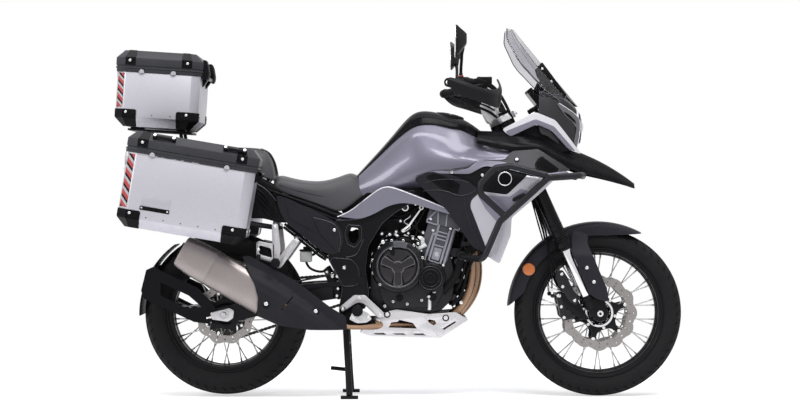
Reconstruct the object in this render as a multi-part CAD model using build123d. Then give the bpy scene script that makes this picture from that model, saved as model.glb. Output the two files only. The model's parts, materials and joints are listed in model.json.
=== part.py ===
"""Adventure motorcycle with three aluminium cases, parked upright on its centre stand.

Millimetres. +X is forward, +Y is the rider's left, +Z is up. The origin lies on the ground, midway
between the front tyre and the back of the top case. Each function makes one node of the assembly.
"""

import os
from math import atan2, cos, degrees, hypot, pi, radians, sin

from build123d import *

# ---------------------------------------------------------------- driving dimensions
wheelbase = 1464.0
rake = 24.5  # degrees from the vertical
head_x, head_z = 430.0, 972.0  # middle of the steering head
clamp_offset = 35.0  # fork legs ahead of the steering axis
axle_lead = 17.0  # axle ahead of the fork legs
leg_half_spacing = 100.0
rear_wheel_lift = 6.0  # the stand carries the rear tyre this far off the ground
running_gap = 0.06  # between a pin and its bore
face_gap = 0.4  # between the faces of two pieces that turn against each other

front_tyre_radius, front_tyre_width = 329.3, 110.0
rear_tyre_radius, rear_tyre_width = 320.9, 150.0
front_bead_radius, rear_bead_radius = 241.0, 216.0
rim_bed_depth = 15.0
spoke_diameter = 4.4
front_axle_diameter, rear_axle_diameter = 22.0, 24.0

front_disc_radius, front_disc_half_spacing = 149.0, 68.0
rear_disc_radius, rear_disc_y = 120.0, -86.0
disc_thickness = 5.0
sprocket_radius, front_sprocket_radius = 104.0, 34.0
chain_y, chain_width = 92.0, 18.0

pivot_x, pivot_z = -172.0, 442.0  # swingarm pivot
plate_inner_y, plate_outer_y = 112.0, 136.0  # frame's side plates

stand_pivot_x, stand_pivot_z = -214.0, 322.0
stand_foot_x = -196.0
stand_foot_half_spacing = 150.0
stand_pivot_radius = 13.0
stand_tube = 25.0

side_stand_x, side_stand_z, side_stand_y = -60.0, 296.0, 158.0
side_stand_length = 250.0

rail_y, rail_tube = 95.0, 26.0  # seat rails
rack_y, rack_tube = 222.0, 18.0  # pannier carrier hoops
crash_tube = 25.0

case_wall = 4.0
pannier_length, pannier_width, pannier_height = 486.0, 245.0, 276.0
pannier_lid_height, pannier_tilt = 84.0, 9.6
top_case_length, top_case_width, top_case_height = 322.0, 400.0, 208.0
top_case_lid_height, top_case_tilt = 84.0, 3.6
pannier_bevel, pannier_lid_bevel = 38.0, 42.0
top_case_bevel, top_case_lid_bevel = 34.0, 38.0
case_foot_bevel, lid_shoulder_bevel = 34.0, 30.0

# ---------------------------------------------------------------- derived places
lean = radians(rake)
up_fork = Vector(-sin(lean), 0, cos(lean))
ahead_fork = Vector(cos(lean), 0, sin(lean))
fork_frame = Plane(origin=(head_x, 0, head_z), x_dir=ahead_fork, z_dir=up_fork)
axle_drop = (head_z + (clamp_offset + axle_lead) * sin(lean) - front_tyre_radius) / cos(lean)
front_axle = Vector(head_x, 0, head_z) + ahead_fork * (clamp_offset + axle_lead) - up_fork * axle_drop
rear_axle = Vector(front_axle.X - wheelbase, 0, rear_tyre_radius + rear_wheel_lift)

nodes = {}


# ---------------------------------------------------------------- helpers
def outline_face(points):
    return make_face(Polyline(*points, close=True))


def slab(outline, y_low, y_high):
    """A plate with an (x, z) outline between two y planes."""
    return extrude(outline_face([(x, y_low, z) for x, z in outline]), amount=y_high - y_low, dir=(0, 1, 0))


def box(x, y, z):
    """A block between three pairs of limits."""
    return Pos((x[0] + x[1]) / 2, (y[0] + y[1]) / 2, (z[0] + z[1]) / 2) * Box(
        x[1] - x[0], y[1] - y[0], z[1] - z[0]
    )


def ruled(stations):
    """A body through (x, [(y, z), ...]) sections, with straight lines from one to the next."""
    return loft([outline_face([(x, y, z) for y, z in points]) for x, points in stations], ruled=True)


def tapered(rows):
    """A body of trapezoid sections. Columns: x, z_low, half_low, z_high, half_high."""
    return ruled(
        [
            (x, [(-half_low, z_low), (half_low, z_low), (half_high, z_high), (-half_high, z_high)])
            for x, z_low, half_low, z_high, half_high in rows
        ]
    )


def ruled_between(faces):
    return loft(faces, ruled=True)


def tube(points, diameter, bend=0.0):
    """A round tube along a path of straight runs, with arcs of the radius bend at the corners."""
    path = FilletPolyline(*points, radius=bend) if bend else Polyline(*points)
    return sweep(Plane(origin=path @ 0, z_dir=path % 0) * Circle(diameter / 2), path=path)


def hoop(points, diameter, bend):
    """A closed ring of tube with rounded corners."""
    path = FilletPolyline(*points, radius=bend, close=True)
    return sweep(Plane(origin=path @ 0, z_dir=path % 0) * Circle(diameter / 2), path=path)


def rod(start, end, diameter):
    start, end = Vector(start), Vector(end)
    along = Plane(origin=start, z_dir=end - start)
    return along * Cylinder(diameter / 2, (end - start).length, align=(Align.CENTER, Align.CENTER, Align.MIN))


def across(x, z, y_low, y_high, radius):
    """A cylinder along Y."""
    return rod((x, y_low, z), (x, y_high, z), 2 * radius)


def turned(profile, centre):
    """A ring about the lateral axis through centre. Profile points are (radius, y)."""
    return Pos(centre) * revolve(outline_face([(r, y, 0) for r, y in profile]), Axis.Y, 360)


def both_sides(shape):
    return [shape, mirror(shape, about=Plane.XZ)]


def fused(pieces):
    whole = pieces[0]
    for piece in pieces[1:]:
        whole = whole + piece
    return whole


def keep(name, *pieces):
    """Files the pieces under one node's name."""
    solids = [solid for piece in pieces for solid in piece.solids()]
    nodes[name] = Compound(children=solids) if len(solids) > 1 else solids[0]
    return nodes[name]


# ---------------------------------------------------------------- wheels
def tyre(centre, radius, width, bead):
    half, seat, lip = width / 2, width / 2 - 19, bead + 11
    rise = radius - bead
    belly, shoulder = (bead + 0.5 * rise, half), (bead + 0.79 * rise, half - 5)
    section = make_face(
        Curve()
        + [
            Polyline((lip, -seat), (bead, -seat), (bead, seat), (lip, seat)),
            ThreePointArc((lip, seat), belly, shoulder),
            ThreePointArc(shoulder, (radius, 0), (shoulder[0], -shoulder[1])),
            ThreePointArc((shoulder[0], -shoulder[1]), (belly[0], -half), (lip, -seat)),
        ]
    )
    crown, side = radius - 13, half - 9
    air = outline_face(
        [
            (bead, 8 - seat, 0), (bead, seat - 8, 0), (belly[0], side, 0), (shoulder[0] - 4, side - 8, 0),
            (crown, half * 0.36, 0), (crown, -half * 0.36, 0), (shoulder[0] - 4, 8 - side, 0), (belly[0], -side, 0),
        ]
    )  # fmt: skip
    return Pos(centre) * revolve(section - air, Axis.Y, 360)


def wire_wheel(centre, width, bead, bore, hub_half, flange_radius, spoke_pairs):
    """Rim, spokes and hub in one piece. Spokes cross in pairs from either flange."""
    seat = width / 2 - 19
    flange, lip = seat + 6, bead + 11
    bed = bead - rim_bed_depth
    rim = turned(
        [
            (bed, -12), (bed, 12), (bed + 6, seat - 6), (bead - 5, flange), (lip, flange), (lip, seat),
            (bead, seat), (bead, -seat), (lip, -seat), (lip, -flange), (bead - 5, -flange), (bed + 6, 6 - seat),
        ],
        centre,
    )  # fmt: skip
    barrel, flange_y, flange_half = flange_radius * 0.62, hub_half * 0.62, 3.5
    hub = turned(
        [
            (bore, -hub_half), (barrel, -hub_half), (barrel, -flange_y - flange_half),
            (flange_radius, -flange_y - flange_half), (flange_radius, -flange_y + flange_half),
            (barrel, -flange_y + flange_half), (barrel, flange_y - flange_half),
            (flange_radius, flange_y - flange_half), (flange_radius, flange_y + flange_half),
            (barrel, flange_y + flange_half), (barrel, hub_half), (bore, hub_half),
        ],
        centre,
    )  # fmt: skip
    pitch, sweep_angle, hub_split = 2 * pi / spoke_pairs, radians(27), radians(6)
    spokes = []
    for i in range(spoke_pairs):
        for side, turn in ((-1, 1), (-1, -1), (1, 1), (1, -1)):
            at_hub = i * pitch + turn * hub_split + (pitch / 2 if side > 0 else 0)
            at_rim = at_hub + turn * sweep_angle
            start = Vector(cos(at_hub) * (flange_radius - 5), side * flange_y, sin(at_hub) * (flange_radius - 5))
            end = Vector(cos(at_rim) * (bed + 5), side * 6, sin(at_rim) * (bed + 5))
            spokes.append(rod(centre + start, centre + end, spoke_diameter))
    return rim + hub + spokes


def wave_disc(centre, radius, y, inner, hub_radius, arms, waves, bore):
    """A brake disc with a scalloped edge, drilled, on a spider that bolts to the hub."""
    ring = across(0, 0, -disc_thickness / 2, disc_thickness / 2, radius)
    ring -= across(0, 0, -disc_thickness, disc_thickness, inner)
    scallop = radius * 0.16
    for i in range(waves):
        a = 2 * pi * i / waves
        d = radius + scallop * 0.72
        ring -= across(d * cos(a), d * sin(a), -disc_thickness, disc_thickness, scallop)
        a += pi / waves
        d = (radius + inner) / 2
        ring -= across(d * cos(a), d * sin(a), -disc_thickness, disc_thickness, 4.5)
    spider = across(0, 0, -disc_thickness / 2, disc_thickness / 2, hub_radius + 9)
    for i in range(arms):
        a = 2 * pi * i / arms + 0.3
        arm = box((hub_radius, inner + 5), (-disc_thickness / 2, disc_thickness / 2), (-9, 9))
        spider += Rot(0, -degrees(a), 0) * arm
    spider -= across(0, 0, -disc_thickness, disc_thickness, bore)
    return Pos(centre.X, y, centre.Z) * (ring + spider)


front_hub_half, rear_hub_half = front_disc_half_spacing - disc_thickness / 2, -rear_disc_y - disc_thickness / 2
front_bore = front_axle_diameter / 2 + running_gap
rear_bore = rear_axle_diameter / 2 + running_gap

keep("front_tyre", tyre(front_axle, front_tyre_radius, front_tyre_width, front_bead_radius))
keep("rear_tyre", tyre(rear_axle, rear_tyre_radius, rear_tyre_width, rear_bead_radius))
keep("front_wire_wheel", wire_wheel(front_axle, front_tyre_width, front_bead_radius, front_bore, front_hub_half, 50, 9))
keep("rear_wire_wheel", wire_wheel(rear_axle, rear_tyre_width, rear_bead_radius, rear_bore, rear_hub_half, 58, 9))
keep(
    "front_discs",
    *[wave_disc(front_axle, front_disc_radius, s * front_disc_half_spacing, 114, 40, 6, 12, front_bore) for s in (-1, 1)],
)


def sprocket():
    """The driven sprocket: low teeth inside the chain, five windows."""
    half, tooth_count = 3.5, 42
    plate = across(0, 0, -half, half, sprocket_radius - 4)
    for i in range(tooth_count):
        a = 2 * pi * i / tooth_count
        tip = sprocket_radius
        plate += Rot(0, -degrees(a), 0) * slab([(tip - 6, -4), (tip, -1.6), (tip, 1.6), (tip - 6, 4)], -half, half)
    for i in range(5):
        a = 2 * pi * i / 5
        plate -= across(72 * cos(a), 72 * sin(a), -half, half, 15)
    plate -= across(0, 0, -half, half, rear_bore)
    return Pos(rear_axle.X, chain_y, rear_axle.Z) * plate


sprocket_hub = turned(
    [(rear_bore, rear_hub_half), (44, rear_hub_half), (44, chain_y - 3.5), (rear_bore, chain_y - 3.5)], rear_axle
)
keep(
    "rear_disc_and_sprocket",
    wave_disc(rear_axle, rear_disc_radius, rear_disc_y, 88, 44, 5, 10, rear_bore),
    sprocket() + sprocket_hub,
)


# ---------------------------------------------------------------- front fork and steering
outer_tube_radius, inner_tube_radius = 27.0, 21.5
seal_low, seal_high = -447.0, -392.0  # heights along the steering axis, from the head's middle
slider_low = -654.0
top_clamp_low, top_clamp_high = 105.0, 131.0
low_clamp_low, low_clamp_high = -96.0, -60.0
stem_radius = 15.0
head_radius = 32.0


def along_fork(ahead, y, low, high, radius):
    return fork_frame * (
        Pos(ahead, y, low) * Cylinder(radius, high - low, align=(Align.CENTER, Align.CENTER, Align.MIN))
    )


def clamp(low, high):
    """A fork yoke: a waisted plate around the stem and both legs."""
    reach = clamp_offset
    outline = [
        (reach + 37, -leg_half_spacing - 12), (reach + 37, -leg_half_spacing + 14), (22, -30), (22, 30),
        (reach + 37, leg_half_spacing - 14), (reach + 37, leg_half_spacing + 12), (reach, leg_half_spacing + 38),
        (reach - 34, leg_half_spacing + 14), (-30, 34), (-30, -34), (reach - 34, -leg_half_spacing - 14),
        (reach, -leg_half_spacing - 38),
    ]  # fmt: skip
    plate = extrude(outline_face([(x, y, low) for x, y in outline]), amount=high - low, dir=(0, 0, 1))
    for side in (-1, 1):
        plate -= Pos(reach, side * leg_half_spacing, low) * Cylinder(
            outer_tube_radius, high - low, align=(Align.CENTER, Align.CENTER, Align.MIN)
        )
    return fork_frame * plate


def fork_legs():
    legs = []
    for side in (-1, 1):
        y = side * leg_half_spacing
        leg = along_fork(clamp_offset, y, seal_low, top_clamp_high + 4, outer_tube_radius)
        leg += along_fork(clamp_offset, y, seal_low, seal_high, outer_tube_radius + 4)
        leg += along_fork(clamp_offset, y, seal_high - 12, seal_high - 4, outer_tube_radius + 6)
        legs.append(leg)
    return legs


def fork_sliders():
    """Bright inner tubes, dark feet that carry the axle, and the axle itself."""
    boss_half = 23.0
    pieces = []
    for side in (-1, 1):
        y = side * leg_half_spacing
        slider = along_fork(clamp_offset, y, slider_low, seal_low, inner_tube_radius)
        foot = along_fork(clamp_offset, y, slider_low - 50, slider_low, 25)
        foot += across(front_axle.X, front_axle.Z, y - boss_half, y + boss_half, 31)
        foot += fork_frame * box(
            (clamp_offset - 20, clamp_offset + axle_lead + 12), (y - boss_half, y + boss_half), (-axle_drop, slider_low - 12)
        )
        ear = fork_frame * slab(
            [(-58, -612), (-40, -598), (-4, -650), (4, -735), (-26, -722), (-60, -650)],
            y - side * 4 - 7,
            y - side * 4 + 7,
        )
        pieces.append(slider + foot + ear)
    axle = across(front_axle.X, front_axle.Z, -leg_half_spacing - 28, leg_half_spacing + 28, front_axle_diameter / 2)
    return fused(pieces + [axle])


keep("fork_tubes", *fork_legs())
sliders = fork_sliders()
keep("fork_sliders", sliders)

yokes = clamp(top_clamp_low, top_clamp_high) + clamp(low_clamp_low, low_clamp_high)
yokes += along_fork(0, 0, low_clamp_low, top_clamp_high + 14, stem_radius)
bar_centre = Vector(352, 0, 1165)
riser_foot = fork_frame.to_local_coords(bar_centre)
for side in (-1, 1):
    yokes += along_fork(riser_foot.X, side * 46, top_clamp_high, riser_foot.Z + 20, 19)
bar_half, bar_diameter = 430.0, 22.0
bar_points = [
    (190, -bar_half, 1213), (285, -215, 1222), (bar_centre.X, -95, bar_centre.Z),
    (bar_centre.X, 95, bar_centre.Z), (285, 215, 1222), (190, bar_half, 1213),
]  # fmt: skip
handlebar = tube(bar_points, bar_diameter, 40)
yokes -= handlebar
keep("fork_yokes", yokes)
keep("handlebar", handlebar)


def on_bar(start, end, diameter, side):
    """A sleeve along the outer straight of the handlebar; start and end are shares of its length."""
    a, b = Vector(*bar_points[0]), Vector(*bar_points[1])
    p, q = a + (b - a) * start, a + (b - a) * end
    sleeve = rod(p, q, diameter)
    return sleeve if side < 0 else mirror(sleeve, about=Plane.XZ)


def hand_controls(side):
    """Grip, switch housing, lever with its perch, and the bar-end weight."""
    near = -1
    grip = on_bar(0.0, 0.5, 33, near) + on_bar(-0.1, 0.0, 36, near)
    housing = on_bar(0.52, 0.7, 44, near)
    perch = on_bar(0.74, 0.9, 38, near)
    perch += rod((275, -235, 1222), (318, -235, 1214), 26)
    lever = tube([(318, -240, 1212), (300, -300, 1208), (262, -395, 1200)], 13, 30)
    reservoir = Pos(325, -205, 1232) * Box(62, 46, 34)
    piece = fused([grip, housing, perch, lever, reservoir])
    piece -= nodes["handlebar"]
    return piece if side < 0 else mirror(piece, about=Plane.XZ)


keep("hand_controls", hand_controls(-1), hand_controls(1))


def hand_guard():
    """A curved shield ahead of the grip, fixed at the bar end and near the bar's bend."""
    wall = 5.0
    outer = [(186, -466), (262, -462), (352, -425), (382, -330), (372, -252)]
    inner = [(372 - wall, -254), (382 - wall - 1, -329), (349, -420), (261, -462 + wall), (186, -466 + wall)]
    band = extrude(outline_face([(x, y, 1100) for x, y in outer + inner]), amount=150, dir=(0, 0, 1))
    side_view = slab(
        [(180, 1198), (180, 1232), (240, 1226), (330, 1212), (368, 1208), (392, 1180), (352, 1112), (330, 1128), (262, 1172)],
        -480,
        -240,
    )
    guard = band & side_view
    return guard + rod((190, -461.5, 1213), (198, -443, 1213), 20)


guards = [hand_guard() - nodes["hand_controls"], mirror(hand_guard(), about=Plane.XZ) - nodes["hand_controls"]]
keep("hand_guards", *guards)


def mirror_unit():
    """A stalk with a bend and a faceted head that faces the rider."""
    stalk = tube([(232, -292, 1222), (232, -292, 1262), (236, -330, 1300), (232, -372, 1338)], 12, 14)
    stalk += rod((232, -292, 1221), (232, -292, 1244), 24)
    face = [(-330, 1352), (-322, 1318), (-372, 1306), (-452, 1322), (-470, 1372), (-448, 1431), (-352, 1404)]
    back = [(-350, 1350), (-345, 1332), (-376, 1324), (-436, 1334), (-446, 1370), (-430, 1402), (-366, 1386)]
    head = loft(
        [outline_face([(214, y, z) for y, z in face]), outline_face([(252, y, z) for y, z in back])], ruled=True
    )
    head = head + box((206, 214), (-446, -344), (1328, 1392))
    piece = head + stalk
    return piece - nodes["hand_controls"] - nodes["handlebar"]


keep("mirrors", *both_sides(mirror_unit()))


def front_fender():
    """A mudguard close over the tyre, with side skirts, and guards that reach down beside the sliders."""
    gap, wall, half = 24.7, 3.5, 62.0
    inner_radius = front_tyre_radius + gap
    side_view = [
        (418, 352), (424, 420), (446, 480), (482, 542), (540, 606), (620, 656), (700, 684), (784, 692), (870, 680),
        (952, 640), (880, 636), (812, 634), (760, 612), (726, 560), (640, 520), (590, 470), (520, 440), (452, 378),
    ]  # fmt: skip
    form = across(front_axle.X, front_axle.Z, -half - wall, half + wall, inner_radius + wall)
    form -= across(front_axle.X, front_axle.Z, -half, half, inner_radius)
    form &= slab(side_view, -half - wall, half + wall)
    guard_view = [(676, 652), (664, 580), (735, 408), (770, 384), (812, 376), (806, 424), (732, 578), (720, 640)]
    out = leg_half_spacing + outer_tube_radius + 6
    guard = slab(guard_view, -out - wall, -out)
    bridge = slab([(676, 652), (668, 606), (716, 600), (724, 640)], -out, -half - wall)
    bridge -= along_fork(clamp_offset, -leg_half_spacing, seal_low - 60, seal_high + 60, outer_tube_radius + 6)
    pins = [rod((x + 26, -out, z), (x, -leg_half_spacing, z), 14) for x, z in ((681, 506), (708, 446))]
    side = fused([guard, bridge] + pins)
    side -= along_fork(clamp_offset, -leg_half_spacing, slider_low, seal_low, inner_tube_radius)
    return form + side + mirror(side, about=Plane.XZ)


keep("front_fender", front_fender() - nodes["fork_sliders"])


def caliper(centre, inner_y, outer_y, angle, length, depth, reach):
    """A caliper from inner_y to outer_y with a slot for the disc, open on one side and reach deep."""
    body = Box(depth, outer_y - inner_y, length)
    body = chamfer(body.edges().filter_by(Axis.Y), 9)
    body -= box((-depth, reach), (-disc_thickness / 2 - 4, disc_thickness / 2 + 4), (-length, length))
    return Pos(centre.X, (inner_y + outer_y) / 2, centre.Z) * (Rot(0, angle, 0) * body)


def front_calipers():
    pieces = []
    for side in (-1, 1):
        y_mid = side * front_disc_half_spacing
        at = front_axle + Vector(-126, 0, 28)
        reach = front_disc_radius - (at - front_axle).length + 4
        piece = caliper(at, y_mid - 24, y_mid + 24, 192, 104, 68, reach)
        lug = rod((at.X + 18, y_mid + side * 16, at.Z + 40), (at.X + 40, y_mid + side * 30, at.Z + 34), 18)
        pieces.append((piece + lug) - nodes["fork_sliders"])
    return pieces


keep("front_calipers", *front_calipers())


def brake_hoses():
    """Two hoses from the calipers, up behind the legs to the lower yoke."""
    hose = tube(
        [(640, -74, 396), (598, -74, 500), (570, -74, 652), (540, -56, 740), (505, -50, 830), (486, -46, 900)], 8, 60
    )
    hose = hose - nodes["fork_yokes"] - nodes["front_calipers"]
    return both_sides(max(hose.solids(), key=lambda s: s.volume))


keep("brake_hoses", *brake_hoses())

steering_sweep = fork_frame * (
    (Pos(0, 0, -560) * Cylinder(140, 760, align=(Align.CENTER, Align.CENTER, Align.MIN)))
    & box((-58, 122), (-150, 150), (-600, 220))
)


# ---------------------------------------------------------------- frame
def main_frame():
    """Steering head, two beams, pivot plates and the cross members between them."""
    head = along_fork(0, 0, low_clamp_high + face_gap, top_clamp_low - face_gap, head_radius)
    plate = [
        (-246, 700), (-120, 722), (-20, 790), (60, 812), (40, 760), (-20, 724), (-73, 680), (-126, 590), (-136, 500),
        (-122, 410), (-136, 350), (-176, 344), (-200, 300), (-232, 300), (-236, 350), (-222, 430), (-240, 470), (-280, 547),
    ]  # fmt: skip
    parts = []
    for side in (-1, 1):
        low, high = sorted((side * plate_inner_y, side * plate_outer_y))
        side_plate = slab(plate, low, high)
        side_plate -= slab([(-192, 668), (-206, 640), (-196, 606), (-176, 598), (-160, 624), (-164, 664)], low, high)
        beam = loft(
            [
                outline_face([(-10, y, z) for y, z in ((low, 730), (high, 730), (high, 806), (low, 806))]),
                outline_face(
                    [(414, side * y, z) for y, z in ((8, 930), (40, 930), (40, 1000), (8, 1000))]
                ),
            ],
            ruled=True,
        )
        hanger = rod((322, side * 66, 902), (236, side * 85, 566), 28)
        parts += [side_plate, beam, hanger]
    cross = [
        across(-128, 716, -plate_inner_y, plate_inner_y, 15),
        across(stand_pivot_x, stand_pivot_z, -plate_inner_y, plate_inner_y, stand_pivot_radius),
        across(-205, 560, -plate_inner_y, plate_inner_y, 13),
    ]
    frame = fused([head] + parts + cross)
    frame -= along_fork(0, 0, low_clamp_high, top_clamp_low, stem_radius + running_gap)
    return frame


keep("main_frame", main_frame())


# ---------------------------------------------------------------- engine
cylinder_lean = 8.0
clutch_x, clutch_z = -8.0, 515.0
rotor_x, rotor_z = 118.0, 470.0


def crankcase():
    chain_clear = chain_y - chain_width / 2 - 5
    rear = slab([(-118, 400), (-112, 560), (-62, 612), (-60, 340), (-100, 356)], -104, chain_clear)
    front = slab(
        [(-62, 612), (20, 632), (90, 604), (196, 566), (216, 480), (204, 384), (152, 334), (-60, 330)], -118, 118
    )
    right = across(clutch_x, clutch_z, -172, -118, 108) + across(rotor_x, rotor_z, -158, -118, 62)
    right += slab([(-70, 440), (-40, 356), (140, 356), (176, 430), (60, 560)], -150, -118)
    left = across(60, 452, 118, 168, 88) + across(-62, 470, 118, 146, 66)
    lugs = [box((198, 244), (side * 85 - 16, side * 85 + 16), (548, 586)) for side in (-1, 1)]
    oil_filter = rod((196, -6, 432), (254, -6, 432), 66)
    return fused([rear, front, right, left, oil_filter] + lugs) - nodes["main_frame"]


keep("crankcase", crankcase())


def clutch_cover():
    """The round outer cover with its three-spoked relief, and the rotor cap ahead of it."""
    cover = across(clutch_x, clutch_z, -190, -172, 89)
    cover -= across(clutch_x, clutch_z, -190, -184, 74)
    for angle in (90, 210, 330):
        web = box((-11, 11), (-190, -184), (0, 78))
        cover += Pos(clutch_x, 0, clutch_z) * (Rot(0, angle - 90 + 180, 0) * web)
    cover += across(clutch_x, clutch_z, -192, -184, 30)
    cap = across(rotor_x, rotor_z, -176, -158, 50) - across(rotor_x, rotor_z, -176, -170, 38)
    cap += across(rotor_x, rotor_z, -176, -170, 22)
    return [cover, cap - cover - nodes["crankcase"]]


keep("clutch_cover", *clutch_cover())


def cylinder_block():
    """Barrel and head of the twin, leaning forward, with ribs down its sides."""
    half_width, length = 122.0, 116.0
    barrel = box((-length / 2, length / 2), (-half_width, half_width), (0, 112))
    head = box((-length / 2 - 12, length / 2 + 14), (-half_width - 6, half_width + 6), (112, 176))
    cam_cover = tapered([(x, 176, half_width - 6, 200, half_width - 26) for x in (-length / 2, length / 2)])
    block = fused([barrel, head, cam_cover])
    for side in (-1, 1):
        for x in (-44, -20, 20, 44):
            block += box((x - 5, x + 5), sorted((side * half_width, side * (half_width + 9))), (0, 112))
        for z in (56, 80, 102):
            block += box((-20, 20), sorted((side * half_width, side * (half_width + 5))), (z - 4, z + 4))
    block = Pos(134, 0, 566) * (Rot(0, cylinder_lean, 0) * block)
    return block - nodes["crankcase"] - nodes["main_frame"]


keep("cylinder_block", cylinder_block())


def airbox():
    """Airbox under the tank and the two throttle bodies that lead to the head."""
    case = tapered([(-112, 630, 92, 764, 98), (-60, 632, 96, 790, 100), (26, 656, 96, 804, 100), (58, 712, 84, 804, 94)])
    ducts = [rod((20, y, 716), (104, y, 690), 50) for y in (-48, 48)]
    rail = rod((56, -92, 726), (56, 92, 726), 16)
    starter = rod((24, -84, 648), (24, 84, 648), 30)
    return fused([case, rail, starter] + ducts) - nodes["cylinder_block"] - nodes["main_frame"] - nodes["crankcase"]


keep("airbox", airbox())


def exhaust_pipes():
    """Two header pipes that join under the engine."""
    right_run = [
        (206, -42, 672), (302, -46, 656), (304, -58, 450), (188, -64, 287), (40, -72, 284), (-70, -110, 286),
        (-150, -160, 288), (-236, -176, 292),
    ]  # fmt: skip
    left_run = [(206, 42, 672), (300, 46, 656), (288, 42, 450), (176, 14, 287), (60, -30, 284), (-40, -92, 285)]
    pipe, bore, bend = 40.0, 35.0, 68.0
    outside = tube(right_run, pipe, bend) + tube(left_run, pipe, bend)
    inside = tube(right_run, bore, bend) + tube(left_run, bore, bend)
    return outside - inside - nodes["cylinder_block"] - nodes["crankcase"]


keep("exhaust_pipes", exhaust_pipes())

# Muffler sections stand across its axis: distance along the axis, half-height, inner and outer y.
muffler_start, muffler_slope = Vector(-236, -176, 292), 29.5


def muffler_plane(distance):
    a = radians(muffler_slope)
    along = Vector(-cos(a), 0, sin(a))
    return Plane(origin=Vector(-470, -206, 366) + along * distance, x_dir=(0, -1, 0), z_dir=along)


def muffler_section(distance, half_height, half_width, lift=0.0):
    h, w, c = half_height, half_width, 0.42
    outline = [(-w, -h * c), (-w * 0.6, -h), (w * 0.55, -h), (w, -h * 0.3), (w, h * 0.35), (w * 0.45, h), (-w * 0.7, h), (-w, h * 0.6)]
    return muffler_plane(distance) * outline_face([(x, y + lift, 0) for x, y in outline])


def muffler():
    """A hollow can with a chamfered end, its link pipe and its hanger."""
    wall = 3.0
    rear_cut = slab([(-884, 640), (-884, 540), (-846, 494), (-800, 440), (-1000, 440), (-1000, 700)], -300, -100)
    can = ruled_between([muffler_section(60, 70, 54), muffler_section(320, 70, 58, 4), muffler_section(428, 62, 54, 8)])
    room = ruled_between(
        [
            muffler_section(60 + wall, 70 - wall, 54 - wall),
            muffler_section(320, 70 - wall, 58 - wall, 4),
            muffler_section(428 - wall, 62 - wall, 54 - wall, 8),
        ]
    )
    can = (can - rear_cut) - (room - Pos(wall, 0, 0) * rear_cut)
    outlet_place = muffler_plane(390)
    outlet = outlet_place * (Pos(6, 8, 0) * Cylinder(24, 44, align=(Align.CENTER, Align.CENTER, Align.MIN)))
    outlet_bore = outlet_place * (Pos(6, 8, 0) * Cylinder(21, 60, align=(Align.CENTER, Align.CENTER, Align.MIN)))
    link_run = [(-236, -176, 292), (-330, -190, 300), (-418, -206, 337), (-527, -206, 399)]
    link = tube(link_run, 44, 60) - tube(link_run, 39, 60)
    hanger = rod((-566, -186, 474), (-546, -170, 560), 16) - room
    return fused([can + outlet - outlet_bore, link - room, hanger])


def muffler_guard():
    """The black heat shield that wraps the front of the muffler and the link pipe."""
    wall = 4.0
    view = [
        (-606, 556), (-580, 556), (-404, 462), (-268, 358), (-208, 322), (-204, 272), (-347, 274), (-468, 292),
        (-548, 330), (-541, 398),
    ]  # fmt: skip
    outer = loft(
        [muffler_section(-280, 36, 34), muffler_section(-120, 62, 50), muffler_section(60, 82, 66), muffler_section(170, 82, 68)],
        ruled=True,
    )
    inner = loft(
        [
            muffler_section(-280, 36 - wall, 34 - wall), muffler_section(-120, 62 - wall, 50 - wall),
            muffler_section(60, 82 - wall, 66 - wall), muffler_section(170, 82 - wall, 68 - wall),
        ],
        ruled=True,
    )  # fmt: skip
    shell = (outer - inner) & slab(view, -330, -190)
    return shell


keep("muffler", muffler() - nodes["exhaust_pipes"])
guard_shell = muffler_guard() - nodes["muffler"] - nodes["exhaust_pipes"]
guard_pins = [rod((x, -268, z), (x, -206, z), 12) for x, z in ((-520, 352), (-330, 312))]
keep("muffler_guard", *[s for s in (fused([guard_shell] + guard_pins) - nodes["muffler"]).solids() if s.volume > 4000])


def skid_plate():
    """A folded alloy tray with windows in its sides."""
    wall, half = 4.0, 132.0
    view = [(-157, 257), (-110, 243), (158, 236), (266, 306), (217, 336), (112, 328), (-14, 346), (-70, 334), (-96, 306)]
    inside = [(-157 + wall, 257 + wall + 1), (-110, 243 + wall), (157, 236 + wall), (264, 312), (217, 350), (-96, 350), (-150, 300)]
    tray = slab(view, -half, half) - slab(inside, -half + wall, half - wall)
    tray -= slab([(-62, 272), (-50, 292), (40, 288), (66, 268)], -half, half)
    tray -= slab([(96, 296), (108, 304), (138, 290), (124, 276)], -half, half)
    pads = [box((x - 12, x + 12), sorted((side * 118, side * (half - wall))), (334 - 10, 334)) for side in (-1, 1) for x in (-30, 60)]
    return fused([tray] + pads) - nodes["crankcase"] - nodes["exhaust_pipes"]


keep("skid_plate", skid_plate())


def radiator():
    core = box((336, 368), (-148, 148), (566, 782))
    tanks = [box((332, 372), sorted((side * 148, side * 168)), (560, 788)) for side in (-1, 1)]
    lugs = [
        box((x, 336), (side * 92 - 10, side * 92 + 10), (z - 9, z + 9))
        for side in (-1, 1)
        for x, z in ((240, 600), (270, 752))
    ]
    fan = rod((300, 0, 680), (336, 0, 680), 190)
    return fused([core, fan] + tanks + lugs) - nodes["main_frame"] - nodes["exhaust_pipes"] - nodes["cylinder_block"]


keep("radiator", radiator())


# ---------------------------------------------------------------- swingarm, shock, chain and hugger
arm_inner_y, arm_outer_y = 108.0, 134.0


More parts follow.
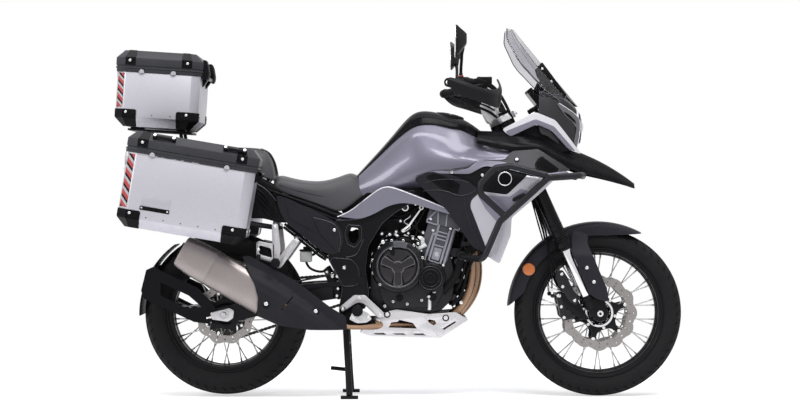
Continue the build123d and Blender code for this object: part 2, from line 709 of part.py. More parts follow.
def swingarm():
    """Pivot tube between the frame plates, a cross member, and two tapering arms to the axle."""
    pivot = across(pivot_x, pivot_z, -plate_inner_y + 0.5, plate_inner_y - 0.5, 27)
    axle_x, axle_z = rear_axle.X, rear_axle.Z
    neck = slab([(-150, 462), (-250, 452), (-340, 448), (-340, 374), (-250, 386), (-150, 418)], -96, 96)
    neck -= slab([(-380, 500), (-262, 500), (-262, 350), (-380, 350)], -70, 60)
    arms = []
    for side in (-1, 1):
        low, high = sorted((side * arm_inner_y, side * arm_outer_y))
        view = [
            (-262, 452), (-340, 448), (-420, 440), (axle_x + 20, axle_z + 34), (axle_x - 40, axle_z + 22),
            (axle_x - 40, axle_z - 22), (axle_x + 30, axle_z - 30), (-420, 352), (-340, 374), (-262, 386),
        ]  # fmt: skip
        arm = slab(view, low, high)
        inner_low, inner_high = sorted((side * 90, side * arm_outer_y))
        gusset = slab([(-262, 452), (-340, 448), (-340, 374), (-262, 386)], inner_low, inner_high)
        arms += [arm, gusset]
    axle = across(axle_x, axle_z, -arm_outer_y - 12, arm_outer_y + 12, rear_axle_diameter / 2)
    return fused([pivot, neck] + arms + [axle]) - nodes["main_frame"]


keep("swingarm", swingarm())


def shock_absorber():
    """Coil-over unit from the frame's cross tube down to the swingarm's neck."""
    top, foot = Vector(-206, 0, 548), Vector(-214, 0, 452)
    body = rod(top, foot, 34)
    upper = rod((-206, 0, 552), (-196, 0, 640), 56)
    reservoir = rod((-300, -40, 620), (-300, -40, 690), 46)
    pipe = tube([(-300, -40, 630), (-250, -30, 612), (-200, 0, 612)], 14, 12)
    return fused([body, upper, reservoir, pipe]) - nodes["main_frame"] - nodes["swingarm"]


keep("shock_absorber", shock_absorber())


def chain_loop():
    """The drive chain: one band round both sprockets."""
    link_height = 14.0
    front_centre = Vector(-92, 0, 444)
    rear_centre = rear_axle
    gap = front_centre - Vector(rear_centre.X, 0, rear_centre.Z)
    distance = hypot(gap.X, gap.Z)
    slope = atan2(gap.Z, gap.X)

    def belt(rear_radius, front_radius):
        spread = atan2(rear_radius - front_radius, distance)
        points = []
        for centre, radius, first, last in (
            (rear_centre, rear_radius, pi / 2 - spread, 3 * pi / 2 + spread),
            (front_centre, front_radius, -pi / 2 + spread, pi / 2 - spread),
        ):
            for t in (0.0, 0.5, 1.0):
                a = slope + first + (last - first) * t
                points.append((centre.X + radius * cos(a), 0, centre.Z + radius * sin(a)))
        a, b, c, d, e, f = points
        return make_face(Curve() + [ThreePointArc(a, b, c), Line(c, d), ThreePointArc(d, e, f), Line(f, a)])

    rear_inner, front_inner = sprocket_radius + 0.6, front_sprocket_radius
    outer = belt(rear_inner + link_height, front_inner + link_height)
    inner = belt(rear_inner, front_inner)
    low = chain_y - chain_width / 2
    band = Pos(0, low, 0) * extrude(outer - inner, amount=chain_width, dir=(0, 1, 0))
    pinion = across(front_centre.X, front_centre.Z, chain_y - 3.5, chain_y + 3.5, front_inner)
    shaft = across(front_centre.X, front_centre.Z, 60, chain_y + 10, 13)
    return band, pinion + shaft


chain_band, pinion = chain_loop()
keep("drive_chain", (chain_band + pinion) - nodes["crankcase"] - nodes["swingarm"])


def rear_hugger():
    """Tyre-hugging rear guard on two forked arms that bolt to the swingarm's ends."""
    gap, wall, half = 10.0, 4.0, 92.0
    inner_radius = rear_tyre_radius + gap
    centre = rear_axle
    plate = across(centre.X, centre.Z, -half, half, inner_radius + wall)
    plate -= across(centre.X, centre.Z, -half, half, inner_radius)
    plate &= slab([(-880, 640), (-960, 600), (-1100, 480), (-1100, 320), (-960, 320), (-960, 470), (-880, 560)], -half, half)
    arm_view = [
        (-986, 500), (-960, 512), (-790, 432), (-730, 372), (-716, 350), (-716, 336), (-738, 290), (-800, 298),
        (-960, 372), (-996, 390), (-1006, 420),
    ]  # fmt: skip
    window = [(-930, 452), (-820, 400), (-770, 356), (-830, 352), (-930, 402)]
    arms = []
    for side in (-1, 1):
        low, high = sorted((side * 90, side * (arm_outer_y + 8)))
        arm = slab(arm_view, low, high) - slab(window, low, high)
        low, high = sorted((side * 80, side * arm_outer_y))
        arm -= slab([(-600, 260), (-600, 420), (-940, 520), (-940, 260)], low, high)
        arms.append(arm)
    return fused([plate] + arms) - nodes["swingarm"]


keep("rear_hugger", *[s for s in rear_hugger().solids() if s.volume > 5000])


# ---------------------------------------------------------------- rear frame, seats and tail
def rear_subframe():
    pieces = []
    for side in (-1, 1):
        y = side * rail_y
        pieces.append(tube([(-232, side * 100, 694), (-500, y, 790), (-660, y, 852), (-900, side * 84, 884)], rail_tube, 80))
        pieces.append(rod((-252, side * 100, 566), (-640, y, 838), 22))
        pieces.append(rod((-236, side * 100, 692), (-262, side * 100, 560), 20))
    cross = [across(x, z, -rail_y, rail_y, 10) for x, z in ((-420, 761), (-640, 845), (-880, 881))]
    foot = [box((-262, -226), sorted((side * 90, side * plate_inner_y)), (z - 14, z + 14)) for side in (-1, 1) for z in (568, 688)]
    return fused(pieces + cross + foot) - nodes["main_frame"]


keep("rear_subframe", rear_subframe())

# Columns: x, z_bottom, half_bottom, z_top, half_top
tank_sections = {
    # x: (cover edge y, z), (crease y, z), (widest y, z), (lower y, z), (bottom y, z), ridge z
    -160: ((46, 866), (62, 852), (82, 826), (86, 782), (60, 752), 874),
    -76: ((60, 946), (86, 922), (116, 864), (120, 806), (80, 772), 966),
    22: ((80, 1032), (116, 1006), (150, 930), (155, 838), (112, 800), 1080),
    66: ((88, 1064), (134, 1032), (172, 950), (170, 826), (118, 786), 1118),
    166: ((92, 1060), (150, 1003), (190, 940), (188, 812), (126, 772), 1106),
    256: ((90, 1036), (160, 982), (200, 930), (198, 878), (126, 856), 1080),
    316: ((84, 1010), (164, 966), (202, 922), (198, 888), (130, 872), 1040),
    424: ((120, 966), (170, 956), (196, 938), (190, 918), (130, 906), 966),
}


def fuel_tank():
    """The tank's shell with its creased flanks; its nose straddles the steering head."""
    stations = []
    for x, (edge, crease, wide, lower, bottom, _) in tank_sections.items():
        half = [edge, crease, wide, lower, bottom]
        stations.append((x, half + [(-y, z) for y, z in reversed(half)]))
    form = ruled(stations)
    tunnel = tapered([(-180, 700, 96, 812, 96), (110, 700, 104, 856, 104), (440, 860, 60, 990, 60)])
    body = form - tunnel - steering_sweep - nodes["main_frame"] - nodes["airbox"]
    return max(body.solids(), key=lambda s: s.volume)


keep("fuel_tank", fuel_tank())


def tank_cover():
    """The black ridge along the top of the tank, with the filler cap."""
    stations = []
    for x, (edge, _, _, _, _, ridge) in tank_sections.items():
        if x > 320:
            break
        y, z = edge
        rise = ridge - z
        half = [(y, z), (y * 0.86, z + rise * 0.62), (y * 0.4, ridge)]
        stations.append((x, half + [(-a, b) for a, b in reversed(half)]))
    cap = Pos(196, 0, 1086) * (Rot(0, 15, 0) * Cylinder(44, 34))
    return (ruled(stations) + cap) - nodes["fuel_tank"] - steering_sweep


keep("tank_cover", tank_cover())


def tank_trim():
    """The painted lower band between tank and frame, one each side."""
    view = [
        (-245, 709), (-212, 716), (-93, 806), (-44, 829), (60, 790), (185, 736), (196, 716), (60, 757), (5, 763),
        (-49, 747), (-103, 714), (-158, 696),
    ]  # fmt: skip
    outer = slab(view, -162, -plate_outer_y)
    return (outer - nodes["fuel_tank"]) - nodes["main_frame"]


trim = max(tank_trim().solids(), key=lambda s: s.volume)
keep("tank_trim", *both_sides(trim))

# Columns: x, z_bottom, half_bottom, z_top, half_top
rider_seat_rows = [
    (-496, 812, 104, 852, 84),
    (-470, 802, 112, 864, 94),
    (-390, 774, 124, 842, 112),
    (-316, 750, 130, 837, 116),
    (-240, 718, 128, 848, 104),
    (-190, 736, 120, 873, 82),
    (-122, 786, 92, 830, 58),
]
pillion_seat_rows = [
    (-790, 902, 88, 962, 70),
    (-700, 892, 108, 972, 92),
    (-600, 872, 116, 971, 100),
    (-532, 856, 112, 966, 92),
    (-502, 846, 104, 930, 84),
    (-482, 842, 96, 874, 80),
]
keep("rear_seat", tapered(pillion_seat_rows) - nodes["rear_subframe"])
rider_seat = tapered(rider_seat_rows)
for neighbour in ("rear_subframe", "main_frame", "airbox", "fuel_tank", "tank_cover", "rear_seat", "tank_trim"):
    rider_seat -= nodes[neighbour]
keep("rider_seat", max(rider_seat.solids(), key=lambda s: s.volume))


def tail_unit():
    """Tail fairing under the pillion seat, with the lamp across its end and two indicators."""
    body = tapered(
        [
            (-905, 868, 58, 908, 66),
            (-800, 838, 84, 902, 88),
            (-660, 800, 98, 884, 110),
            (-560, 760, 106, 860, 114),
            (-470, 700, 112, 812, 114),
        ]
    )
    hollow = tapered([(-700, 790, 80, 870, 80), (-440, 660, 92, 800, 92)])
    lamp = box((-920, -903), (-52, 52), (872, 902))
    stalks = [rod((-890, side * 50, 876), (-898, side * 116, 870), 12) for side in (-1, 1)]
    pods = [rod((-912, side * 128, 869), (-886, side * 128, 871), 30) for side in (-1, 1)]
    return fused([body - hollow, lamp] + stalks + pods) - nodes["rear_subframe"] - nodes["rear_seat"] - nodes["rider_seat"]


keep("tail_unit", *[s for s in tail_unit().solids() if s.volume > 3000])


def side_panels():
    """The fluted side covers under the seat."""
    view = [
        (-484, 792), (-440, 780), (-263, 696), (-228, 664), (-218, 614), (-236, 560), (-288, 562), (-440, 680),
        (-468, 730),
    ]  # fmt: skip
    panel = slab(view, -146, -plate_outer_y + 6)
    rib = [(-440, 752), (-330, 700), (-250, 640), (-244, 580), (-286, 588), (-420, 690)]
    panel -= slab(rib, -146, -141)
    pegs = [across(x, z, -136, -100, 8) for x, z in ((-300, 640), (-430, 730))]
    return fused([panel] + pegs) - nodes["main_frame"] - nodes["tail_unit"] - nodes["rear_subframe"]


keep("side_panels", *both_sides(max(side_panels().solids(), key=lambda s: s.volume)))


# ---------------------------------------------------------------- front bodywork
panel_wall = 6.0
# Columns: x, z_low, half_low, z_mid, half_mid, z_high, half_high
flank_rows = [
    (30, 540, 150, 860, 176, 940, 150),
    (200, 550, 176, 880, 212, 970, 170),
    (320, 530, 208, 880, 244, 985, 184),
    (420, 510, 236, 868, 264, 990, 190),
    (520, 510, 240, 858, 264, 990, 184),
    (620, 510, 222, 850, 236, 980, 160),
    (720, 510, 184, 842, 188, 950, 124),
]


def flank_form(inset):
    return ruled(
        [
            (
                x,
                [
                    (low - inset, z_low), (mid - inset, z_mid), (high - inset, z_high),
                    (inset - high, z_high), (inset - mid, z_mid), (inset - low, z_low),
                ],
            )
            for x, z_low, low, z_mid, mid, z_high, high in flank_rows
        ]
    )  # fmt: skip


def flank_panel(view, inset, wall=panel_wall):
    """A skin on both flanks, cut to an (x, z) outline; inset sinks it below the flank's surface."""
    return (flank_form(inset) - flank_form(inset + wall)) & slab(view, -400, 400)


upper_view = [
    (150, 886), (232, 893), (300, 921), (401, 926), (430, 958), (534, 968), (662, 886), (560, 872), (352, 900),
    (296, 898), (236, 872),
]  # fmt: skip
inlay_view = [
    (150, 886), (236, 872), (296, 898), (352, 900), (560, 872), (540, 862), (484, 862), (462, 842), (410, 792),
    (306, 806), (262, 838),
]  # fmt: skip
blade_view = [
    (54, 852), (108, 887), (150, 886), (262, 838), (306, 806), (270, 772), (267, 747), (336, 569), (283, 586),
    (183, 731), (115, 791),
]  # fmt: skip
wing_view = [
    (267, 747), (270, 772), (306, 806), (410, 792), (462, 842), (484, 862), (540, 862), (592, 850), (546, 806),
    (428, 704), (424, 634), (382, 526), (346, 548), (336, 569),
]  # fmt: skip
tank_peg = across(196, 900, -214, -186, 9) - nodes["fuel_tank"]
rad_peg = across(352, 690, -226, -168, 9)
shroud_upper = flank_panel(upper_view, 0) - steering_sweep
shroud_inlay = flank_panel(inlay_view, 3)
shroud_blade = flank_panel(blade_view, -2) - nodes["main_frame"]
shroud_wing = flank_panel(wing_view, 0)
wing_pegs = fused([rad_peg, mirror(rad_peg, about=Plane.XZ)]) - flank_form(panel_wall)
keep("shroud_upper", shroud_upper - nodes["fuel_tank"])
keep("shroud_inlay", fused([shroud_inlay, shroud_blade]) - nodes["fuel_tank"] - nodes["tank_trim"])
for peg in both_sides(rad_peg):
    shroud_wing += peg & flank_form(1)
keep("shroud_wing", shroud_wing - nodes["radiator"])


def front_beak():
    """The long black beak with its cheeks beside the steering head."""
    wall = 4.0
    rows = [
        # x, z_edge, half_edge, z_top, half_top
        (300, 990, 170, 1036, 150),
        (430, 962, 184, 1030, 150),
        (534, 968, 182, 1012, 130),
        (620, 915, 160, 985, 100),
        (700, 880, 120, 955, 64),
        (790, 858, 78, 915, 36),
        (870, 836, 46, 868, 20),
        (922, 818, 16, 830, 8),
    ]
    outer = tapered(rows)
    inner = tapered([(x, edge - wall, half - wall, top - wall, max(3.0, high - wall)) for x, edge, half, top, high in rows])
    shell = (outer - inner) - steering_sweep
    return shell - nodes["fuel_tank"] - nodes["shroud_upper"] - nodes["tank_cover"]


keep("front_beak", *[s for s in front_beak().solids() if s.volume > 2000])


def nose_cowl():
    """The cowl round the headlamp."""
    wall = 4.0
    rows = [
        # x, z_low, half_low, z_high, half_high
        (540, 1040, 146, 1205, 112),
        (600, 1000, 132, 1188, 104),
        (650, 968, 108, 1162, 92),
        (688, 960, 88, 1128, 74),
    ]
    outer = tapered(rows)
    inner = tapered([(x + 1, low - 2, half - wall, top - wall, high - wall) for x, low, half, top, high in rows[:-1]] + [(700, 940, 84, 1124, 70)])
    return (outer - inner) - nodes["front_beak"] - steering_sweep


keep("nose_cowl", *[s for s in nose_cowl().solids() if s.volume > 2000])


def headlamp():
    body = tapered([(600, 1012, 96, 1150, 84), (660, 985, 96, 1140, 82), (700, 990, 78, 1118, 66), (708, 1010, 64, 1100, 54)])
    return body - nodes["nose_cowl"] - nodes["front_beak"] - steering_sweep


keep("headlamp", max(headlamp().solids(), key=lambda s: s.volume))


def nose_trim():
    """The bright brow each side, from beside the steering head down to the beak."""
    view = [(394, 1046), (524, 1112), (604, 1080), (706, 952), (652, 968), (588, 1042), (530, 1066), (428, 1018)]
    rows = [(380, 940, 168, 1130, 158), (540, 940, 162, 1130, 150), (620, 940, 146, 1130, 132), (712, 930, 104, 1130, 92)]
    outer = tapered(rows)
    inner = tapered([(x, low, half - 14, top, high - 14) for x, low, half, top, high in rows])
    return ((outer - inner) & slab(view, -200, 200)) - nodes["front_beak"] - nodes["nose_cowl"] - nodes["headlamp"] - steering_sweep


keep("nose_trim", *[s for s in nose_trim().solids() if s.volume > 2000])


def windscreen():
    """A clear shield, bent back at its sides."""
    wall = 4.0
    # Columns: centre x, centre z, crease half-width, crease set-back, edge half-width, edge set-back
    rows = [(450, 1443, 40, 10, 78, 30), (484, 1400, 74, 24, 128, 66), (560, 1308, 92, 34, 168, 96), (634, 1218, 84, 30, 150, 86), (699, 1139, 46, 12, 84, 40)]

    def strip(x, z, half, back, edge, edge_back):
        front = [(x, 0, z), (x - back, half, z), (x - edge_back, edge, z - 4), (x - edge_back, -edge, z - 4), (x - back, -half, z)]
        outer = [front[2], front[1], front[0], front[4], front[3]]
        inner = [(a - wall, b, c) for a, b, c in reversed(outer)]
        return outline_face([(a, b, z) for a, b, _ in outer + inner])

    return loft([strip(*row) for row in rows], ruled=True)


keep("windscreen", windscreen() - nodes["nose_cowl"] - nodes["headlamp"])


def instrument_panel():
    """The dash and the stay that carries it and the screen."""
    dash = Pos(536, 0, 1166) * (Rot(0, -38, 0) * Box(22, 170, 100))
    stays = [rod((560, side * 70, 1150), (604, side * 62, 1262), 16) for side in (-1, 1)]
    stays += [rod((520, side * 60, 1120), (612, side * 80, 1090), 16) for side in (-1, 1)]
    return fused([dash] + stays) - nodes["windscreen"] - nodes["nose_cowl"] - nodes["headlamp"] - steering_sweep


keep("instrument_panel", max(instrument_panel().solids(), key=lambda s: s.volume))


def crash_bars():
    y = -306
    hoop = tube([(232, -126, 556), (262, -200, 548), (318, y + 6, 546), (380, y, 690), (566, y, 858), (690, -250, 866), (706, -180, 866)], crash_tube, 34)
    loop = tube([(398, y, 712), (306, y, 796), (306, y, 832), (362, y, 894), (420, y, 902), (560, y, 866)], crash_tube, 26)
    stay = rod((470, y, 790), (372, -160, 740), 18)
    side = fused([hoop, loop, stay])
    return side


bars = crash_bars()
for blocker in ("radiator", "shroud_wing", "shroud_upper", "shroud_inlay", "crankcase", "main_frame", "cylinder_block"):
    bars -= nodes[blocker]
keep("crash_bars", *both_sides(max(bars.solids(), key=lambda s: s.volume)))


# ---------------------------------------------------------------- stands and footrests
def centre_stand():
    """Two splayed legs with feet, a brace between them, and sleeves on the pivot tube."""
    sleeve_inner, sleeve_outer = plate_inner_y - 40, plate_inner_y - face_gap
    pieces = []
    for side in (-1, 1):
        y, foot_y = side * (sleeve_inner + 15), side * stand_foot_half_spacing
        low, high = sorted((side * sleeve_inner, side * sleeve_outer))
        pieces.append(across(stand_pivot_x, stand_pivot_z, low, high, 21))
        pieces.append(rod((stand_pivot_x, y, stand_pivot_z), (stand_foot_x, foot_y, 14), stand_tube))
        pieces.append(box((stand_foot_x - 34, stand_foot_x + 34), sorted((foot_y - 15, foot_y + 15)), (0, 12)))
    brace_x, brace_z = stand_pivot_x + 7, stand_pivot_z - 120
    pieces.append(rod((brace_x, -sleeve_outer, brace_z), (brace_x, sleeve_outer, brace_z), 20))
    tang = rod((stand_foot_x, stand_foot_half_spacing - 16, 90), (stand_foot_x - 80, stand_foot_half_spacing + 10, 96), 16)
    stand = fused(pieces + [tang])
    bore = stand_pivot_radius + running_gap
    return stand - across(stand_pivot_x, stand_pivot_z, -sleeve_outer, sleeve_outer, bore)


keep("centre_stand", centre_stand())


def side_stand():
    """A leg folded back along the left side; it swings down and forward."""
    x, y, z = side_stand_x, side_stand_y, side_stand_z
    boss = across(x, z, y - 12, y + 12, 18)
    leg = rod((x, y, z), (x - side_stand_length, y + 26, z - 6), 22)
    foot = Pos(x - side_stand_length, y + 26, z - 4) * (Rot(0, 90, 0) * Cylinder(26, 8))
    return fused([boss, leg, foot])


keep("side_stand", side_stand())


def footrests():
    """Alloy hangers with the rider's and pillion's pegs, both sides, and the side stand's bracket."""
    hanger_view = [(-234, 352), (-170, 402), (-136, 402), (-66, 336), (-62, 316), (-86, 318), (-140, 372), (-166, 376), (-226, 336)]
    low, high = -plate_outer_y - 12, -plate_outer_y
    rider = slab(hanger_view, low, high)
    peg = rod((-164, high - 6, 352), (-164, -250, 346), 26) + slab([(-184, 372), (-150, 372), (-150, 332), (-184, 332)], low, high)
    inner, outer = -152, -164
    pillion = slab([(-496, 676), (-474, 676), (-464, 576), (-412, 620), (-390, 612), (-468, 508), (-490, 508)], outer, inner)
    pillion += slab([(-480, 524), (-556, 548), (-556, 608), (-484, 622)], outer, inner)
    pillion -= slab([(-490, 540), (-544, 560), (-544, 596), (-494, 604)], outer, inner)
    pillion_peg = rod((-479, outer + 5, 534), (-479, -240, 530), 24)
    mounts = [rod((-485, inner - 4, 664), (-485, -88, 688), 20), rod((-402, inner - 4, 612), (-402, -88, 638), 20)]
    side = fused([rider, peg, pillion, pillion_peg] + mounts)
    return side


rest_right = footrests()
rest_left = mirror(rest_right, about=Plane.XZ)
stand_bracket = box((side_stand_x - 22, side_stand_x + 22), (118, side_stand_y - 12 - face_gap), (side_stand_z - 16, 352))
blockers = ["main_frame", "rear_subframe", "skid_plate", "crankcase", "muffler", "muffler_guard", "exhaust_pipes", "swingarm", "side_panels", "tail_unit"]
for blocker in blockers:
    rest_right -= nodes[blocker]
    rest_left -= nodes[blocker]
    stand_bracket -= nodes[blocker]
keep("footrests", *[s for piece in (rest_right, rest_left, stand_bracket) for s in piece.solids() if s.volume > 3000])


# ---------------------------------------------------------------- luggage
def case_body(length, width, height, bevel):
    """An open alloy box with bevelled uprights and a bevelled foot. Its foot's centre is the origin."""

    def hollow(inset, floor):
        long, wide = length - 2 * inset, width - 2 * inset
        block = Pos(0, 0, floor) * Box(long, wide, height, align=(Align.CENTER, Align.CENTER, Align.MIN))
        block = chamfer(block.edges().filter_by(Axis.Z), bevel - inset * 0.4)
        return chamfer(block.faces().sort_by(Axis.Z)[0].edges(), case_foot_bevel - inset * 0.4)

    return hollow(0, 0) - hollow(case_wall, case_wall)


def case_lid(length, width, height, bevel, overhang):
    """A deep lid with sloped shoulders, open below."""

    def dome(inset):
        long, wide = length + 2 * overhang - 2 * inset, width + 2 * overhang - 2 * inset
        block = Box(long, wide, height - inset, align=(Align.CENTER, Align.CENTER, Align.MIN))
        block = chamfer(block.edges().filter_by(Axis.Z), bevel - inset * 0.4)
        return chamfer(block.faces().sort_by(Axis.Z)[-1].edges(), lid_shoulder_bevel - inset * 0.4)

    return dome(0) - dome(case_wall + 1)


hinge_pin_radius, knuckle_radius, knuckle_half, hinge_half = 4.0, 8.0, 55.0, 82.0
lid_overhang = 8.0


def hinge_axis(length, height):
    """The hinge pin's place in a case's own frame: ahead of the lid, level with the case's rim."""
    return length / 2 + lid_overhang + knuckle_radius + 1, height


def case_hinge(length, height):
    """A pin held by two ears on the front of a case."""
    x, z = hinge_axis(length, height)
    pieces = [across(x, z, -hinge_half, hinge_half, hinge_pin_radius)]
    for side in (-1, 1):
        low, high = sorted((side * (knuckle_half + face_gap), side * hinge_half))
        pieces.append(across(x, z, low, high, knuckle_radius))
        pieces.append(slab([(length / 2 - 2, z - 30), (length / 2 - 2, z - 4), (x, z - 4), (x, z - 8)], low, high))
    return fused(pieces)


def lid_hinge(length, height):
    """The lid's sleeve on that pin, and the leaf that joins it to the lid."""
    x, z = hinge_axis(length, height)
    sleeve = across(x, z, -knuckle_half, knuckle_half, knuckle_radius)
    face = length / 2 + lid_overhang
    sleeve += box((face - 2, x), (-knuckle_half, knuckle_half), (z + lid_gap, z + 8))
    return sleeve - across(x, z, -knuckle_half, knuckle_half, hinge_pin_radius + running_gap)


def placed(shape, x, y, z, tilt):
    return Pos(x, y, z) * (Rot(0, tilt, 0) * shape)


pannier_y = rack_y + rack_tube / 2 + pannier_width / 2
pannier_foot = (-826.0, 640.0)
top_case_foot = (-945.0, 1052.0)
lid_gap = 1.0




def case(length, width, height, bevel, foot, y, tilt):
    shape = case_body(length, width, height, bevel) + case_hinge(length, height)
    return placed(shape, foot[0], y, foot[1], tilt)


def lid(length, width, height, lid_height, bevel, foot, y, tilt):
    dome = Pos(0, 0, height + lid_gap) * case_lid(length, width, lid_height, bevel, lid_overhang)
    return placed(dome + lid_hinge(length, height), foot[0], y, foot[1], tilt)


pannier_sizes = (pannier_length, pannier_width, pannier_height)
top_case_sizes = (top_case_length, top_case_width, top_case_height)
right_pannier = case(*pannier_sizes, pannier_bevel, pannier_foot, -pannier_y, pannier_tilt)
left_pannier = case(*pannier_sizes, pannier_bevel, pannier_foot, pannier_y, pannier_tilt)
keep("panniers", right_pannier, left_pannier)
for side, name in ((-1, "right_pannier_lid"), (1, "left_pannier_lid")):
    cap = lid(*pannier_sizes, pannier_lid_height, pannier_lid_bevel, pannier_foot, side * pannier_y, pannier_tilt)
    keep(name, cap)
keep("top_case", case(*top_case_sizes, top_case_bevel, top_case_foot, 0, top_case_tilt))
top_lid = lid(*top_case_sizes, top_case_lid_height, top_case_lid_bevel, top_case_foot, 0, top_case_tilt)
keep("top_case_lid", top_lid)


def luggage_rack():
    """Side hoops that carry the panniers and the plate that carries the top case."""
    pieces = []
    for side in (-1, 1):
        y = side * rack_y
        corners = [(-610, y, 846), (-940, y, 902), (-966, y, 740), (-640, y, 686)]
        pieces.append(hoop(corners, rack_tube, 30))
        pieces.append(rod((-690, y, 694), (-472, side * 112, 660), 14))
        pieces.append(rod((-650, y, 853), (-650, side * 84, 843), 14))
    pieces.append(rod((-890, -rack_y, 893.5), (-890, rack_y, 893.5), 15))
    plate = Pos(-938, 0, 1041) * (Rot(0, top_case_tilt, 0) * Box(250, 200, 8))
    posts = [rod((-890, side * 60, 893), (-990, side * 60, 1043), 14) for side in (-1, 1)]
    posts += [rod((-830, side * 84, 880), (-858, side * 84, 1035), 14) for side in (-1, 1)]
    pads = [
        placed(box((x - 18, x + 18), (y - 18, y + 18), (-12, 0)), top_case_foot[0], 0, top_case_foot[1], top_case_tilt)
        for x in (-90, 90)
        for y in (-70, 70)
    ]
    return fused(pieces + [plate] + posts + pads)


rack = luggage_rack()
for blocker in ("rear_subframe", "tail_unit", "footrests", "panniers", "top_case", "rear_seat", "side_panels"):
    rack -= nodes[blocker]
keep("luggage_rack", *[s for s in rack.solids() if s.volume > 3000])

# ---------------------------------------------------------------- files
os.makedirs("parts", exist_ok=True)
for name, shape in nodes.items():
    export_step(shape, f"parts/{name}.step")


def hinge_place(length, width, height, foot, tilt):
    x, z = hinge_axis(length, height)
    a = radians(tilt)
    return round(foot[0] + x * cos(a) + z * sin(a), 3), round(foot[1] - x * sin(a) + z * cos(a), 3)


print(len(nodes), "nodes; front axle", front_axle, "rear axle", rear_axle)
print("top case hinge", hinge_place(*top_case_sizes, top_case_foot, top_case_tilt))
print("pannier hinges", hinge_place(*pannier_sizes, pannier_foot, pannier_tilt))
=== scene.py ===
import json
import bpy
import bmesh
from math import atan2, cos, hypot, pi, radians, sin
from mathutils import Matrix, Vector


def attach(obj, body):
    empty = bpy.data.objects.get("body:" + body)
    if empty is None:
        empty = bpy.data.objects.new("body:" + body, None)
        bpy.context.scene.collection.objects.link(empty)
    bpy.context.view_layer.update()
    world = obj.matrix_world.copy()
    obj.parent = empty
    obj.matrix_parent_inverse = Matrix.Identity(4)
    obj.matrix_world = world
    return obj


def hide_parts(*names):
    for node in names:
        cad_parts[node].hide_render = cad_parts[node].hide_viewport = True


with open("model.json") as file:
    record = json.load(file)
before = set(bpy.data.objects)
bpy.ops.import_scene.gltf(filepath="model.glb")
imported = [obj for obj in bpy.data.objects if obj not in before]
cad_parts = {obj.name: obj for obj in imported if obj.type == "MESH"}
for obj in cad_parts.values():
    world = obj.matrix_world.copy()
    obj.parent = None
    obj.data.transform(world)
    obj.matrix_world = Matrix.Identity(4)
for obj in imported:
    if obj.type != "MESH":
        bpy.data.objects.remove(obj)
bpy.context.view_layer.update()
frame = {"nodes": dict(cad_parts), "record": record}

scene = bpy.context.scene
scene.view_settings.view_transform = "Standard"


cameraSetup = {"distance": 8.5, "height": 0.78, "widthSeen": 3.16, "shiftY": -0.012}
lightSetup = {
    "world": 0.3,
    "key": 165.0,
    "fill": 60.0,
    "top": 170.0,
    "floor": (0.86, 0.86, 0.87),
    "floorGlow": 0.55,
    "floorFade": (1.6, 3.4),
}


def makeCamera():
    s = cameraSetup
    bpy.ops.object.camera_add(location=(0, -s["distance"], s["height"]), rotation=(radians(90), 0, 0))
    camera = bpy.context.active_object
    camera.name = "viewCamera"
    camera.data.sensor_width = 36.0
    camera.data.lens = 36.0 * s["distance"] / s["widthSeen"]
    camera.data.shift_y = s["shiftY"]
    camera.data.clip_end = 100.0
    scene.camera = camera


def addLamp(name, place, target, size, power):
    bpy.ops.object.light_add(type="AREA", location=place)
    lamp = bpy.context.active_object
    lamp.name = name
    lamp.data.shape = "RECTANGLE"
    lamp.data.size, lamp.data.size_y = size
    lamp.data.energy = power
    lamp.rotation_euler = (Vector(target) - Vector(place)).to_track_quat("-Z", "Y").to_euler()


def nodeAt(tree, kind, x=0, y=0, **values):
    node = tree.nodes.new(kind)
    node.location = (x, y)
    for key, value in values.items():
        setattr(node, key, value)
    return node


def linkAll(tree, rows):
    # each row is a node, its output, the next node and the input there
    for start, output, end, entry in rows:
        tree.links.new(start.outputs[output], end.inputs[entry])


def seenRays(tree):
    # 1 for what the camera sees, straight, in a reflection or through glass
    path = nodeAt(tree, "ShaderNodeLightPath", -1000, 300)
    last = path.outputs["Is Camera Ray"]
    for label in ("Is Glossy Ray", "Is Transmission Ray"):
        either = nodeAt(tree, "ShaderNodeMath", -800, 300, operation="MAXIMUM")
        tree.links.new(last, either.inputs[0])
        tree.links.new(path.outputs[label], either.inputs[1])
        last = either.outputs[0]
    return last


def whiteBackground():
    # what the camera sees behind the object is white, and the object is lit by a softer sky
    world = bpy.data.worlds.new("studio")
    scene.world = world
    world.use_nodes = True
    tree = world.node_tree
    tree.nodes.clear()
    seen = seenRays(tree)
    soft = nodeAt(tree, "ShaderNodeBackground", -200, 0)
    white = nodeAt(tree, "ShaderNodeBackground", -200, -150)
    mix = nodeAt(tree, "ShaderNodeMixShader", 0, 0)
    out = nodeAt(tree, "ShaderNodeOutputWorld", 200, 0)
    soft.inputs["Color"].default_value = (0.94, 0.96, 1.0, 1)
    soft.inputs["Strength"].default_value = lightSetup["world"]
    white.inputs["Color"].default_value = (1, 1, 1, 1)
    white.inputs["Strength"].default_value = 1.0
    tree.links.new(seen, mix.inputs["Fac"])
    linkAll(tree, [
        (soft, 0, mix, 1),
        (white, 0, mix, 2),
        (mix, 0, out, "Surface"),
    ])


def makeLight():
    s = lightSetup
    addLamp("keyLamp", (0.8, -3.2, 4.6), (0, 0, 0.7), (3.6, 1.1), s["key"])
    addLamp("fillLamp", (-4.0, -2.0, 2.4), (-0.2, 0, 0.6), (1.6, 1.6), s["fill"])
    addLamp("topLamp", (0.0, -0.35, 5.2), (0, -0.2, 0.7), (6.0, 1.5), s["top"])
    whiteBackground()


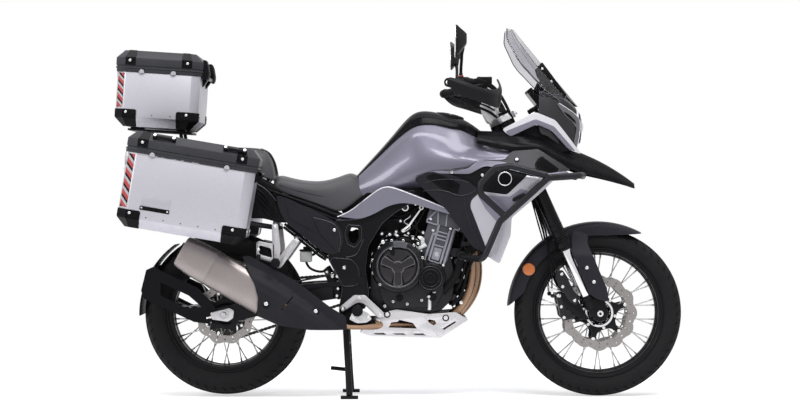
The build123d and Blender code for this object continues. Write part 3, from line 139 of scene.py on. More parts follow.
def makeFloor():
    # the floor keeps the shadow under the object and turns white away from it
    bpy.ops.mesh.primitive_plane_add(size=40, location=(0, 0, -0.0005))
    floor = bpy.context.active_object
    floor.name = "studioFloor"
    material = bpy.data.materials.new("paleFloor")
    material.use_nodes = True
    tree = material.node_tree
    tree.nodes.clear()
    seen = seenRays(tree)
    where = nodeAt(tree, "ShaderNodeTexCoord", -900, -300)
    reach = nodeAt(tree, "ShaderNodeVectorMath", -700, -300, operation="LENGTH")
    fade = nodeAt(tree, "ShaderNodeMapRange", -500, -300)
    surface = nodeAt(tree, "ShaderNodeBsdfDiffuse", -400, 0)
    glow = nodeAt(tree, "ShaderNodeEmission", -400, -150)
    white = nodeAt(tree, "ShaderNodeEmission", -200, -250)
    add = nodeAt(tree, "ShaderNodeAddShader", -200, -80)
    far = nodeAt(tree, "ShaderNodeMixShader", 0, -100)
    mix = nodeAt(tree, "ShaderNodeMixShader", 200, 0)
    out = nodeAt(tree, "ShaderNodeOutputMaterial", 400, 0)
    surface.inputs["Color"].default_value = (*lightSetup["floor"], 1)
    glow.inputs["Strength"].default_value = lightSetup["floorGlow"]
    fade.inputs["From Min"].default_value, fade.inputs["From Max"].default_value = lightSetup["floorFade"]
    linkAll(tree, [
        (where, "Object", reach, 0),
        (reach, "Value", fade, "Value"),
        (surface, 0, add, 0),
        (glow, 0, add, 1),
        (fade, "Result", far, "Fac"),
        (add, 0, far, 1),
        (white, 0, far, 2),
    ])
    tree.links.new(seen, mix.inputs["Fac"])
    linkAll(tree, [
        (surface, 0, mix, 1),
        (far, 0, mix, 2),
        (mix, 0, out, "Surface"),
    ])
    floor.data.materials.append(material)


makeCamera()
makeLight()
makeFloor()
print("camera, light and floor are in")


def newGroup(name, inputs, outputs):
    group = bpy.data.node_groups.new(name, "ShaderNodeTree")
    for label, kind, value in inputs:
        socket = group.interface.new_socket(label, in_out="INPUT", socket_type=kind)
        socket.default_value = value
    for label, kind in outputs:
        group.interface.new_socket(label, in_out="OUTPUT", socket_type=kind)
    return group, nodeAt(group, "NodeGroupInput", -1200), nodeAt(group, "NodeGroupOutput", 400)


def grainGroup():
    # fine moulded or painted texture: Height for a bump, Mask from 0 to 1
    group, start, end = newGroup(
        "surfaceGrain",
        [("Scale", "NodeSocketFloat", 900.0), ("Roughness", "NodeSocketFloat", 0.6)],
        [("Height", "NodeSocketFloat"), ("Mask", "NodeSocketFloat")],
    )
    where = nodeAt(group, "ShaderNodeTexCoord", -1000)
    noise = nodeAt(group, "ShaderNodeTexNoise", -700)
    cells = nodeAt(group, "ShaderNodeTexVoronoi", -700, -250)
    mix = nodeAt(group, "ShaderNodeMath", -350, operation="ADD")
    noise.inputs["Detail"].default_value = 3.0
    linkAll(group, [
        (where, "Object", noise, "Vector"),
        (where, "Object", cells, "Vector"),
        (start, "Scale", noise, "Scale"),
        (start, "Scale", cells, "Scale"),
        (start, "Roughness", noise, "Roughness"),
        (noise, "Fac", mix, 0),
        (cells, "Distance", mix, 1),
        (mix, 0, end, "Height"),
        (noise, "Fac", end, "Mask"),
    ])
    return group


def brushedGroup():
    # lines drawn out along one axis, for brushed and ground metal
    group, start, end = newGroup(
        "brushedLines",
        [("Stretch", "NodeSocketVector", (8.0, 900.0, 900.0)),
            ("Turn", "NodeSocketVector", (0.0, 0.0, 0.0))],
        [("Height", "NodeSocketFloat"), ("Mask", "NodeSocketFloat")],
    )
    where = nodeAt(group, "ShaderNodeTexCoord", -1000)
    turn = nodeAt(group, "ShaderNodeVectorRotate", -820, rotation_type="EULER_XYZ")
    scale = nodeAt(group, "ShaderNodeVectorMath", -640, operation="MULTIPLY")
    noise = nodeAt(group, "ShaderNodeTexNoise", -450)
    noise.inputs["Scale"].default_value = 1.0
    noise.inputs["Detail"].default_value = 4.0
    noise.inputs["Roughness"].default_value = 0.7
    linkAll(group, [
        (where, "Object", turn, "Vector"),
        (start, "Turn", turn, "Rotation"),
        (turn, "Vector", scale, 0),
        (start, "Stretch", scale, 1),
        (scale, "Vector", noise, "Vector"),
        (noise, "Fac", end, "Height"),
        (noise, "Fac", end, "Mask"),
    ])
    return group


def blotchGroup():
    # slow change of colour and gloss, as dust and handling leave it
    group, start, end = newGroup(
        "blotches",
        [
            ("Colour", "NodeSocketColor", (0.5, 0.5, 0.5, 1)),
            ("Dust", "NodeSocketColor", (0.5, 0.47, 0.43, 1)),
            ("Amount", "NodeSocketFloat", 0.15),
            ("Gloss", "NodeSocketFloat", 0.4),
            ("Spread", "NodeSocketFloat", 0.15),
            ("Scale", "NodeSocketFloat", 9.0),
        ],
        [("Colour", "NodeSocketColor"), ("Roughness", "NodeSocketFloat")],
    )
    where = nodeAt(group, "ShaderNodeTexCoord", -1000)
    noise = nodeAt(group, "ShaderNodeTexNoise", -800)
    fine = nodeAt(group, "ShaderNodeTexNoise", -800, -250)
    both = nodeAt(group, "ShaderNodeMath", -600, operation="MULTIPLY")
    ramp = nodeAt(group, "ShaderNodeMapRange", -400)
    amount = nodeAt(group, "ShaderNodeMath", -200, operation="MULTIPLY")
    mix = nodeAt(group, "ShaderNodeMix", 0, data_type="RGBA")
    spread = nodeAt(group, "ShaderNodeMath", -200, -250, operation="MULTIPLY_ADD")
    noise.inputs["Detail"].default_value = 4.0
    fine.inputs["Scale"].default_value = 160.0
    fine.inputs["Detail"].default_value = 3.0
    ramp.inputs["From Min"].default_value = 0.12
    ramp.inputs["From Max"].default_value = 0.42
    linkAll(group, [
        (where, "Object", noise, "Vector"),
        (where, "Object", fine, "Vector"),
        (start, "Scale", noise, "Scale"),
        (noise, "Fac", both, 0),
        (fine, "Fac", both, 1),
        (both, 0, ramp, "Value"),
        (ramp, "Result", amount, 0),
        (start, "Amount", amount, 1),
        (amount, 0, mix, "Factor"),
        (start, "Colour", mix, "A"),
        (start, "Dust", mix, "B"),
        (mix, "Result", end, "Colour"),
        (ramp, "Result", spread, 0),
        (start, "Spread", spread, 1),
        (start, "Gloss", spread, 2),
        (spread, 0, end, "Roughness"),
    ])
    return group


def flakeGroup():
    # metallic flakes of paint: each cell is a little lighter or darker
    group, start, end = newGroup(
        "paintFlakes",
        [
            ("Colour", "NodeSocketColor", (0.3, 0.3, 0.34, 1)),
            ("Light", "NodeSocketColor", (0.42, 0.42, 0.47, 1)),
            ("Scale", "NodeSocketFloat", 1400.0),
            ("Amount", "NodeSocketFloat", 0.35),
        ],
        [("Colour", "NodeSocketColor"), ("Height", "NodeSocketFloat")],
    )
    where = nodeAt(group, "ShaderNodeTexCoord", -1000)
    cells = nodeAt(group, "ShaderNodeTexVoronoi", -750)
    grey = nodeAt(group, "ShaderNodeSeparateColor", -550)
    amount = nodeAt(group, "ShaderNodeMath", -350, operation="MULTIPLY")
    mix = nodeAt(group, "ShaderNodeMix", -100, data_type="RGBA")
    linkAll(group, [
        (where, "Object", cells, "Vector"),
        (start, "Scale", cells, "Scale"),
        (cells, "Color", grey, 0),
        (grey, 0, amount, 0),
        (start, "Amount", amount, 1),
        (amount, 0, mix, "Factor"),
        (start, "Colour", mix, "A"),
        (start, "Light", mix, "B"),
        (mix, "Result", end, "Colour"),
        (grey, 1, end, "Height"),
    ])
    return group


groups = {"grain": grainGroup(), "brush": brushedGroup(), "blotch": blotchGroup(), "flake": flakeGroup()}


class Finish:
    # a Principled material that is built up by plain calls

    def __init__(self, name, rough=0.5, metal=0.0, coat=0.0, coatRough=0.03, specular=0.5):
        self.material = bpy.data.materials.new(name)
        self.material.use_nodes = True
        self.tree = self.material.node_tree
        self.shader = self.tree.nodes["Principled BSDF"]
        self.shader.inputs["Roughness"].default_value = rough
        self.shader.inputs["Metallic"].default_value = metal
        self.shader.inputs["Coat Weight"].default_value = coat
        self.shader.inputs["Coat Roughness"].default_value = coatRough
        self.shader.inputs["Specular IOR Level"].default_value = specular
        self.heightStack = None

    def group(self, key, **values):
        node = nodeAt(self.tree, "ShaderNodeGroup", -600, -200 * len(self.tree.nodes))
        node.node_tree = groups[key]
        for label, value in values.items():
            isColour = label in ("Colour", "Dust", "Light")
            node.inputs[label].default_value = (*value, 1) if isColour else value
        return node

    def colour(self, source):
        self.tree.links.new(source, self.shader.inputs["Base Color"])
        return self

    def plain(self, colour):
        self.shader.inputs["Base Color"].default_value = (*colour, 1)
        return self

    def worn(self, colour, dust, amount, gloss, spread=0.15, scale=9.0):
        node = self.group("blotch", Colour=colour, Dust=dust, Amount=amount, Gloss=gloss, Spread=spread,
            Scale=scale)
        self.tree.links.new(node.outputs["Colour"], self.shader.inputs["Base Color"])
        self.tree.links.new(node.outputs["Roughness"], self.shader.inputs["Roughness"])
        return self

    def bump(self, source, strength, distance):
        node = nodeAt(self.tree, "ShaderNodeBump", -250, -400)
        node.inputs["Strength"].default_value = strength
        node.inputs["Distance"].default_value = distance
        self.tree.links.new(source, node.inputs["Height"])
        if self.heightStack:
            self.tree.links.new(self.heightStack, node.inputs["Normal"])
        self.heightStack = node.outputs["Normal"]
        self.tree.links.new(self.heightStack, self.shader.inputs["Normal"])
        return self

    def grain(self, scale, strength, distance):
        return self.bump(self.group("grain", Scale=scale).outputs["Height"], strength, distance)

    def brushed(self, stretch, strength, distance, turn=(0, 0, 0)):
        node = self.group("brush")
        node.inputs["Stretch"].default_value = stretch
        node.inputs["Turn"].default_value = turn
        return self.bump(node.outputs["Height"], strength, distance)


def metallicPaint(name, dark, light, coat=1.0):
    f = Finish(name, rough=0.4, metal=0.55, coat=coat * 0.6, coatRough=0.1)
    node = f.group("flake", Colour=dark, Light=light)
    f.colour(node.outputs["Colour"])
    return f.bump(node.outputs["Height"], 0.08, 0.0002).material


def glossPaint(name, colour, coat=0.8, specular=0.2):
    f = Finish(name, rough=0.22, coat=coat, coatRough=0.03, specular=specular)
    f.worn(colour, (0.2, 0.2, 0.2), 0.05, 0.2, 0.08)
    return f.grain(500, 0.03, 0.0002).material


def paler(colour):
    # the colour that dust and handling leave on a dark finish
    return [min(1, c * 1.5 + 0.004) for c in colour]


def mouldedPlastic(name, colour, gloss=0.52, grain=0.35, scale=1500):
    f = Finish(name, specular=0.08)
    f.worn(colour, paler(colour), 0.4, gloss, 0.1)
    return f.grain(scale, grain, 0.0003).material


def coatedMetal(name, colour, gloss=0.38, metal=0.25):
    f = Finish(name, metal=metal, specular=0.12)
    f.worn(colour, paler(colour), 0.4, gloss, 0.1)
    return f.grain(700, 0.05, 0.0002).material


def brushedMetal(name, colour, gloss=0.3, stretch=(8, 900, 900), turn=(0, 0, 0), strength=0.12):
    f = Finish(name, metal=1.0)
    f.worn(colour, [c * 0.82 for c in colour], 0.5, gloss, 0.14, 14)
    return f.brushed(stretch, strength, 0.0002, turn).material


def castMetal(name, colour, gloss=0.45, metal=0.6):
    f = Finish(name, metal=metal)
    f.worn(colour, [c * 0.7 for c in colour], 0.5, gloss, 0.15, 20)
    return f.grain(420, 0.25, 0.0005).material


def rubberFinish(name, colour):
    f = Finish(name, specular=0.06)
    f.worn(colour, (0.035, 0.034, 0.033), 0.3, 0.62, 0.15, 14)
    return f.grain(900, 0.25, 0.0004).material


def leatherFinish(name, colour):
    f = Finish(name, specular=0.3)
    f.worn(colour, [c * 1.25 for c in colour], 0.4, 0.42, 0.1, 16)
    return f.grain(750, 0.35, 0.0005).material


def clearGlass(name, colour):
    f = Finish(name, rough=0.02)
    f.plain(colour)
    f.shader.inputs["Transmission Weight"].default_value = 1.0
    f.shader.inputs["IOR"].default_value = 1.2
    return f.material


mufflerRise = radians(29.5)
finish = {
    "tyre_rubber": rubberFinish("tyreRubber", (0.0145, 0.0142, 0.0155)),
    "rim_black": coatedMetal("rimBlack", (0.008, 0.008, 0.009), 0.28),
    "disc_steel": brushedMetal("discSteel", (0.27, 0.255, 0.25), 0.32, (300, 300, 300)),
    "fork_black": coatedMetal("forkBlack", (0.006, 0.006, 0.007), 0.2, 0.3),
    "slider_steel": brushedMetal("sliderSteel", (0.7, 0.7, 0.72), 0.12, (900, 900, 20)),
    "yoke_silver": castMetal("yokeSilver", (0.6, 0.6, 0.61), 0.36, 0.9),
    "bar_black": coatedMetal("barBlack", (0.008, 0.008, 0.009), 0.35),
    "soft_black": mouldedPlastic("softBlack", (0.006, 0.006, 0.007)),
    "mirror_black": mouldedPlastic("mirrorBlack", (0.009, 0.009, 0.01), 0.35, 0.12),
    "caliper_metal": castMetal("caliperMetal", (0.06, 0.06, 0.065), 0.4, 0.5),
    "hose_black": rubberFinish("hoseBlack", (0.008, 0.008, 0.008)),
    "frame_black": coatedMetal("frameBlack", (0.01, 0.01, 0.0115), 0.36),
    "engine_black": castMetal("engineBlack", (0.014, 0.014, 0.016), 0.36, 0.7),
    "engine_cover": castMetal("engineCover", (0.03, 0.028, 0.031), 0.3, 0.8),
    "header_bronze": brushedMetal("headerBronze", (0.3, 0.19, 0.125), 0.3, (300, 300, 60), strength=0.05),
    "muffler_steel": brushedMetal("mufflerSteel", (0.3, 0.268, 0.262), 0.36, (700, 700, 20),
        (0, mufflerRise, 0)),
    "guard_black": mouldedPlastic("guardBlack", (0.017, 0.0165, 0.0205), 0.4, 0.2),
    "bright_alloy": brushedMetal("brightAlloy", (0.56, 0.55, 0.57), 0.34),
    "radiator_black": castMetal("radiatorBlack", (0.03, 0.03, 0.03), 0.6, 0.2),
    "shock_metal": castMetal("shockMetal", (0.3, 0.3, 0.31), 0.35, 0.9),
    "chain_steel": castMetal("chainSteel", (0.06, 0.055, 0.05), 0.4, 0.9),
    "tank_grey": metallicPaint("tankGrey", (0.12, 0.113, 0.155), (0.19, 0.182, 0.24)),
    "gloss_black": glossPaint("glossBlack", (0.002, 0.002, 0.003), 0.02, 0.05),
    "trim_grey": metallicPaint("trimGrey", (0.15, 0.145, 0.19), (0.25, 0.24, 0.3)),
    "seat_cover": leatherFinish("seatCover", (0.048, 0.047, 0.053)),
    "shroud_grey": metallicPaint("shroudGrey", (0.012, 0.012, 0.015), (0.026, 0.026, 0.032), 0.4),
    "wing_silver": metallicPaint("wingSilver", (0.4, 0.39, 0.43), (0.54, 0.53, 0.58)),
    "lamp_clear": clearGlass("lampClear", (0.9, 0.93, 0.97)),
    "screen_clear": clearGlass("screenClear", (0.62, 0.61, 0.645)),
    "crash_steel": coatedMetal("crashSteel", (0.022, 0.022, 0.025), 0.3, 0.5),
    "stand_black": coatedMetal("standBlack", (0.009, 0.009, 0.01), 0.4),
    "case_alloy": brushedMetal("caseAlloy", (0.49, 0.48, 0.525), 0.42, (700, 700, 700), strength=0.05),
    "lid_black": mouldedPlastic("lidBlack", (0.042, 0.042, 0.047), 0.3, 0.08),
    "rack_black": coatedMetal("rackBlack", (0.01, 0.01, 0.011), 0.42),
    "spoke_steel": brushedMetal("spokeSteel", (0.4, 0.4, 0.41), 0.25, (400, 400, 400), strength=0.03),
    "side_black": mouldedPlastic("sideBlack", (0.0075, 0.0075, 0.009), 0.3, 0.12),
    "fender_black": mouldedPlastic("fenderBlack", (0.02, 0.0195, 0.025), 0.45, 0.1),
    "guard_satin": mouldedPlastic("guardSatin", (0.011, 0.011, 0.013), 0.32, 0.1),
    "caliper_black": castMetal("caliperBlack", (0.012, 0.012, 0.014), 0.35, 0.6),
    "lamp_grey": glossPaint("lampGrey", (0.1, 0.1, 0.112)),
    # dark grey for the painted shade lines along the screen's creases and edges
    "screen_edge": glossPaint("screenShadeLine", (0.1, 0.1, 0.11)),
    "brow_silver": metallicPaint("browSilver", (0.62, 0.61, 0.65), (0.78, 0.77, 0.8)),
    # a lighter grey for thin painted highlight lines along edges and creases
    "edge_grey": coatedMetal("edgeGrey", (0.06, 0.06, 0.07), 0.25, 0.7),
    # a lighter grey for painted highlights round the clutch relief and the rotor cap's rings
    "relief_grey": castMetal("reliefHighlightGrey", (0.12, 0.118, 0.13), 0.3, 0.8),
    # near-black for painted shade in recesses, gaps and the spaces behind parts
    "void_black": mouldedPlastic("paintedShadeBlack", (0.003, 0.003, 0.003), 0.8, 0.1),
    "peg_alloy": castMetal("pegAlloy", (0.52, 0.51, 0.53), 0.3, 0.9),
    "reservoir_pale": mouldedPlastic("reservoirPale", (0.4, 0.41, 0.4), 0.35, 0.05),
    "barrel_grey": castMetal("barrelGrey", (0.085, 0.085, 0.1), 0.36, 0.55),
    "barrel_edge": castMetal("barrelEdge", (0.26, 0.26, 0.3), 0.32, 0.75),
    "stripe_red": glossPaint("stripeRed", (0.42, 0.018, 0.016)),
    "stripe_pale": glossPaint("stripePale", (0.42, 0.42, 0.43)),
    "amber_lens": glossPaint("amberLens", (0.62, 0.16, 0.02)),
    "red_lens": glossPaint("redLens", (0.35, 0.01, 0.01)),
    "bolt_steel": brushedMetal("boltSteel", (0.72, 0.72, 0.73), 0.22, (500, 500, 500), strength=0.03),
}
slotOf = {part["node"]: part["material_slot"] for part in frame["record"]["subparts"]}


def dressNodes():
    for name in frame["nodes"]:
        piece = bpy.data.objects[name]
        piece.data.materials.clear()
        piece.data.materials.append(finish[slotOf[name]])


dressNodes()
print("materials are on the frame")


def only(piece):
    bpy.ops.object.select_all(action="DESELECT")
    piece.select_set(True)
    bpy.context.view_layer.objects.active = piece


def edit(piece, kind="FACE", everything=True):
    only(piece)
    bpy.ops.object.mode_set(mode="EDIT")
    bpy.ops.mesh.select_mode(type=kind)
    bpy.ops.mesh.select_all(action="SELECT" if everything else "DESELECT")


def done():
    bpy.ops.object.mode_set(mode="OBJECT")


def closeEdit():
    # every face is turned outward before edit mode ends
    bpy.ops.mesh.select_all(action="SELECT")
    bpy.ops.mesh.normals_make_consistent(inside=False)
    done()


def extrude(x, y, z):
    bpy.ops.mesh.extrude_region_move(TRANSFORM_OT_translate={"value": (x, y, z)})


def addSmoothing(piece, levels):
    change = piece.modifiers.new("smooth", "SUBSURF")
    change.levels = change.render_levels = levels


def addWall(piece, thickness, offset=0):
    change = piece.modifiers.new("wall", "SOLIDIFY")
    change.thickness, change.offset = thickness, offset


def tidyMesh(piece, merge=0.00002):
    edit(piece, "VERT")
    bpy.ops.mesh.remove_doubles(threshold=merge)
    bpy.ops.mesh.dissolve_degenerate(threshold=0.00001)
    closeEdit()
    return piece


def smooth(piece, angle=35):
    only(piece)
    bpy.ops.object.shade_smooth_by_angle(angle=radians(angle))
    return piece


def applyAll(piece):
    only(piece)
    for modifier in list(piece.modifiers):
        bpy.ops.object.modifier_apply(modifier=modifier.name)
    return piece


def rounded(piece, width, segments=2, angle=35):
    bevel = piece.modifiers.new("edges", "BEVEL")
    bevel.width = width
    bevel.segments = segments
    bevel.limit_method = "ANGLE"
    bevel.angle_limit = radians(angle)
    applyAll(piece)
    return smooth(piece, angle)


def started(name, count, filled=True):
    # a circle primitive whose points are then put where the outline wants them
    bpy.ops.object.select_all(action="DESELECT")
    bpy.ops.mesh.primitive_circle_add(vertices=count, radius=0.1,
        fill_type="NGON" if filled else "NOTHING")
    piece = bpy.context.active_object
    piece.name = name
    return piece


def plate(name, outline, low, high, bevel=0.0, segments=2, lie="XZ"):
    # a flat piece cut to an outline seen along Y, X or Z, between the two levels
    low, high = min(low, high), max(low, high)
    piece = started(name, len(outline))
    put = {
        "XZ": lambda a, b: (a, low, b),
        "YZ": lambda a, b: (low, a, b),
        "XY": lambda a, b: (a, b, low),
    }[lie]
    along = {"XZ": (0, 1, 0), "YZ": (1, 0, 0), "XY": (0, 0, 1)}[lie]
    for vertex, (a, b) in zip(piece.data.vertices, outline):
        vertex.co = put(a, b)
    edit(piece)
    extrude(*(v * (high - low) for v in along))
    closeEdit()
    return rounded(piece, bevel, segments) if bevel else piece


def spun(name, profile, centre, steps=64, axis=(0, 1, 0), angle=35):
    # profile points are (radius, place along the axis)
    piece = started(name, len(profile), filled=False)
    along = Vector(axis).normalized()
    out = along.orthogonal().normalized()
    centre = Vector(centre)
    for vertex, (radius, place) in zip(piece.data.vertices, profile):
        vertex.co = centre + out * radius + along * place
    edit(piece, "EDGE")
    bpy.ops.mesh.spin(steps=steps, angle=2 * pi, center=centre, axis=along)
    done()
    tidyMesh(piece)
    return smooth(piece, angle)


def block(name, low, high, bevel=0.0, segments=2):
    middle = [(a + b) / 2 for a, b in zip(low, high)]
    bpy.ops.object.select_all(action="DESELECT")
    bpy.ops.mesh.primitive_cube_add(size=1, location=middle, scale=[b - a for a, b in zip(low, high)])
    piece = bpy.context.active_object
    piece.name = name
    bpy.ops.object.transform_apply(location=True, rotation=True, scale=True)
    return rounded(piece, bevel, segments) if bevel else piece


def pin(name, start, end, radius, sides=24, bevel=0.0, endRadius=None):
    start, end = Vector(start), Vector(end)
    endRadius = radius if endRadius is None else endRadius
    bpy.ops.object.select_all(action="DESELECT")
    bpy.ops.mesh.primitive_cone_add(
        vertices=sides, radius1=radius, radius2=endRadius, depth=(end - start).length,
        location=(start + end) / 2, rotation=(end - start).to_track_quat("Z", "Y").to_euler(),
    )
    piece = bpy.context.active_object
    piece.name = name
    bpy.ops.object.transform_apply(location=True, rotation=True, scale=True)
    return rounded(piece, bevel, 2, 50) if bevel else smooth(piece, 40)


def pipe(name, points, radius, order=3, sides=6, steps=10, radii=None):
    # a round bar, hose or wire along a smooth line
    curve = bpy.data.curves.new(name, "CURVE")
    curve.dimensions = "3D"
    curve.bevel_depth = radius
    curve.bevel_resolution = sides
    curve.use_fill_caps = True
    curve.resolution_u = steps
    spline = curve.splines.new("NURBS")
    spline.points.add(len(points) - 1)
    for i, (point, place) in enumerate(zip(spline.points, points)):
        point.co = (*place, 1)
        point.radius = radii[i] if radii else 1.0
    spline.order_u = order
    spline.use_endpoint_u = True
    piece = bpy.data.objects.new(name, curve)
    scene.collection.objects.link(piece)
    only(piece)
    bpy.ops.object.convert(target="MESH")
    return smooth(bpy.context.active_object, 40)


def joined(name, pieces):
    bpy.ops.object.select_all(action="DESELECT")
    for piece in pieces:
        piece.select_set(True)
    bpy.context.view_layer.objects.active = pieces[0]
    if len(pieces) > 1:
        bpy.ops.object.join()
    whole = bpy.context.active_object
    whole.name = name
    return whole


def copyOf(piece, matrix=None, name=None):
    twin = piece.copy()
    twin.data = piece.data.copy()
    scene.collection.objects.link(twin)
    if matrix is not None:
        twin.data.transform(matrix)
        if matrix.determinant() < 0:
            twin.data.flip_normals()
    twin.name = name or piece.name
    return twin


def repeated(name, source, matrices):
    # the source is modelled at the origin and is used up
    copies = [copyOf(source, matrix) for matrix in matrices]
    bpy.data.objects.remove(source)
    return joined(name, copies)


acrossBike = Matrix.Diagonal((1, -1, 1, 1))


def bothSides(piece):
    return joined(piece.name, [piece, copyOf(piece, acrossBike)])


def facing(place, direction, turn=0.0, size=1.0):
    # a matrix that puts a piece, made on Z at the origin, at a place facing a direction
    tilt = Vector(direction).to_track_quat("Z", "Y").to_matrix().to_4x4()
    return Matrix.Translation(place) @ tilt @ Matrix.Rotation(turn, 4, "Z") @ Matrix.Scale(size, 4)


def cut(piece, tools, solver="EXACT", operation="DIFFERENCE"):
    # takes the tools' shapes out of the piece, or with INTERSECT all that is outside them
    tool = joined("cutter", tools) if isinstance(tools, list) else tools
    change = piece.modifiers.new("cut", "BOOLEAN")
    change.operation, change.solver, change.object = operation, solver, tool
    applyAll(piece)
    bpy.data.objects.remove(tool)
    return piece


def settle(piece, body, slot, look=None, replaces=()):
    # the piece gets its finish and its body; without a look of its own it gets the finish that is named
    # after the slot
    piece.data.materials.clear()
    piece.data.materials.append(finish[look or slot])
    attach(piece, body)
    if replaces:
        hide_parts(*replaces)
    return piece


def capHead(radius=0.006, height=0.004):
    # a round screw head with its socket
    bpy.ops.object.select_all(action="DESELECT")
    bpy.ops.mesh.primitive_cylinder_add(vertices=12, radius=radius, depth=height,
        location=(0, 0, height / 2))
    head = bpy.context.active_object
    edit(head, "FACE", False)
    done()
    for face in head.data.polygons:
        face.select = face.normal.z > 0.9
    editAgain(head)
    bpy.ops.mesh.inset(thickness=radius * 0.2, depth=0)
    bpy.ops.transform.translate(value=(0, 0, radius * 0.18))
    bpy.ops.mesh.inset(thickness=radius * 0.3, depth=0)
    extrude(0, 0, -height * 0.6)
    done()
    return smooth(head, 40)


def editAgain(piece):
    only(piece)
    bpy.ops.object.mode_set(mode="EDIT")


def arcOf(a, b, c, count):
    # points on the circle through three (x, y) points, from a to c by way of b
    (x1, y1), (x2, y2), (x3, y3) = a, b, c
    d = 2 * (x1 * (y2 - y3) + x2 * (y3 - y1) + x3 * (y1 - y2))
    cx = ((x1 * x1 + y1 * y1) * (y2 - y3) + (x2 * x2 + y2 * y2) * (y3 - y1)
        + (x3 * x3 + y3 * y3) * (y1 - y2)) / d
    cy = ((x1 * x1 + y1 * y1) * (x3 - x2) + (x2 * x2 + y2 * y2) * (x1 - x3)
        + (x3 * x3 + y3 * y3) * (x2 - x1)) / d
    first, mid, last = (atan2(y - cy, x - cx) for x, y in (a, b, c))
    turn = (last - first) % (2 * pi)
    if not 0 < (mid - first) % (2 * pi) < turn:
        turn -= 2 * pi
    r = hypot(x1 - cx, y1 - cy)
    return [(cx + r * cos(first + turn * i / count), cy + r * sin(first + turn * i / count))
        for i in range(count + 1)]


wheelSizes = {
    "front": {"axle": (0.780041, 0, 0.3293), "radius": 0.3293, "width": 0.11, "bead": 0.241,
        "hubHalf": 0.0655, "flange": 0.05, "body": "front_wheel"},
    "rear": {"axle": (-0.683959, 0, 0.3269), "radius": 0.3209, "width": 0.15, "bead": 0.216,
        "hubHalf": 0.0835, "flange": 0.058, "body": "rear_wheel"},
}
treadLook = {"pitches": 52, "stepsPerPitch": 6, "depth": 0.006, "slant": 0.55}


def treadPlace(offset, half):
    # how far across the tread a point lies, where it falls in the pattern's pitch, and its radius
    pitch = 2 * pi / treadLook["pitches"]
    share = offset.y / half
    angle = atan2(offset.z, offset.x) + treadLook["slant"] * pitch * abs(share) * 2.2
    return share, (angle / pitch + (0.5 if share > 0 else 0)) % 1, hypot(offset.x, offset.z)


def treadedTyre(which):
    s = wheelSizes[which]
    half, seat, lip = s["width"] / 2, s["width"] / 2 - 0.0185, s["bead"] + 0.0115
    rise = s["radius"] - s["bead"]
    belly, shoulder = (s["bead"] + 0.5 * rise, half), (s["bead"] + 0.79 * rise, half - 0.005)
    side = arcOf((lip, seat), belly, shoulder, 14)
    crown = arcOf(shoulder, (s["radius"], 0), (shoulder[0], -shoulder[1]), 18)
    # raised rings on the sidewall
    for i, lift in ((3, 0.0007), (4, 0.0007), (9, 0.0009), (13, 0.0008)):
        side[i] = (side[i][0], side[i][1] + lift)
    profile = side[:-1] + crown + [(r, -y) for r, y in reversed(side[:-1])]
    steps = treadLook["pitches"] * treadLook["stepsPerPitch"]
    piece = spun(f"{which}TreadedTyre", profile, s["axle"], steps, angle=32)
    centre = Vector(s["axle"])
    mesh = piece.data
    for line in mesh.edges:
        line.select = False
    for point in mesh.vertices:
        point.select = False
    for face in mesh.polygons:
        share, part, radius = treadPlace(face.center - centre, shoulder[1])
        slit = 0.3 < abs(share) < 0.75 and part < 0.167
        rib = 0.24 < abs(share) < 0.36 and part < 0.66
        middle = abs(share) < 0.12 and 0.34 < part < 0.5
        edge = 0.55 < abs(share) < 0.66 and 0.5 < part < 0.84
        face.select = radius >= s["bead"] + 0.6 * rise and (slit or rib or middle or edge)
    editAgain(piece)
    bpy.ops.mesh.select_mode(type="FACE")
    extrude(0, 0, 0)
    done()
    for point in mesh.vertices:
        if point.select:
            offset = point.co - centre
            radius = hypot(offset.x, offset.z)
            k = (radius - treadLook["depth"]) / radius
            point.co = centre + Vector((offset.x * k, offset.y, offset.z * k))
    mesh.update()
    # the slits' painted shade runs on over the shoulder as dark marks, where no slit is cut
    for face in mesh.polygons:
        share, part, radius = treadPlace(face.center - centre, shoulder[1])
        if abs(share) >= 0.75 and radius > s["bead"] + 0.7 * rise and part < 0.167:
            face.select = True
    return smooth(piece, 32)


def rimRing(which):
    s = wheelSizes[which]
    seat = s["width"] / 2 - 0.019
    bead, bed, lip = s["bead"], s["bead"] - 0.015, s["bead"] + 0.0135
    half = [
        (bed, 0.0), (bed, 0.011), (bed + 0.002, 0.0135), (bed + 0.005, seat - 0.012),
        (bed + 0.0085, seat - 0.009), (bed + 0.0085, seat - 0.003), (bead - 0.004, seat + 0.0035),
        (bead + 0.004, seat + 0.004), (lip - 0.004, seat + 0.0085), (lip, seat + 0.008),
        (lip + 0.001, seat + 0.004), (lip - 0.003, seat + 0.001), (bead - 0.001, seat - 0.001),
    ]
    inner = [(bead - 0.004, seat - 0.012), (bead - 0.009, 0.012)]
    profile = half + inner
    profile = profile + [(r, -y) for r, y in reversed(profile[1:])]
    return spun(f"{which}Rim", profile, s["axle"], 96, angle=28)


def hubBody(which):
    s = wheelSizes[which]
    half, flange = s["hubHalf"], s["flange"]
    bore, barrel, at = 0.0125, flange * 0.6, half * 0.62
    side = [
        (barrel * 0.92, 0), (barrel, at - 0.012), (flange - 0.003, at - 0.005), (flange, at - 0.003),
        (flange, at + 0.003), (flange - 0.004, at + 0.005), (barrel + 0.004, at + 0.007),
        (barrel + 0.003, half - 0.004), (barrel, half), (bore, half),
    ]
    profile = side + [(r, -y) for r, y in reversed(side[1:])]
    return spun(f"{which}Hub", profile, s["axle"], 48, angle=28)


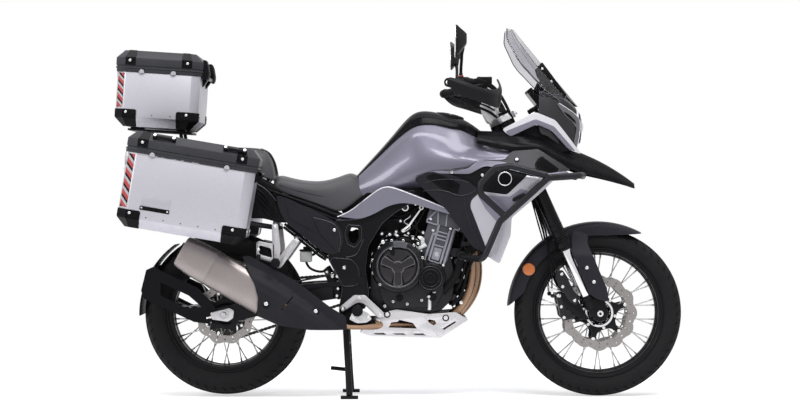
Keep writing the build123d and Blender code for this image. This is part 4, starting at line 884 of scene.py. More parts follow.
def spokeSet(which):
    s = wheelSizes[which]
    centre = Vector(s["axle"])
    pairs, sweep, split = 9, radians(27), radians(6)
    at, inner, outer = s["hubHalf"] * 0.62, s["flange"] - 0.005, s["bead"] - 0.0125
    pieces = []
    for i in range(pairs):
        for side, turn in ((-1, 1), (-1, -1), (1, 1), (1, -1)):
            a = i * 2 * pi / pairs + turn * split + (pi / pairs if side > 0 else 0)
            b = a + turn * sweep
            start = centre + Vector((cos(a) * inner, side * at, sin(a) * inner))
            end = centre + Vector((cos(b) * outer, side * 0.006, sin(b) * outer))
            along = (end - start).normalized()
            pieces.append(pin("spoke", start, end, 0.0023, 8))
            pieces.append(pin("nipple", end - along * 0.016, end + along * 0.004, 0.0034, 8,
                endRadius=0.0038))
            pieces.append(pin("elbow", start - Vector((0, side * 0.004, 0)),
                start + Vector((0, side * 0.007, 0)), 0.0036, 8))
    return joined(f"{which}Spokes", pieces)


def waveRing(name, centre, radius, inner, thickness, waves, depth, holes):
    # the friction ring: scalloped outside and inside, drilled in pairs
    steps = 18 * waves
    ring = []
    for i in range(steps):
        a = 2 * pi * i / steps
        wave = 0.5 + 0.5 * cos(waves * a)
        ring.append((a, radius - depth * (1 - wave) ** 1.3, inner + depth * 0.5 * wave))
    outline = started(name, steps * 2, filled=False)
    mesh = outline.data
    for i, (a, out, low) in enumerate(ring):
        mesh.vertices[i].co = (centre[0] + cos(a) * out, centre[1] - thickness / 2,
            centre[2] + sin(a) * out)
        mesh.vertices[i + steps].co = (centre[0] + cos(a) * low, centre[1] - thickness / 2,
            centre[2] + sin(a) * low)
    built = bmesh.new()
    built.from_mesh(mesh)
    bmesh.ops.delete(built, geom=list(built.edges), context="EDGES_FACES")
    points = list(built.verts)
    for i in range(steps):
        j = (i + 1) % steps
        built.faces.new((points[i], points[j], points[j + steps], points[i + steps]))
    built.to_mesh(mesh)
    built.free()
    edit(outline)
    extrude(0, thickness, 0)
    closeEdit()
    drills = []
    for i in range(waves):
        for share, shift, size in holes:
            a = (i + shift) * 2 * pi / waves
            r = inner + (radius - inner) * share
            place = Vector((centre[0] + cos(a) * r, centre[1], centre[2] + sin(a) * r))
            drills.append(pin("drill", place - Vector((0, 0.01, 0)), place + Vector((0, 0.01, 0)), size,
                12))
    cut(outline, drills, "MANIFOLD")
    return smooth(outline, 30)


def discCarrier(name, centre, inner, hub, arms, thickness, turn):
    # black spider: a ring at the hub with arms that end in bobbins
    outline = []
    for i in range(arms):
        a = 2 * pi * i / arms + turn
        for shift, r in ((-0.30, hub + 0.014), (-0.13, hub + 0.026), (-0.085, inner - 0.004),
                (0, inner + 0.004), (0.085, inner - 0.004), (0.13, hub + 0.026), (0.30, hub + 0.014)):
            outline.append((centre[0] + cos(a + shift) * r, centre[2] + sin(a + shift) * r))
    spider = plate(name, outline, centre[1] - thickness / 2, centre[1] + thickness / 2)
    bore = pin("drill", (centre[0], centre[1] - 0.02, centre[2]),
        (centre[0], centre[1] + 0.02, centre[2]), hub - 0.008, 32)
    cut(spider, bore, "MANIFOLD")
    return rounded(spider, 0.001, 2, 40)


def wheelSet(which):
    s = wheelSizes[which]
    tyre = treadedTyre(which)
    settle(tyre, s["body"], "tyre_rubber", replaces=(f"{which}_tyre",))
    # the slit floors and the shoulder marks get a near-black: painted shade in the tread
    tyre.data.materials.append(finish["void_black"])
    for face in tyre.data.polygons:
        if face.select:
            face.material_index = 1
    settle(rimRing(which), s["body"], "rim_black", replaces=(f"{which}_wire_wheel",))
    settle(hubBody(which), s["body"], "rim_black", replaces=(f"{which}_wire_wheel",))
    settle(spokeSet(which), s["body"], "disc_steel", "spoke_steel", replaces=(f"{which}_wire_wheel",))


wheelSet("front")
wheelSet("rear")

discLook = {"front": (0.149, 0.108, 0.068, 12), "rear": (0.12, 0.084, 0.086, 10), "thickness": 0.005}


def frontDiscs():
    radius, inner, y, waves = discLook["front"]
    x, _, z = wheelSizes["front"]["axle"]
    holes = ((0.3, 0.0, 0.0034), (0.62, 0.0, 0.0034), (0.42, 0.5, 0.0034), (0.78, 0.42, 0.0026))
    rings, carriers, bolts = [], [], []
    for side in (-1, 1):
        centre = (x, side * y, z)
        rings.append(waveRing("waveDisc", centre, radius, inner, discLook["thickness"], waves, 0.0095,
            holes))
        carriers.append(discCarrier("discCarrier", centre, inner, 0.056, 6, 0.0056, 0.3))
        for i in range(6):
            a = 2 * pi * i / 6 + 0.3
            for r, size in ((inner - 0.003, 1.0), (0.063, 0.85)):
                shift = 0.0 if r > 0.08 else pi / 6
                place = (x + cos(a + shift) * r, side * (y + 0.0026), z + sin(a + shift) * r)
                bolts.append(facing(place, (0, side, 0), size=size))
    settle(joined("frontWaveDiscs", rings), "front_wheel", "disc_steel", replaces=("front_discs",))
    settle(joined("frontDiscCarriers", carriers), "front_wheel", "rim_black", replaces=("front_discs",))
    settle(repeated("frontDiscBolts", capHead(0.0068, 0.0035), bolts), "front_wheel", "disc_steel",
        "bolt_steel")
    collars = [
        spun("hubCollar", [(0.047, 0), (0.0475, 0.004), (0.055, 0.004), (0.056, 0)],
            (x, side * 0.0705, z), 64, (0, side, 0))
        for side in (-1, 1)
    ]
    settle(joined("frontHubCollars", collars), "front_wheel", "disc_steel", "bolt_steel")


def rearDiscAndSprocket():
    radius, inner, y, waves = discLook["rear"]
    x, _, z = wheelSizes["rear"]["axle"]
    holes = ((0.32, 0.0, 0.0032), (0.66, 0.0, 0.0032), (0.45, 0.5, 0.0032))
    ring = waveRing("rearWaveDisc", (x, -y, z), radius, inner, discLook["thickness"], waves, 0.0085,
        holes)
    settle(ring, "rear_wheel", "disc_steel", replaces=("rear_disc_and_sprocket",))
    carrier = discCarrier("rearDiscCarrier", (x, -y, z), inner, 0.048, 5, 0.0056, 0.2)
    settle(carrier, "rear_wheel", "rim_black", replaces=("rear_disc_and_sprocket",))
    teeth, outline = 42, []
    for i in range(teeth):
        a = 2 * pi * i / teeth
        for shift, r in ((-0.5, 0.0965), (-0.22, 0.0985), (-0.1, 0.1035), (0.1, 0.1035), (0.22, 0.0985)):
            outline.append((x + cos(a + shift * 2 * pi / teeth) * r,
                z + sin(a + shift * 2 * pi / teeth) * r))
    wheel = plate("rearSprocket", outline, 0.0885, 0.0955)
    tools = [pin("drill", (x, 0.08, z), (x, 0.1, z), 0.03, 32)]
    for i in range(5):
        a = 2 * pi * i / 5
        tools.append(pin("drill", (x + cos(a) * 0.071, 0.08, z + sin(a) * 0.071),
            (x + cos(a) * 0.071, 0.1, z + sin(a) * 0.071), 0.0155, 24))
    cut(wheel, tools, "MANIFOLD")
    settle(rounded(wheel, 0.0006, 1, 40), "rear_wheel", "chain_steel",
        replaces=("rear_disc_and_sprocket",))
    cushion = spun("sprocketCarrier", [(0.013, 0.083), (0.013, 0.1), (0.03, 0.1), (0.032, 0.0955),
        (0.05, 0.0885), (0.05, 0.083)], (x, 0, z), 48)
    settle(cushion, "rear_wheel", "disc_steel", "yoke_silver", replaces=("rear_disc_and_sprocket",))
    bolts = []
    for i in range(5):
        a = 2 * pi * (i + 0.5) / 5
        bolts.append(facing((x + cos(a) * 0.046, 0.0955, z + sin(a) * 0.046), (0, 1, 0)))
        bolts.append(facing((x + cos(a) * 0.08, -y - 0.0026, z + sin(a) * 0.08), (0, -1, 0), size=0.9))
    settle(repeated("rearWheelBolts", capHead(0.0068, 0.004), bolts), "rear_wheel", "disc_steel",
        "bolt_steel")


frontDiscs()
rearDiscAndSprocket()
print("wheels are in")


def softened(outline, radius, count=4):
    # the same outline with its corners rounded
    points = []
    n = len(outline)
    for i in range(n):
        a, b, c = (Vector(outline[(i + j) % n]) for j in (-1, 0, 1))
        r = min(radius, (b - a).length * 0.45, (c - b).length * 0.45)
        start, end = b + (a - b).normalized() * r, b + (c - b).normalized() * r
        for k in range(count + 1):
            t = k / count
            points.append(tuple(start * (1 - t) ** 2 + b * 2 * t * (1 - t) + end * t * t))
    return points


def rowAt(rows, x):
    # the row of sizes at x, on a smooth line through the rows given
    if x <= rows[0][0]:
        return rows[0][1:]
    if x >= rows[-1][0]:
        return rows[-1][1:]
    i = max(k for k in range(len(rows) - 1) if rows[k][0] <= x)
    p0, p1, p2, p3 = rows[max(i - 1, 0)], rows[i], rows[i + 1], rows[min(i + 2, len(rows) - 1)]
    span = p2[0] - p1[0]
    t = (x - p1[0]) / span
    values = []
    for k in range(1, len(p1)):
        m1 = (p2[k] - p0[k]) / max(p2[0] - p0[0], 1e-6) * span
        m2 = (p3[k] - p1[k]) / max(p3[0] - p1[0], 1e-6) * span
        values.append(
            (2 * t**3 - 3 * t**2 + 1) * p1[k] + (t**3 - 2 * t**2 + t) * m1
            + (3 * t**2 - 2 * t**3) * p2[k] + (t**3 - t**2) * m2
        )
    return values


def softMin(a, b, width):
    h = max(width - abs(a - b), 0) / width
    return min(a, b) - h * h * width / 4


def sheet(name, columns, rows, place):
    # a grid primitive whose points are laid on a form; place(column, row) gives each point
    bpy.ops.object.select_all(action="DESELECT")
    bpy.ops.mesh.primitive_grid_add(x_subdivisions=columns, y_subdivisions=rows, size=1)
    piece = bpy.context.active_object
    piece.name = name
    for i, vertex in enumerate(piece.data.vertices):
        vertex.co = place(i % (columns + 1), i // (columns + 1))
    return piece


def skinPanel(name, outline, form, wall=0.004, bevel=0.0012, cell=0.009, lift=0.0, segments=2):
    # a sheet of the body's form, given a wall and cut to its side-view outline; form(x, z)
    # is the half width there
    xs, zs = [p[0] for p in outline], [p[1] for p in outline]
    left, right, low, high = min(xs) - cell, max(xs) + cell, min(zs) - cell, max(zs) + cell
    columns, rows = int((right - left) / cell) + 1, int((high - low) / cell) + 1

    def place(i, j):
        x, z = left + (right - left) * i / columns, low + (high - low) * j / rows
        return (x, -form(x, z) - lift, z)

    piece = sheet(name, columns, rows, place)
    edit(piece)
    extrude(0, wall, 0)
    closeEdit()
    cut(piece, plate("cutter", outline, -0.6, 0.0), "MANIFOLD", "INTERSECT")
    return rounded(piece, bevel, segments, 40) if bevel else smooth(piece, 30)


def cageBody(name, rings, wall=0.003, crease=None, levels=2, fit=4):
    # a smooth skin through rings of points; crease gives the sharpness of the line along each column
    rows, columns = len(rings) - 1, len(rings[0]) - 1
    target = [Vector(p) for ring in rings for p in ring]
    piece = sheet(name, columns, rows, lambda i, j: rings[j][i])
    if crease:
        layer = piece.data.attributes.new("crease_edge", "FLOAT", "EDGE")
        for line in piece.data.edges:
            a, b = line.vertices
            if a % (columns + 1) == b % (columns + 1):
                layer.data[line.index].value = crease[a % (columns + 1)]
    addSmoothing(piece, levels)
    for _ in range(fit):
        bpy.context.view_layer.update()
        shown = piece.evaluated_get(bpy.context.evaluated_depsgraph_get()).data.vertices
        moves = [target[i] - shown[i].co for i in range(len(target))]
        for vertex, move in zip(piece.data.vertices, moves):
            vertex.co += move
    if wall:
        addWall(piece, wall, -1)
    applyAll(piece)
    return smooth(piece, 40)


def mirroredRing(half):
    # half runs from the right-hand edge to the middle line, where y is 0
    return half + [(x, -y, z) for x, y, z in reversed(half[:-1])]


forkPlace = {"origin": (0.43, 0, 0.972), "lean": radians(24.5)}
forkMatrix = Matrix.Translation(forkPlace["origin"]) @ Matrix.Rotation(-forkPlace["lean"], 4, "Y")


def steeringRoom(grow=0.0):
    # the space that the fork and its yokes sweep
    outline = []
    for i in range(48):
        a = 2 * pi * i / 48
        x, y = (0.141 + grow) * cos(a), (0.141 + grow) * sin(a)
        outline.append((max(-0.059 - grow, min(0.123 + grow, x)), y))
    outline = [p for i, p in enumerate(outline) if Vector(p) != Vector(outline[i - 1])]
    room = plate("steeringRoom", outline, -0.6, 0.23, lie="XY")
    room.data.transform(forkMatrix)
    return room


# x, then the right-hand half section: cover edge, crease, widest, lower and bottom as y, z, and the ridge
tankRings = [
    (-0.160, (0.046, 0.866), (0.062, 0.852), (0.082, 0.826), (0.086, 0.782), (0.060, 0.752), 0.874),
    (-0.118, (0.053, 0.906), (0.073, 0.887), (0.100, 0.845), (0.104, 0.793), (0.070, 0.762), 0.920),
    (-0.076, (0.060, 0.946), (0.086, 0.922), (0.117, 0.865), (0.121, 0.806), (0.080, 0.772), 0.966),
    (-0.027, (0.070, 0.992), (0.101, 0.966), (0.136, 0.897), (0.140, 0.826), (0.090, 0.788), 1.022),
    (0.022, (0.079, 1.033), (0.117, 1.006), (0.152, 0.930), (0.157, 0.850), (0.100, 0.806), 1.079),
    (0.066, (0.087, 1.058), (0.132, 1.026), (0.168, 0.946), (0.171, 0.864), (0.106, 0.818), 1.112),
    (0.116, (0.091, 1.064), (0.143, 1.019), (0.181, 0.946), (0.183, 0.868), (0.112, 0.828), 1.116),
    (0.166, (0.092, 1.058), (0.151, 1.005), (0.191, 0.940), (0.191, 0.868), (0.118, 0.838), 1.106),
    (0.210, (0.092, 1.049), (0.157, 0.986), (0.197, 0.935), (0.196, 0.873), (0.122, 0.847), 1.094),
    (0.256, (0.090, 1.036), (0.161, 0.979), (0.201, 0.930), (0.199, 0.878), (0.126, 0.856), 1.080),
    (0.316, (0.086, 1.010), (0.165, 0.969), (0.203, 0.923), (0.199, 0.888), (0.130, 0.872), 1.040),
    (0.370, (0.104, 0.988), (0.168, 0.962), (0.200, 0.931), (0.195, 0.902), (0.130, 0.888), 1.004),
    (0.424, (0.120, 0.968), (0.170, 0.956), (0.196, 0.938), (0.190, 0.918), (0.130, 0.906), 0.970),
]
tankCurve = {"creaseSharpness": 1.0, "edgeSharpness": 0.8}


def tankSkin():
    rings = []
    for x, edge, crease, wide, lower, bottom, ridge in tankRings:
        half = [bottom, lower, wide, crease, edge, (edge[0] * 0.5, edge[1] + (ridge - edge[1]) * 0.5)]
        rings.append(mirroredRing([(x, -y, z) for y, z in half] + [(x, 0, ridge - 0.012)]))
    sharp = [0.5, 0.15, 0.0, tankCurve["creaseSharpness"], tankCurve["edgeSharpness"], 0, 0]
    skin = cageBody("tankSkin", rings, 0.003, sharp + sharp[-2::-1], 2)
    cut(skin, steeringRoom())
    settle(skin, "chassis", "tank_grey", replaces=("fuel_tank",))


def tankCover():
    rings = []
    rows = [(-0.182, (0.036, 0.842), 0, 0, 0, 0, 0.85)] + [r for r in tankRings if r[0] <= 0.32]
    for x, edge, *_, ridge in rows:
        y, z = edge
        rise = ridge - z
        half = [(y * 1.02, z - 0.006), (y * 1.01, z + 0.004), (y * 0.86, z + rise * 0.68),
            (y * 0.45, ridge)]
        rings.append(mirroredRing([(x, -a, b) for a, b in half] + [(x, 0, ridge + 0.002)]))
    sharp = [0.2, 0.6, 0.5, 0.3, 0]
    cover = cageBody("tankTopCover", rings, 0.003, sharp + sharp[-2::-1], 2)
    cut(cover, steeringRoom())
    settle(cover, "chassis", "gloss_black", replaces=("tank_cover",))
    beads = []
    for side in (-1, 1):
        path = [(x, side * edge[0] * 1.045, edge[1] - 0.004) for x, edge, *_ in rows]
        beads.append(pipe("coverBead", path, 0.0042, steps=8))
    settle(joined("tankCoverBeads", beads), "chassis", "gloss_black", "soft_black")
    # filler cap: a raised ring, the lid and its screws
    place = facing((0.196, 0, 1.096), (sin(radians(12)), 0, cos(radians(12))))
    ring = spun("fillerCap", [(0.0, 0.016), (0.02, 0.0165), (0.034, 0.0155), (0.037, 0.012),
        (0.04, 0.0135), (0.052, 0.0125), (0.056, 0.009), (0.058, -0.012), (0.0, -0.012)], (0, 0, 0), 64,
        (0, 0, 1))
    ring.data.transform(place)
    settle(ring, "chassis", "gloss_black", "mirror_black", replaces=("tank_cover",))
    heads = [place @ Matrix.Translation((0.046 * cos(a), 0.046 * sin(a), 0.0125))
        for a in (k * pi / 3 for k in range(6))]
    settle(repeated("fillerCapScrews", capHead(0.0035, 0.002), heads), "chassis", "gloss_black",
        "bolt_steel")


# x, then low, middle and high z with the half width at each
flankRows = [
    (0.03, 0.54, 0.15, 0.86, 0.176, 0.94, 0.15), (0.2, 0.55, 0.176, 0.88, 0.212, 0.97, 0.17),
    (0.32, 0.53, 0.208, 0.88, 0.244, 0.985, 0.184),
    (0.42, 0.51, 0.236, 0.868, 0.264, 0.99, 0.19), (0.52, 0.51, 0.24, 0.858, 0.264, 0.99, 0.184),
    (0.62, 0.51, 0.222, 0.85, 0.236, 0.98, 0.16),
    (0.72, 0.51, 0.184, 0.842, 0.188, 0.95, 0.124),
]


def flankAt(x, z):
    zLow, low, zMid, mid, zHigh, high = rowAt(flankRows, x)
    under = low + (mid - low) * (z - zLow) / (zMid - zLow)
    over = mid + (high - mid) * (z - zMid) / (zHigh - zMid)
    return softMin(under, over, 0.016)


shroudViews = {
    "upper": [(0.15, 0.886), (0.2, 0.893), (0.262, 0.9), (0.306, 0.927), (0.401, 0.926), (0.43, 0.96),
        (0.534, 0.968), (0.662, 0.886), (0.56, 0.872), (0.352, 0.9), (0.296, 0.898), (0.236, 0.872)],
    "rail": [(0.12, 0.884), (0.256, 0.891), (0.306, 0.926), (0.39, 0.92), (0.568, 0.873), (0.64, 0.884),
        (0.652, 0.876), (0.568, 0.852), (0.383, 0.898), (0.322, 0.902), (0.268, 0.872), (0.15, 0.874)],
    "inlay": [(0.15, 0.886), (0.236, 0.88), (0.296, 0.91), (0.352, 0.91), (0.56, 0.872), (0.54, 0.862),
        (0.484, 0.862), (0.462, 0.842), (0.41, 0.792), (0.306, 0.806), (0.262, 0.838)],
    "blade": [(0.054, 0.852), (0.108, 0.887), (0.15, 0.888), (0.262, 0.845), (0.312, 0.806),
        (0.274, 0.772), (0.269, 0.747), (0.338, 0.569), (0.283, 0.586), (0.183, 0.731), (0.115, 0.791)],
    "bladeInset": [(0.098, 0.862), (0.128, 0.876), (0.168, 0.864), (0.232, 0.832), (0.22, 0.79),
        (0.15, 0.822)],
    "wing": [(0.267, 0.747), (0.27, 0.772), (0.306, 0.806), (0.41, 0.792), (0.462, 0.842),
        (0.484, 0.862), (0.54, 0.862), (0.592, 0.85), (0.546, 0.806), (0.428, 0.704), (0.424, 0.634),
        (0.382, 0.526), (0.346, 0.548), (0.336, 0.569)],
    "wingFacet": [(0.3, 0.786), (0.34, 0.789), (0.42, 0.784), (0.462, 0.815), (0.49, 0.808),
        (0.455, 0.768), (0.405, 0.712), (0.37, 0.69), (0.33, 0.735)],
    "wingEdge": [(0.358, 0.62), (0.412, 0.72), (0.52, 0.812), (0.592, 0.85), (0.546, 0.806),
        (0.428, 0.704), (0.424, 0.634), (0.382, 0.526), (0.346, 0.548)],
    "scoop": [(0.484, 0.866), (0.538, 0.856), (0.496, 0.818), (0.466, 0.842)],
}


def shroudPanels():
    views = shroudViews
    upper = bothSides(skinPanel("shroudUpperSkin", softened(views["upper"], 0.012), flankAt, 0.004,
        0.0016))
    cut(upper, steeringRoom())
    settle(upper, "chassis", "shroud_grey", replaces=("shroud_upper",))
    rail = skinPanel("shroudRail", softened(views["rail"], 0.012), flankAt, 0.006, 0.0024, lift=0.003)
    settle(bothSides(rail), "chassis", "trim_grey", replaces=("shroud_upper",))
    inlay = skinPanel("shroudInlaySkin", softened(views["inlay"], 0.006), flankAt, 0.004, 0.001,
        lift=-0.004)
    settle(bothSides(inlay), "chassis", "soft_black", replaces=("shroud_inlay",))
    blade = skinPanel("shroudBlade", softened(views["blade"], 0.014), flankAt, 0.008, 0.003, lift=0.002,
        segments=3)
    settle(bothSides(blade), "chassis", "soft_black", "guard_black", replaces=("shroud_inlay",))
    inset = skinPanel("shroudBladeInset", softened(views["bladeInset"], 0.006), flankAt, 0.004, 0.0012,
        lift=0.004)
    settle(bothSides(inset), "chassis", "soft_black", "gloss_black")
    wing = skinPanel("shroudWingSkin", softened(views["wing"], 0.012), flankAt, 0.006, 0.0025, segments=3)
    settle(bothSides(wing), "chassis", "wing_silver", replaces=("shroud_wing",))
    facet = skinPanel("wingFacets", softened(views["wingFacet"], 0.005), flankAt, 0.003, 0.001,
        lift=0.0048)
    settle(bothSides(facet), "chassis", "wing_silver", "trim_grey")
    border = skinPanel("wingBorders", softened(views["wingEdge"], 0.01), flankAt, 0.004, 0.002,
        lift=0.005)
    settle(bothSides(border), "chassis", "wing_silver")
    # thin grey lines along the shroud's creases: painted highlights
    lines = [
        [(0.038, 0.8436), (0.076, 0.8674), (0.133, 0.891), (0.238, 0.8817), (0.286, 0.915)],
        [(0.086, 0.8054), (0.152, 0.8197), (0.2477, 0.7768), (0.2906, 0.81)],
        [(0.095, 0.8388), (0.181, 0.866), (0.2667, 0.8388)],
        [(0.2477, 0.7768), (0.255, 0.7), (0.3, 0.61)],
    ]
    creases = [pipe("crease", [(x, -flankAt(x, z) - 0.0042, z) for x, z in line], 0.0016, sides=4,
        radii=[0.3] + [1] * (len(line) - 2) + [0.3]) for line in lines]
    settle(bothSides(joined("shroudCreaseHighlights", creases)), "chassis", "soft_black", "edge_grey")
    scoop = skinPanel("wingScoops", softened(views["scoop"], 0.005), flankAt, 0.01, 0.003, lift=0.006)
    settle(bothSides(scoop), "chassis", "wing_silver")


def grilleAndEmblem():
    # a patch of small open cells near the front of the shroud, and a plain round badge with nothing on it
    def on(x, z, lift=0.0):
        return Vector((x, -flankAt(x, z) - lift, z))

    def outward(x, z):
        a, b = on(x + 0.004, z) - on(x - 0.004, z), on(x, z + 0.004) - on(x, z - 0.004)
        normal = b.cross(a).normalized()
        return -normal if normal.y > 0 else normal

    patch = [(0.546, 0.942), (0.612, 0.893), (0.604, 0.88), (0.568, 0.878), (0.52, 0.892),
        (0.518, 0.912), (0.531, 0.932)]
    backing = skinPanel("grilleBacking", softened(patch, 0.006), flankAt, 0.004, 0.001, lift=0.0022)
    settle(bothSides(backing), "chassis", "shroud_grey", "gloss_black")
    cell = spun("grilleCell", [(0.0026, 0.0), (0.0026, 0.0026), (0.0036, 0.0026), (0.0036, 0.0)],
        (0, 0, 0), 6, (0, 0, 1), 20)
    places = []
    slope = (patch[1][1] - patch[0][1]) / (patch[1][0] - patch[0][0])
    for i in range(14):
        for j in range(12):
            x, z = 0.518 + i * 0.0074 + (j % 2) * 0.0037, 0.878 + j * 0.0062
            belowTop = z < patch[0][1] + slope * (x - patch[0][0]) - 0.004
            aboveFoot = z > 0.882 + abs(x - 0.572) * 0.1
            behindFront = z < 0.905 + (x - 0.516) * 1.1
            if belowTop and aboveFoot and behindFront and x > 0.522:
                places.append(facing(on(x, z, 0.0016), outward(x, z)))
    settle(bothSides(repeated("grilleCells", cell, places)), "chassis", "shroud_grey", "soft_black")
    x, z = 0.4025, 0.853
    face = outward(x, z)
    badge = spun("shroudBadge", [(0, 0.002), (0.0225, 0.002), (0.0235, 0.0035), (0.0265, 0.0035),
        (0.0285, 0.0), (0, 0.0)], (0, 0, 0), 48, (0, 0, 1))
    badge.data.transform(facing(on(x, z, -0.0015), face))
    settle(bothSides(badge), "chassis", "soft_black", "gloss_black")
    ring = spun("badgeRing", [(0.0235, 0.0034), (0.0245, 0.0042), (0.0262, 0.0042), (0.0272, 0.0034)],
        (0, 0, 0), 48, (0, 0, 1))
    ring.data.transform(facing(on(x, z, -0.0015), face))
    settle(bothSides(ring), "chassis", "soft_black", "bolt_steel")
    screws = []
    for x, z in ((0.449, 0.926), (0.316, 0.866), (0.2, 0.878)):
        screws.append(facing(on(x, z, 0.001), outward(x, z)))
    settle(bothSides(repeated("shroudScrews", capHead(0.0062, 0.0035), screws)), "chassis",
        "soft_black", "bolt_steel")
    cups = [spun("cup", [(0.0066, 0.0), (0.0078, 0.0024), (0.0094, 0.0016), (0.0098, 0.0)], (0, 0, 0),
        24, (0, 0, 1)) for _ in screws]
    for cup, matrix in zip(cups, screws):
        cup.data.transform(matrix)
    settle(bothSides(joined("shroudScrewCups", cups)), "chassis", "soft_black", "gloss_black")


def tankTrim():
    view = [(-0.245, 0.709), (-0.205, 0.722), (-0.093, 0.81), (-0.044, 0.831), (0.06, 0.792),
        (0.19, 0.738), (0.2, 0.714), (0.06, 0.755), (0.005, 0.762), (-0.049, 0.748), (-0.103, 0.716),
        (-0.158, 0.697)]

    def form(x, z):
        # wider towards the front, drawn in at the tail
        return 0.1565 + 0.03 * max(0, x) / 0.2 - max(0, -0.15 - x) * 0.1

    trim = skinPanel("tankTrimBand", softened(view, 0.03), form, 0.02, 0.005, segments=4)
    settle(bothSides(trim), "chassis", "trim_grey", replaces=("tank_trim",))
    # a bright silver line along each trim's upper edge: a painted highlight
    line = [(-0.243, 0.709), (-0.2, 0.7245), (-0.14, 0.772), (-0.093, 0.8085), (-0.062, 0.8245),
        (-0.03, 0.8235), (0.06, 0.79), (0.185, 0.739)]
    bars = [pipe("trimEdge", [(x, side * (form(x, z) - 0.0012), z - 0.002) for x, z in line],
        0.0022, sides=4) for side in (-1, 1)]
    settle(joined("trimHighlightLines", bars), "chassis", "trim_grey", "brow_silver")


tankSkin()
tankCover()
tankTrim()
shroudPanels()
grilleAndEmblem()


# x, z and half width of the lower edge, z and half width of the top edge
beakRows = [
    (0.3, 0.99, 0.17, 1.036, 0.15), (0.43, 0.962, 0.184, 1.03, 0.15),
    (0.534, 0.968, 0.182, 1.012, 0.13), (0.62, 0.915, 0.16, 0.985, 0.1),
    (0.7, 0.88, 0.12, 0.955, 0.064), (0.79, 0.858, 0.078, 0.915, 0.036),
    (0.87, 0.836, 0.046, 0.868, 0.02), (0.922, 0.818, 0.016, 0.83, 0.008),
]


def beak():
    rings = []
    for i in range(19):
        x = 0.3 + (0.922 - 0.3) * i / 18
        low, halfLow, high, halfHigh = rowAt(beakRows, x)
        half = [(x, -halfLow, low), (x, -halfLow * 0.96 - halfHigh * 0.04, low + (high - low) * 0.24),
            (x, -halfHigh, high), (x, -halfHigh * 0.55, high + 0.003)]
        rings.append(mirroredRing(half + [(x, 0, high + 0.004)]))
    sharp = [0, 0.6, 0.75, 0, 0]
    shell = cageBody("beakShell", rings, 0.004, sharp + sharp[-2::-1], 2, 3)
    cut(shell, steeringRoom())
    settle(shell, "chassis", "gloss_black", replaces=("front_beak",))
    blades, flutes = [], []
    for side in (-1, 1):
        path = []
        for x in (0.5, 0.56, 0.62, 0.68, 0.74, 0.8, 0.86, 0.905):
            low, halfLow, high, halfHigh = rowAt(beakRows, x)
            path.append((x, side * (halfLow + 0.002), low + 0.002))
        blades.append(pipe("beakEdge", path, 0.0035, radii=[0.4, 1, 1, 1, 1, 0.9, 0.7, 0.4]))
        # two flutes as raised lines in a lighter grey: a painted highlight along each
        for drop, start in ((0.012, 0.46), (0.024, 0.52)):
            path = []
            for k in range(8):
                x = start + (0.9 - start) * k / 7
                low, halfLow, high, halfHigh = rowAt(beakRows, x)
                share = min(0.8, (drop + 0.006) / max(high - low, 0.01))
                path.append((x, side * (halfLow + (halfHigh - halfLow) * share + 0.0035),
                    low + (high - low) * share + 0.002))
            flutes.append(pipe("beakFlute", path, 0.0026, radii=[0.3, 1, 1, 1, 1, 0.8, 0.6, 0.2]))
    settle(joined("beakEdges", blades), "chassis", "gloss_black", "soft_black")
    settle(joined("beakFlutes", flutes), "chassis", "gloss_black", "edge_grey")


cowlRows = [(0.54, 1.04, 0.146, 1.205, 0.112), (0.6, 1.0, 0.132, 1.188, 0.104),
    (0.65, 0.968, 0.108, 1.162, 0.092), (0.688, 0.96, 0.088, 1.128, 0.074)]
browRows = [(0.38, 0.94, 0.168, 1.13, 0.158), (0.54, 0.94, 0.162, 1.13, 0.15),
    (0.62, 0.93, 0.146, 1.13, 0.132), (0.712, 0.93, 0.104, 1.13, 0.092)]


def noseCowl():
    rings = []
    for i in range(7):
        x = 0.54 + (0.688 - 0.54) * i / 6
        low, halfLow, high, halfHigh = rowAt(cowlRows, x)
        half = [(x, -halfLow, low), (x, -(halfLow + halfHigh) / 2 - 0.004, (low + high) / 2),
            (x, -halfHigh, high - 0.012), (x, -halfHigh * 0.8, high - 0.001)]
        rings.append(mirroredRing(half + [(x, 0, high + 0.004)]))
    sharp = [0, 0, 0.5, 0.5, 0]
    shell = cageBody("noseCowlShell", rings, 0.004, sharp + sharp[-2::-1], 2, 3)
    cut(shell, steeringRoom())
    settle(shell, "chassis", "gloss_black", "shroud_grey", replaces=("nose_cowl",))

    def browForm(x, z):
        low, halfLow, high, halfHigh = rowAt(browRows, x)
        return halfLow + (halfHigh - halfLow) * (z - low) / (high - low)

    view = [(0.394, 1.046), (0.524, 1.114), (0.604, 1.082), (0.71, 0.95), (0.66, 0.966), (0.588, 1.042),
        (0.53, 1.066), (0.428, 1.018)]
    brow = skinPanel("noseBrow", softened(view, 0.014), browForm, 0.014, 0.004, segments=3)
    brow = bothSides(brow)
    cut(brow, steeringRoom())
    settle(brow, "chassis", "wing_silver", "brow_silver", replaces=("nose_trim",))
    rib = [(0.408, 1.038), (0.526, 1.086), (0.598, 1.058), (0.684, 0.962), (0.662, 0.966),
        (0.588, 1.042), (0.53, 1.066), (0.428, 1.018)]
    shade = skinPanel("noseBrowShade", softened(rib, 0.008), browForm, 0.004, 0.0012, lift=0.002)
    shade = bothSides(shade)
    cut(shade, steeringRoom())
    settle(shade, "chassis", "wing_silver", "trim_grey")


fenderLook = {"inner": 0.354, "wall": 0.0035, "half": 0.064}


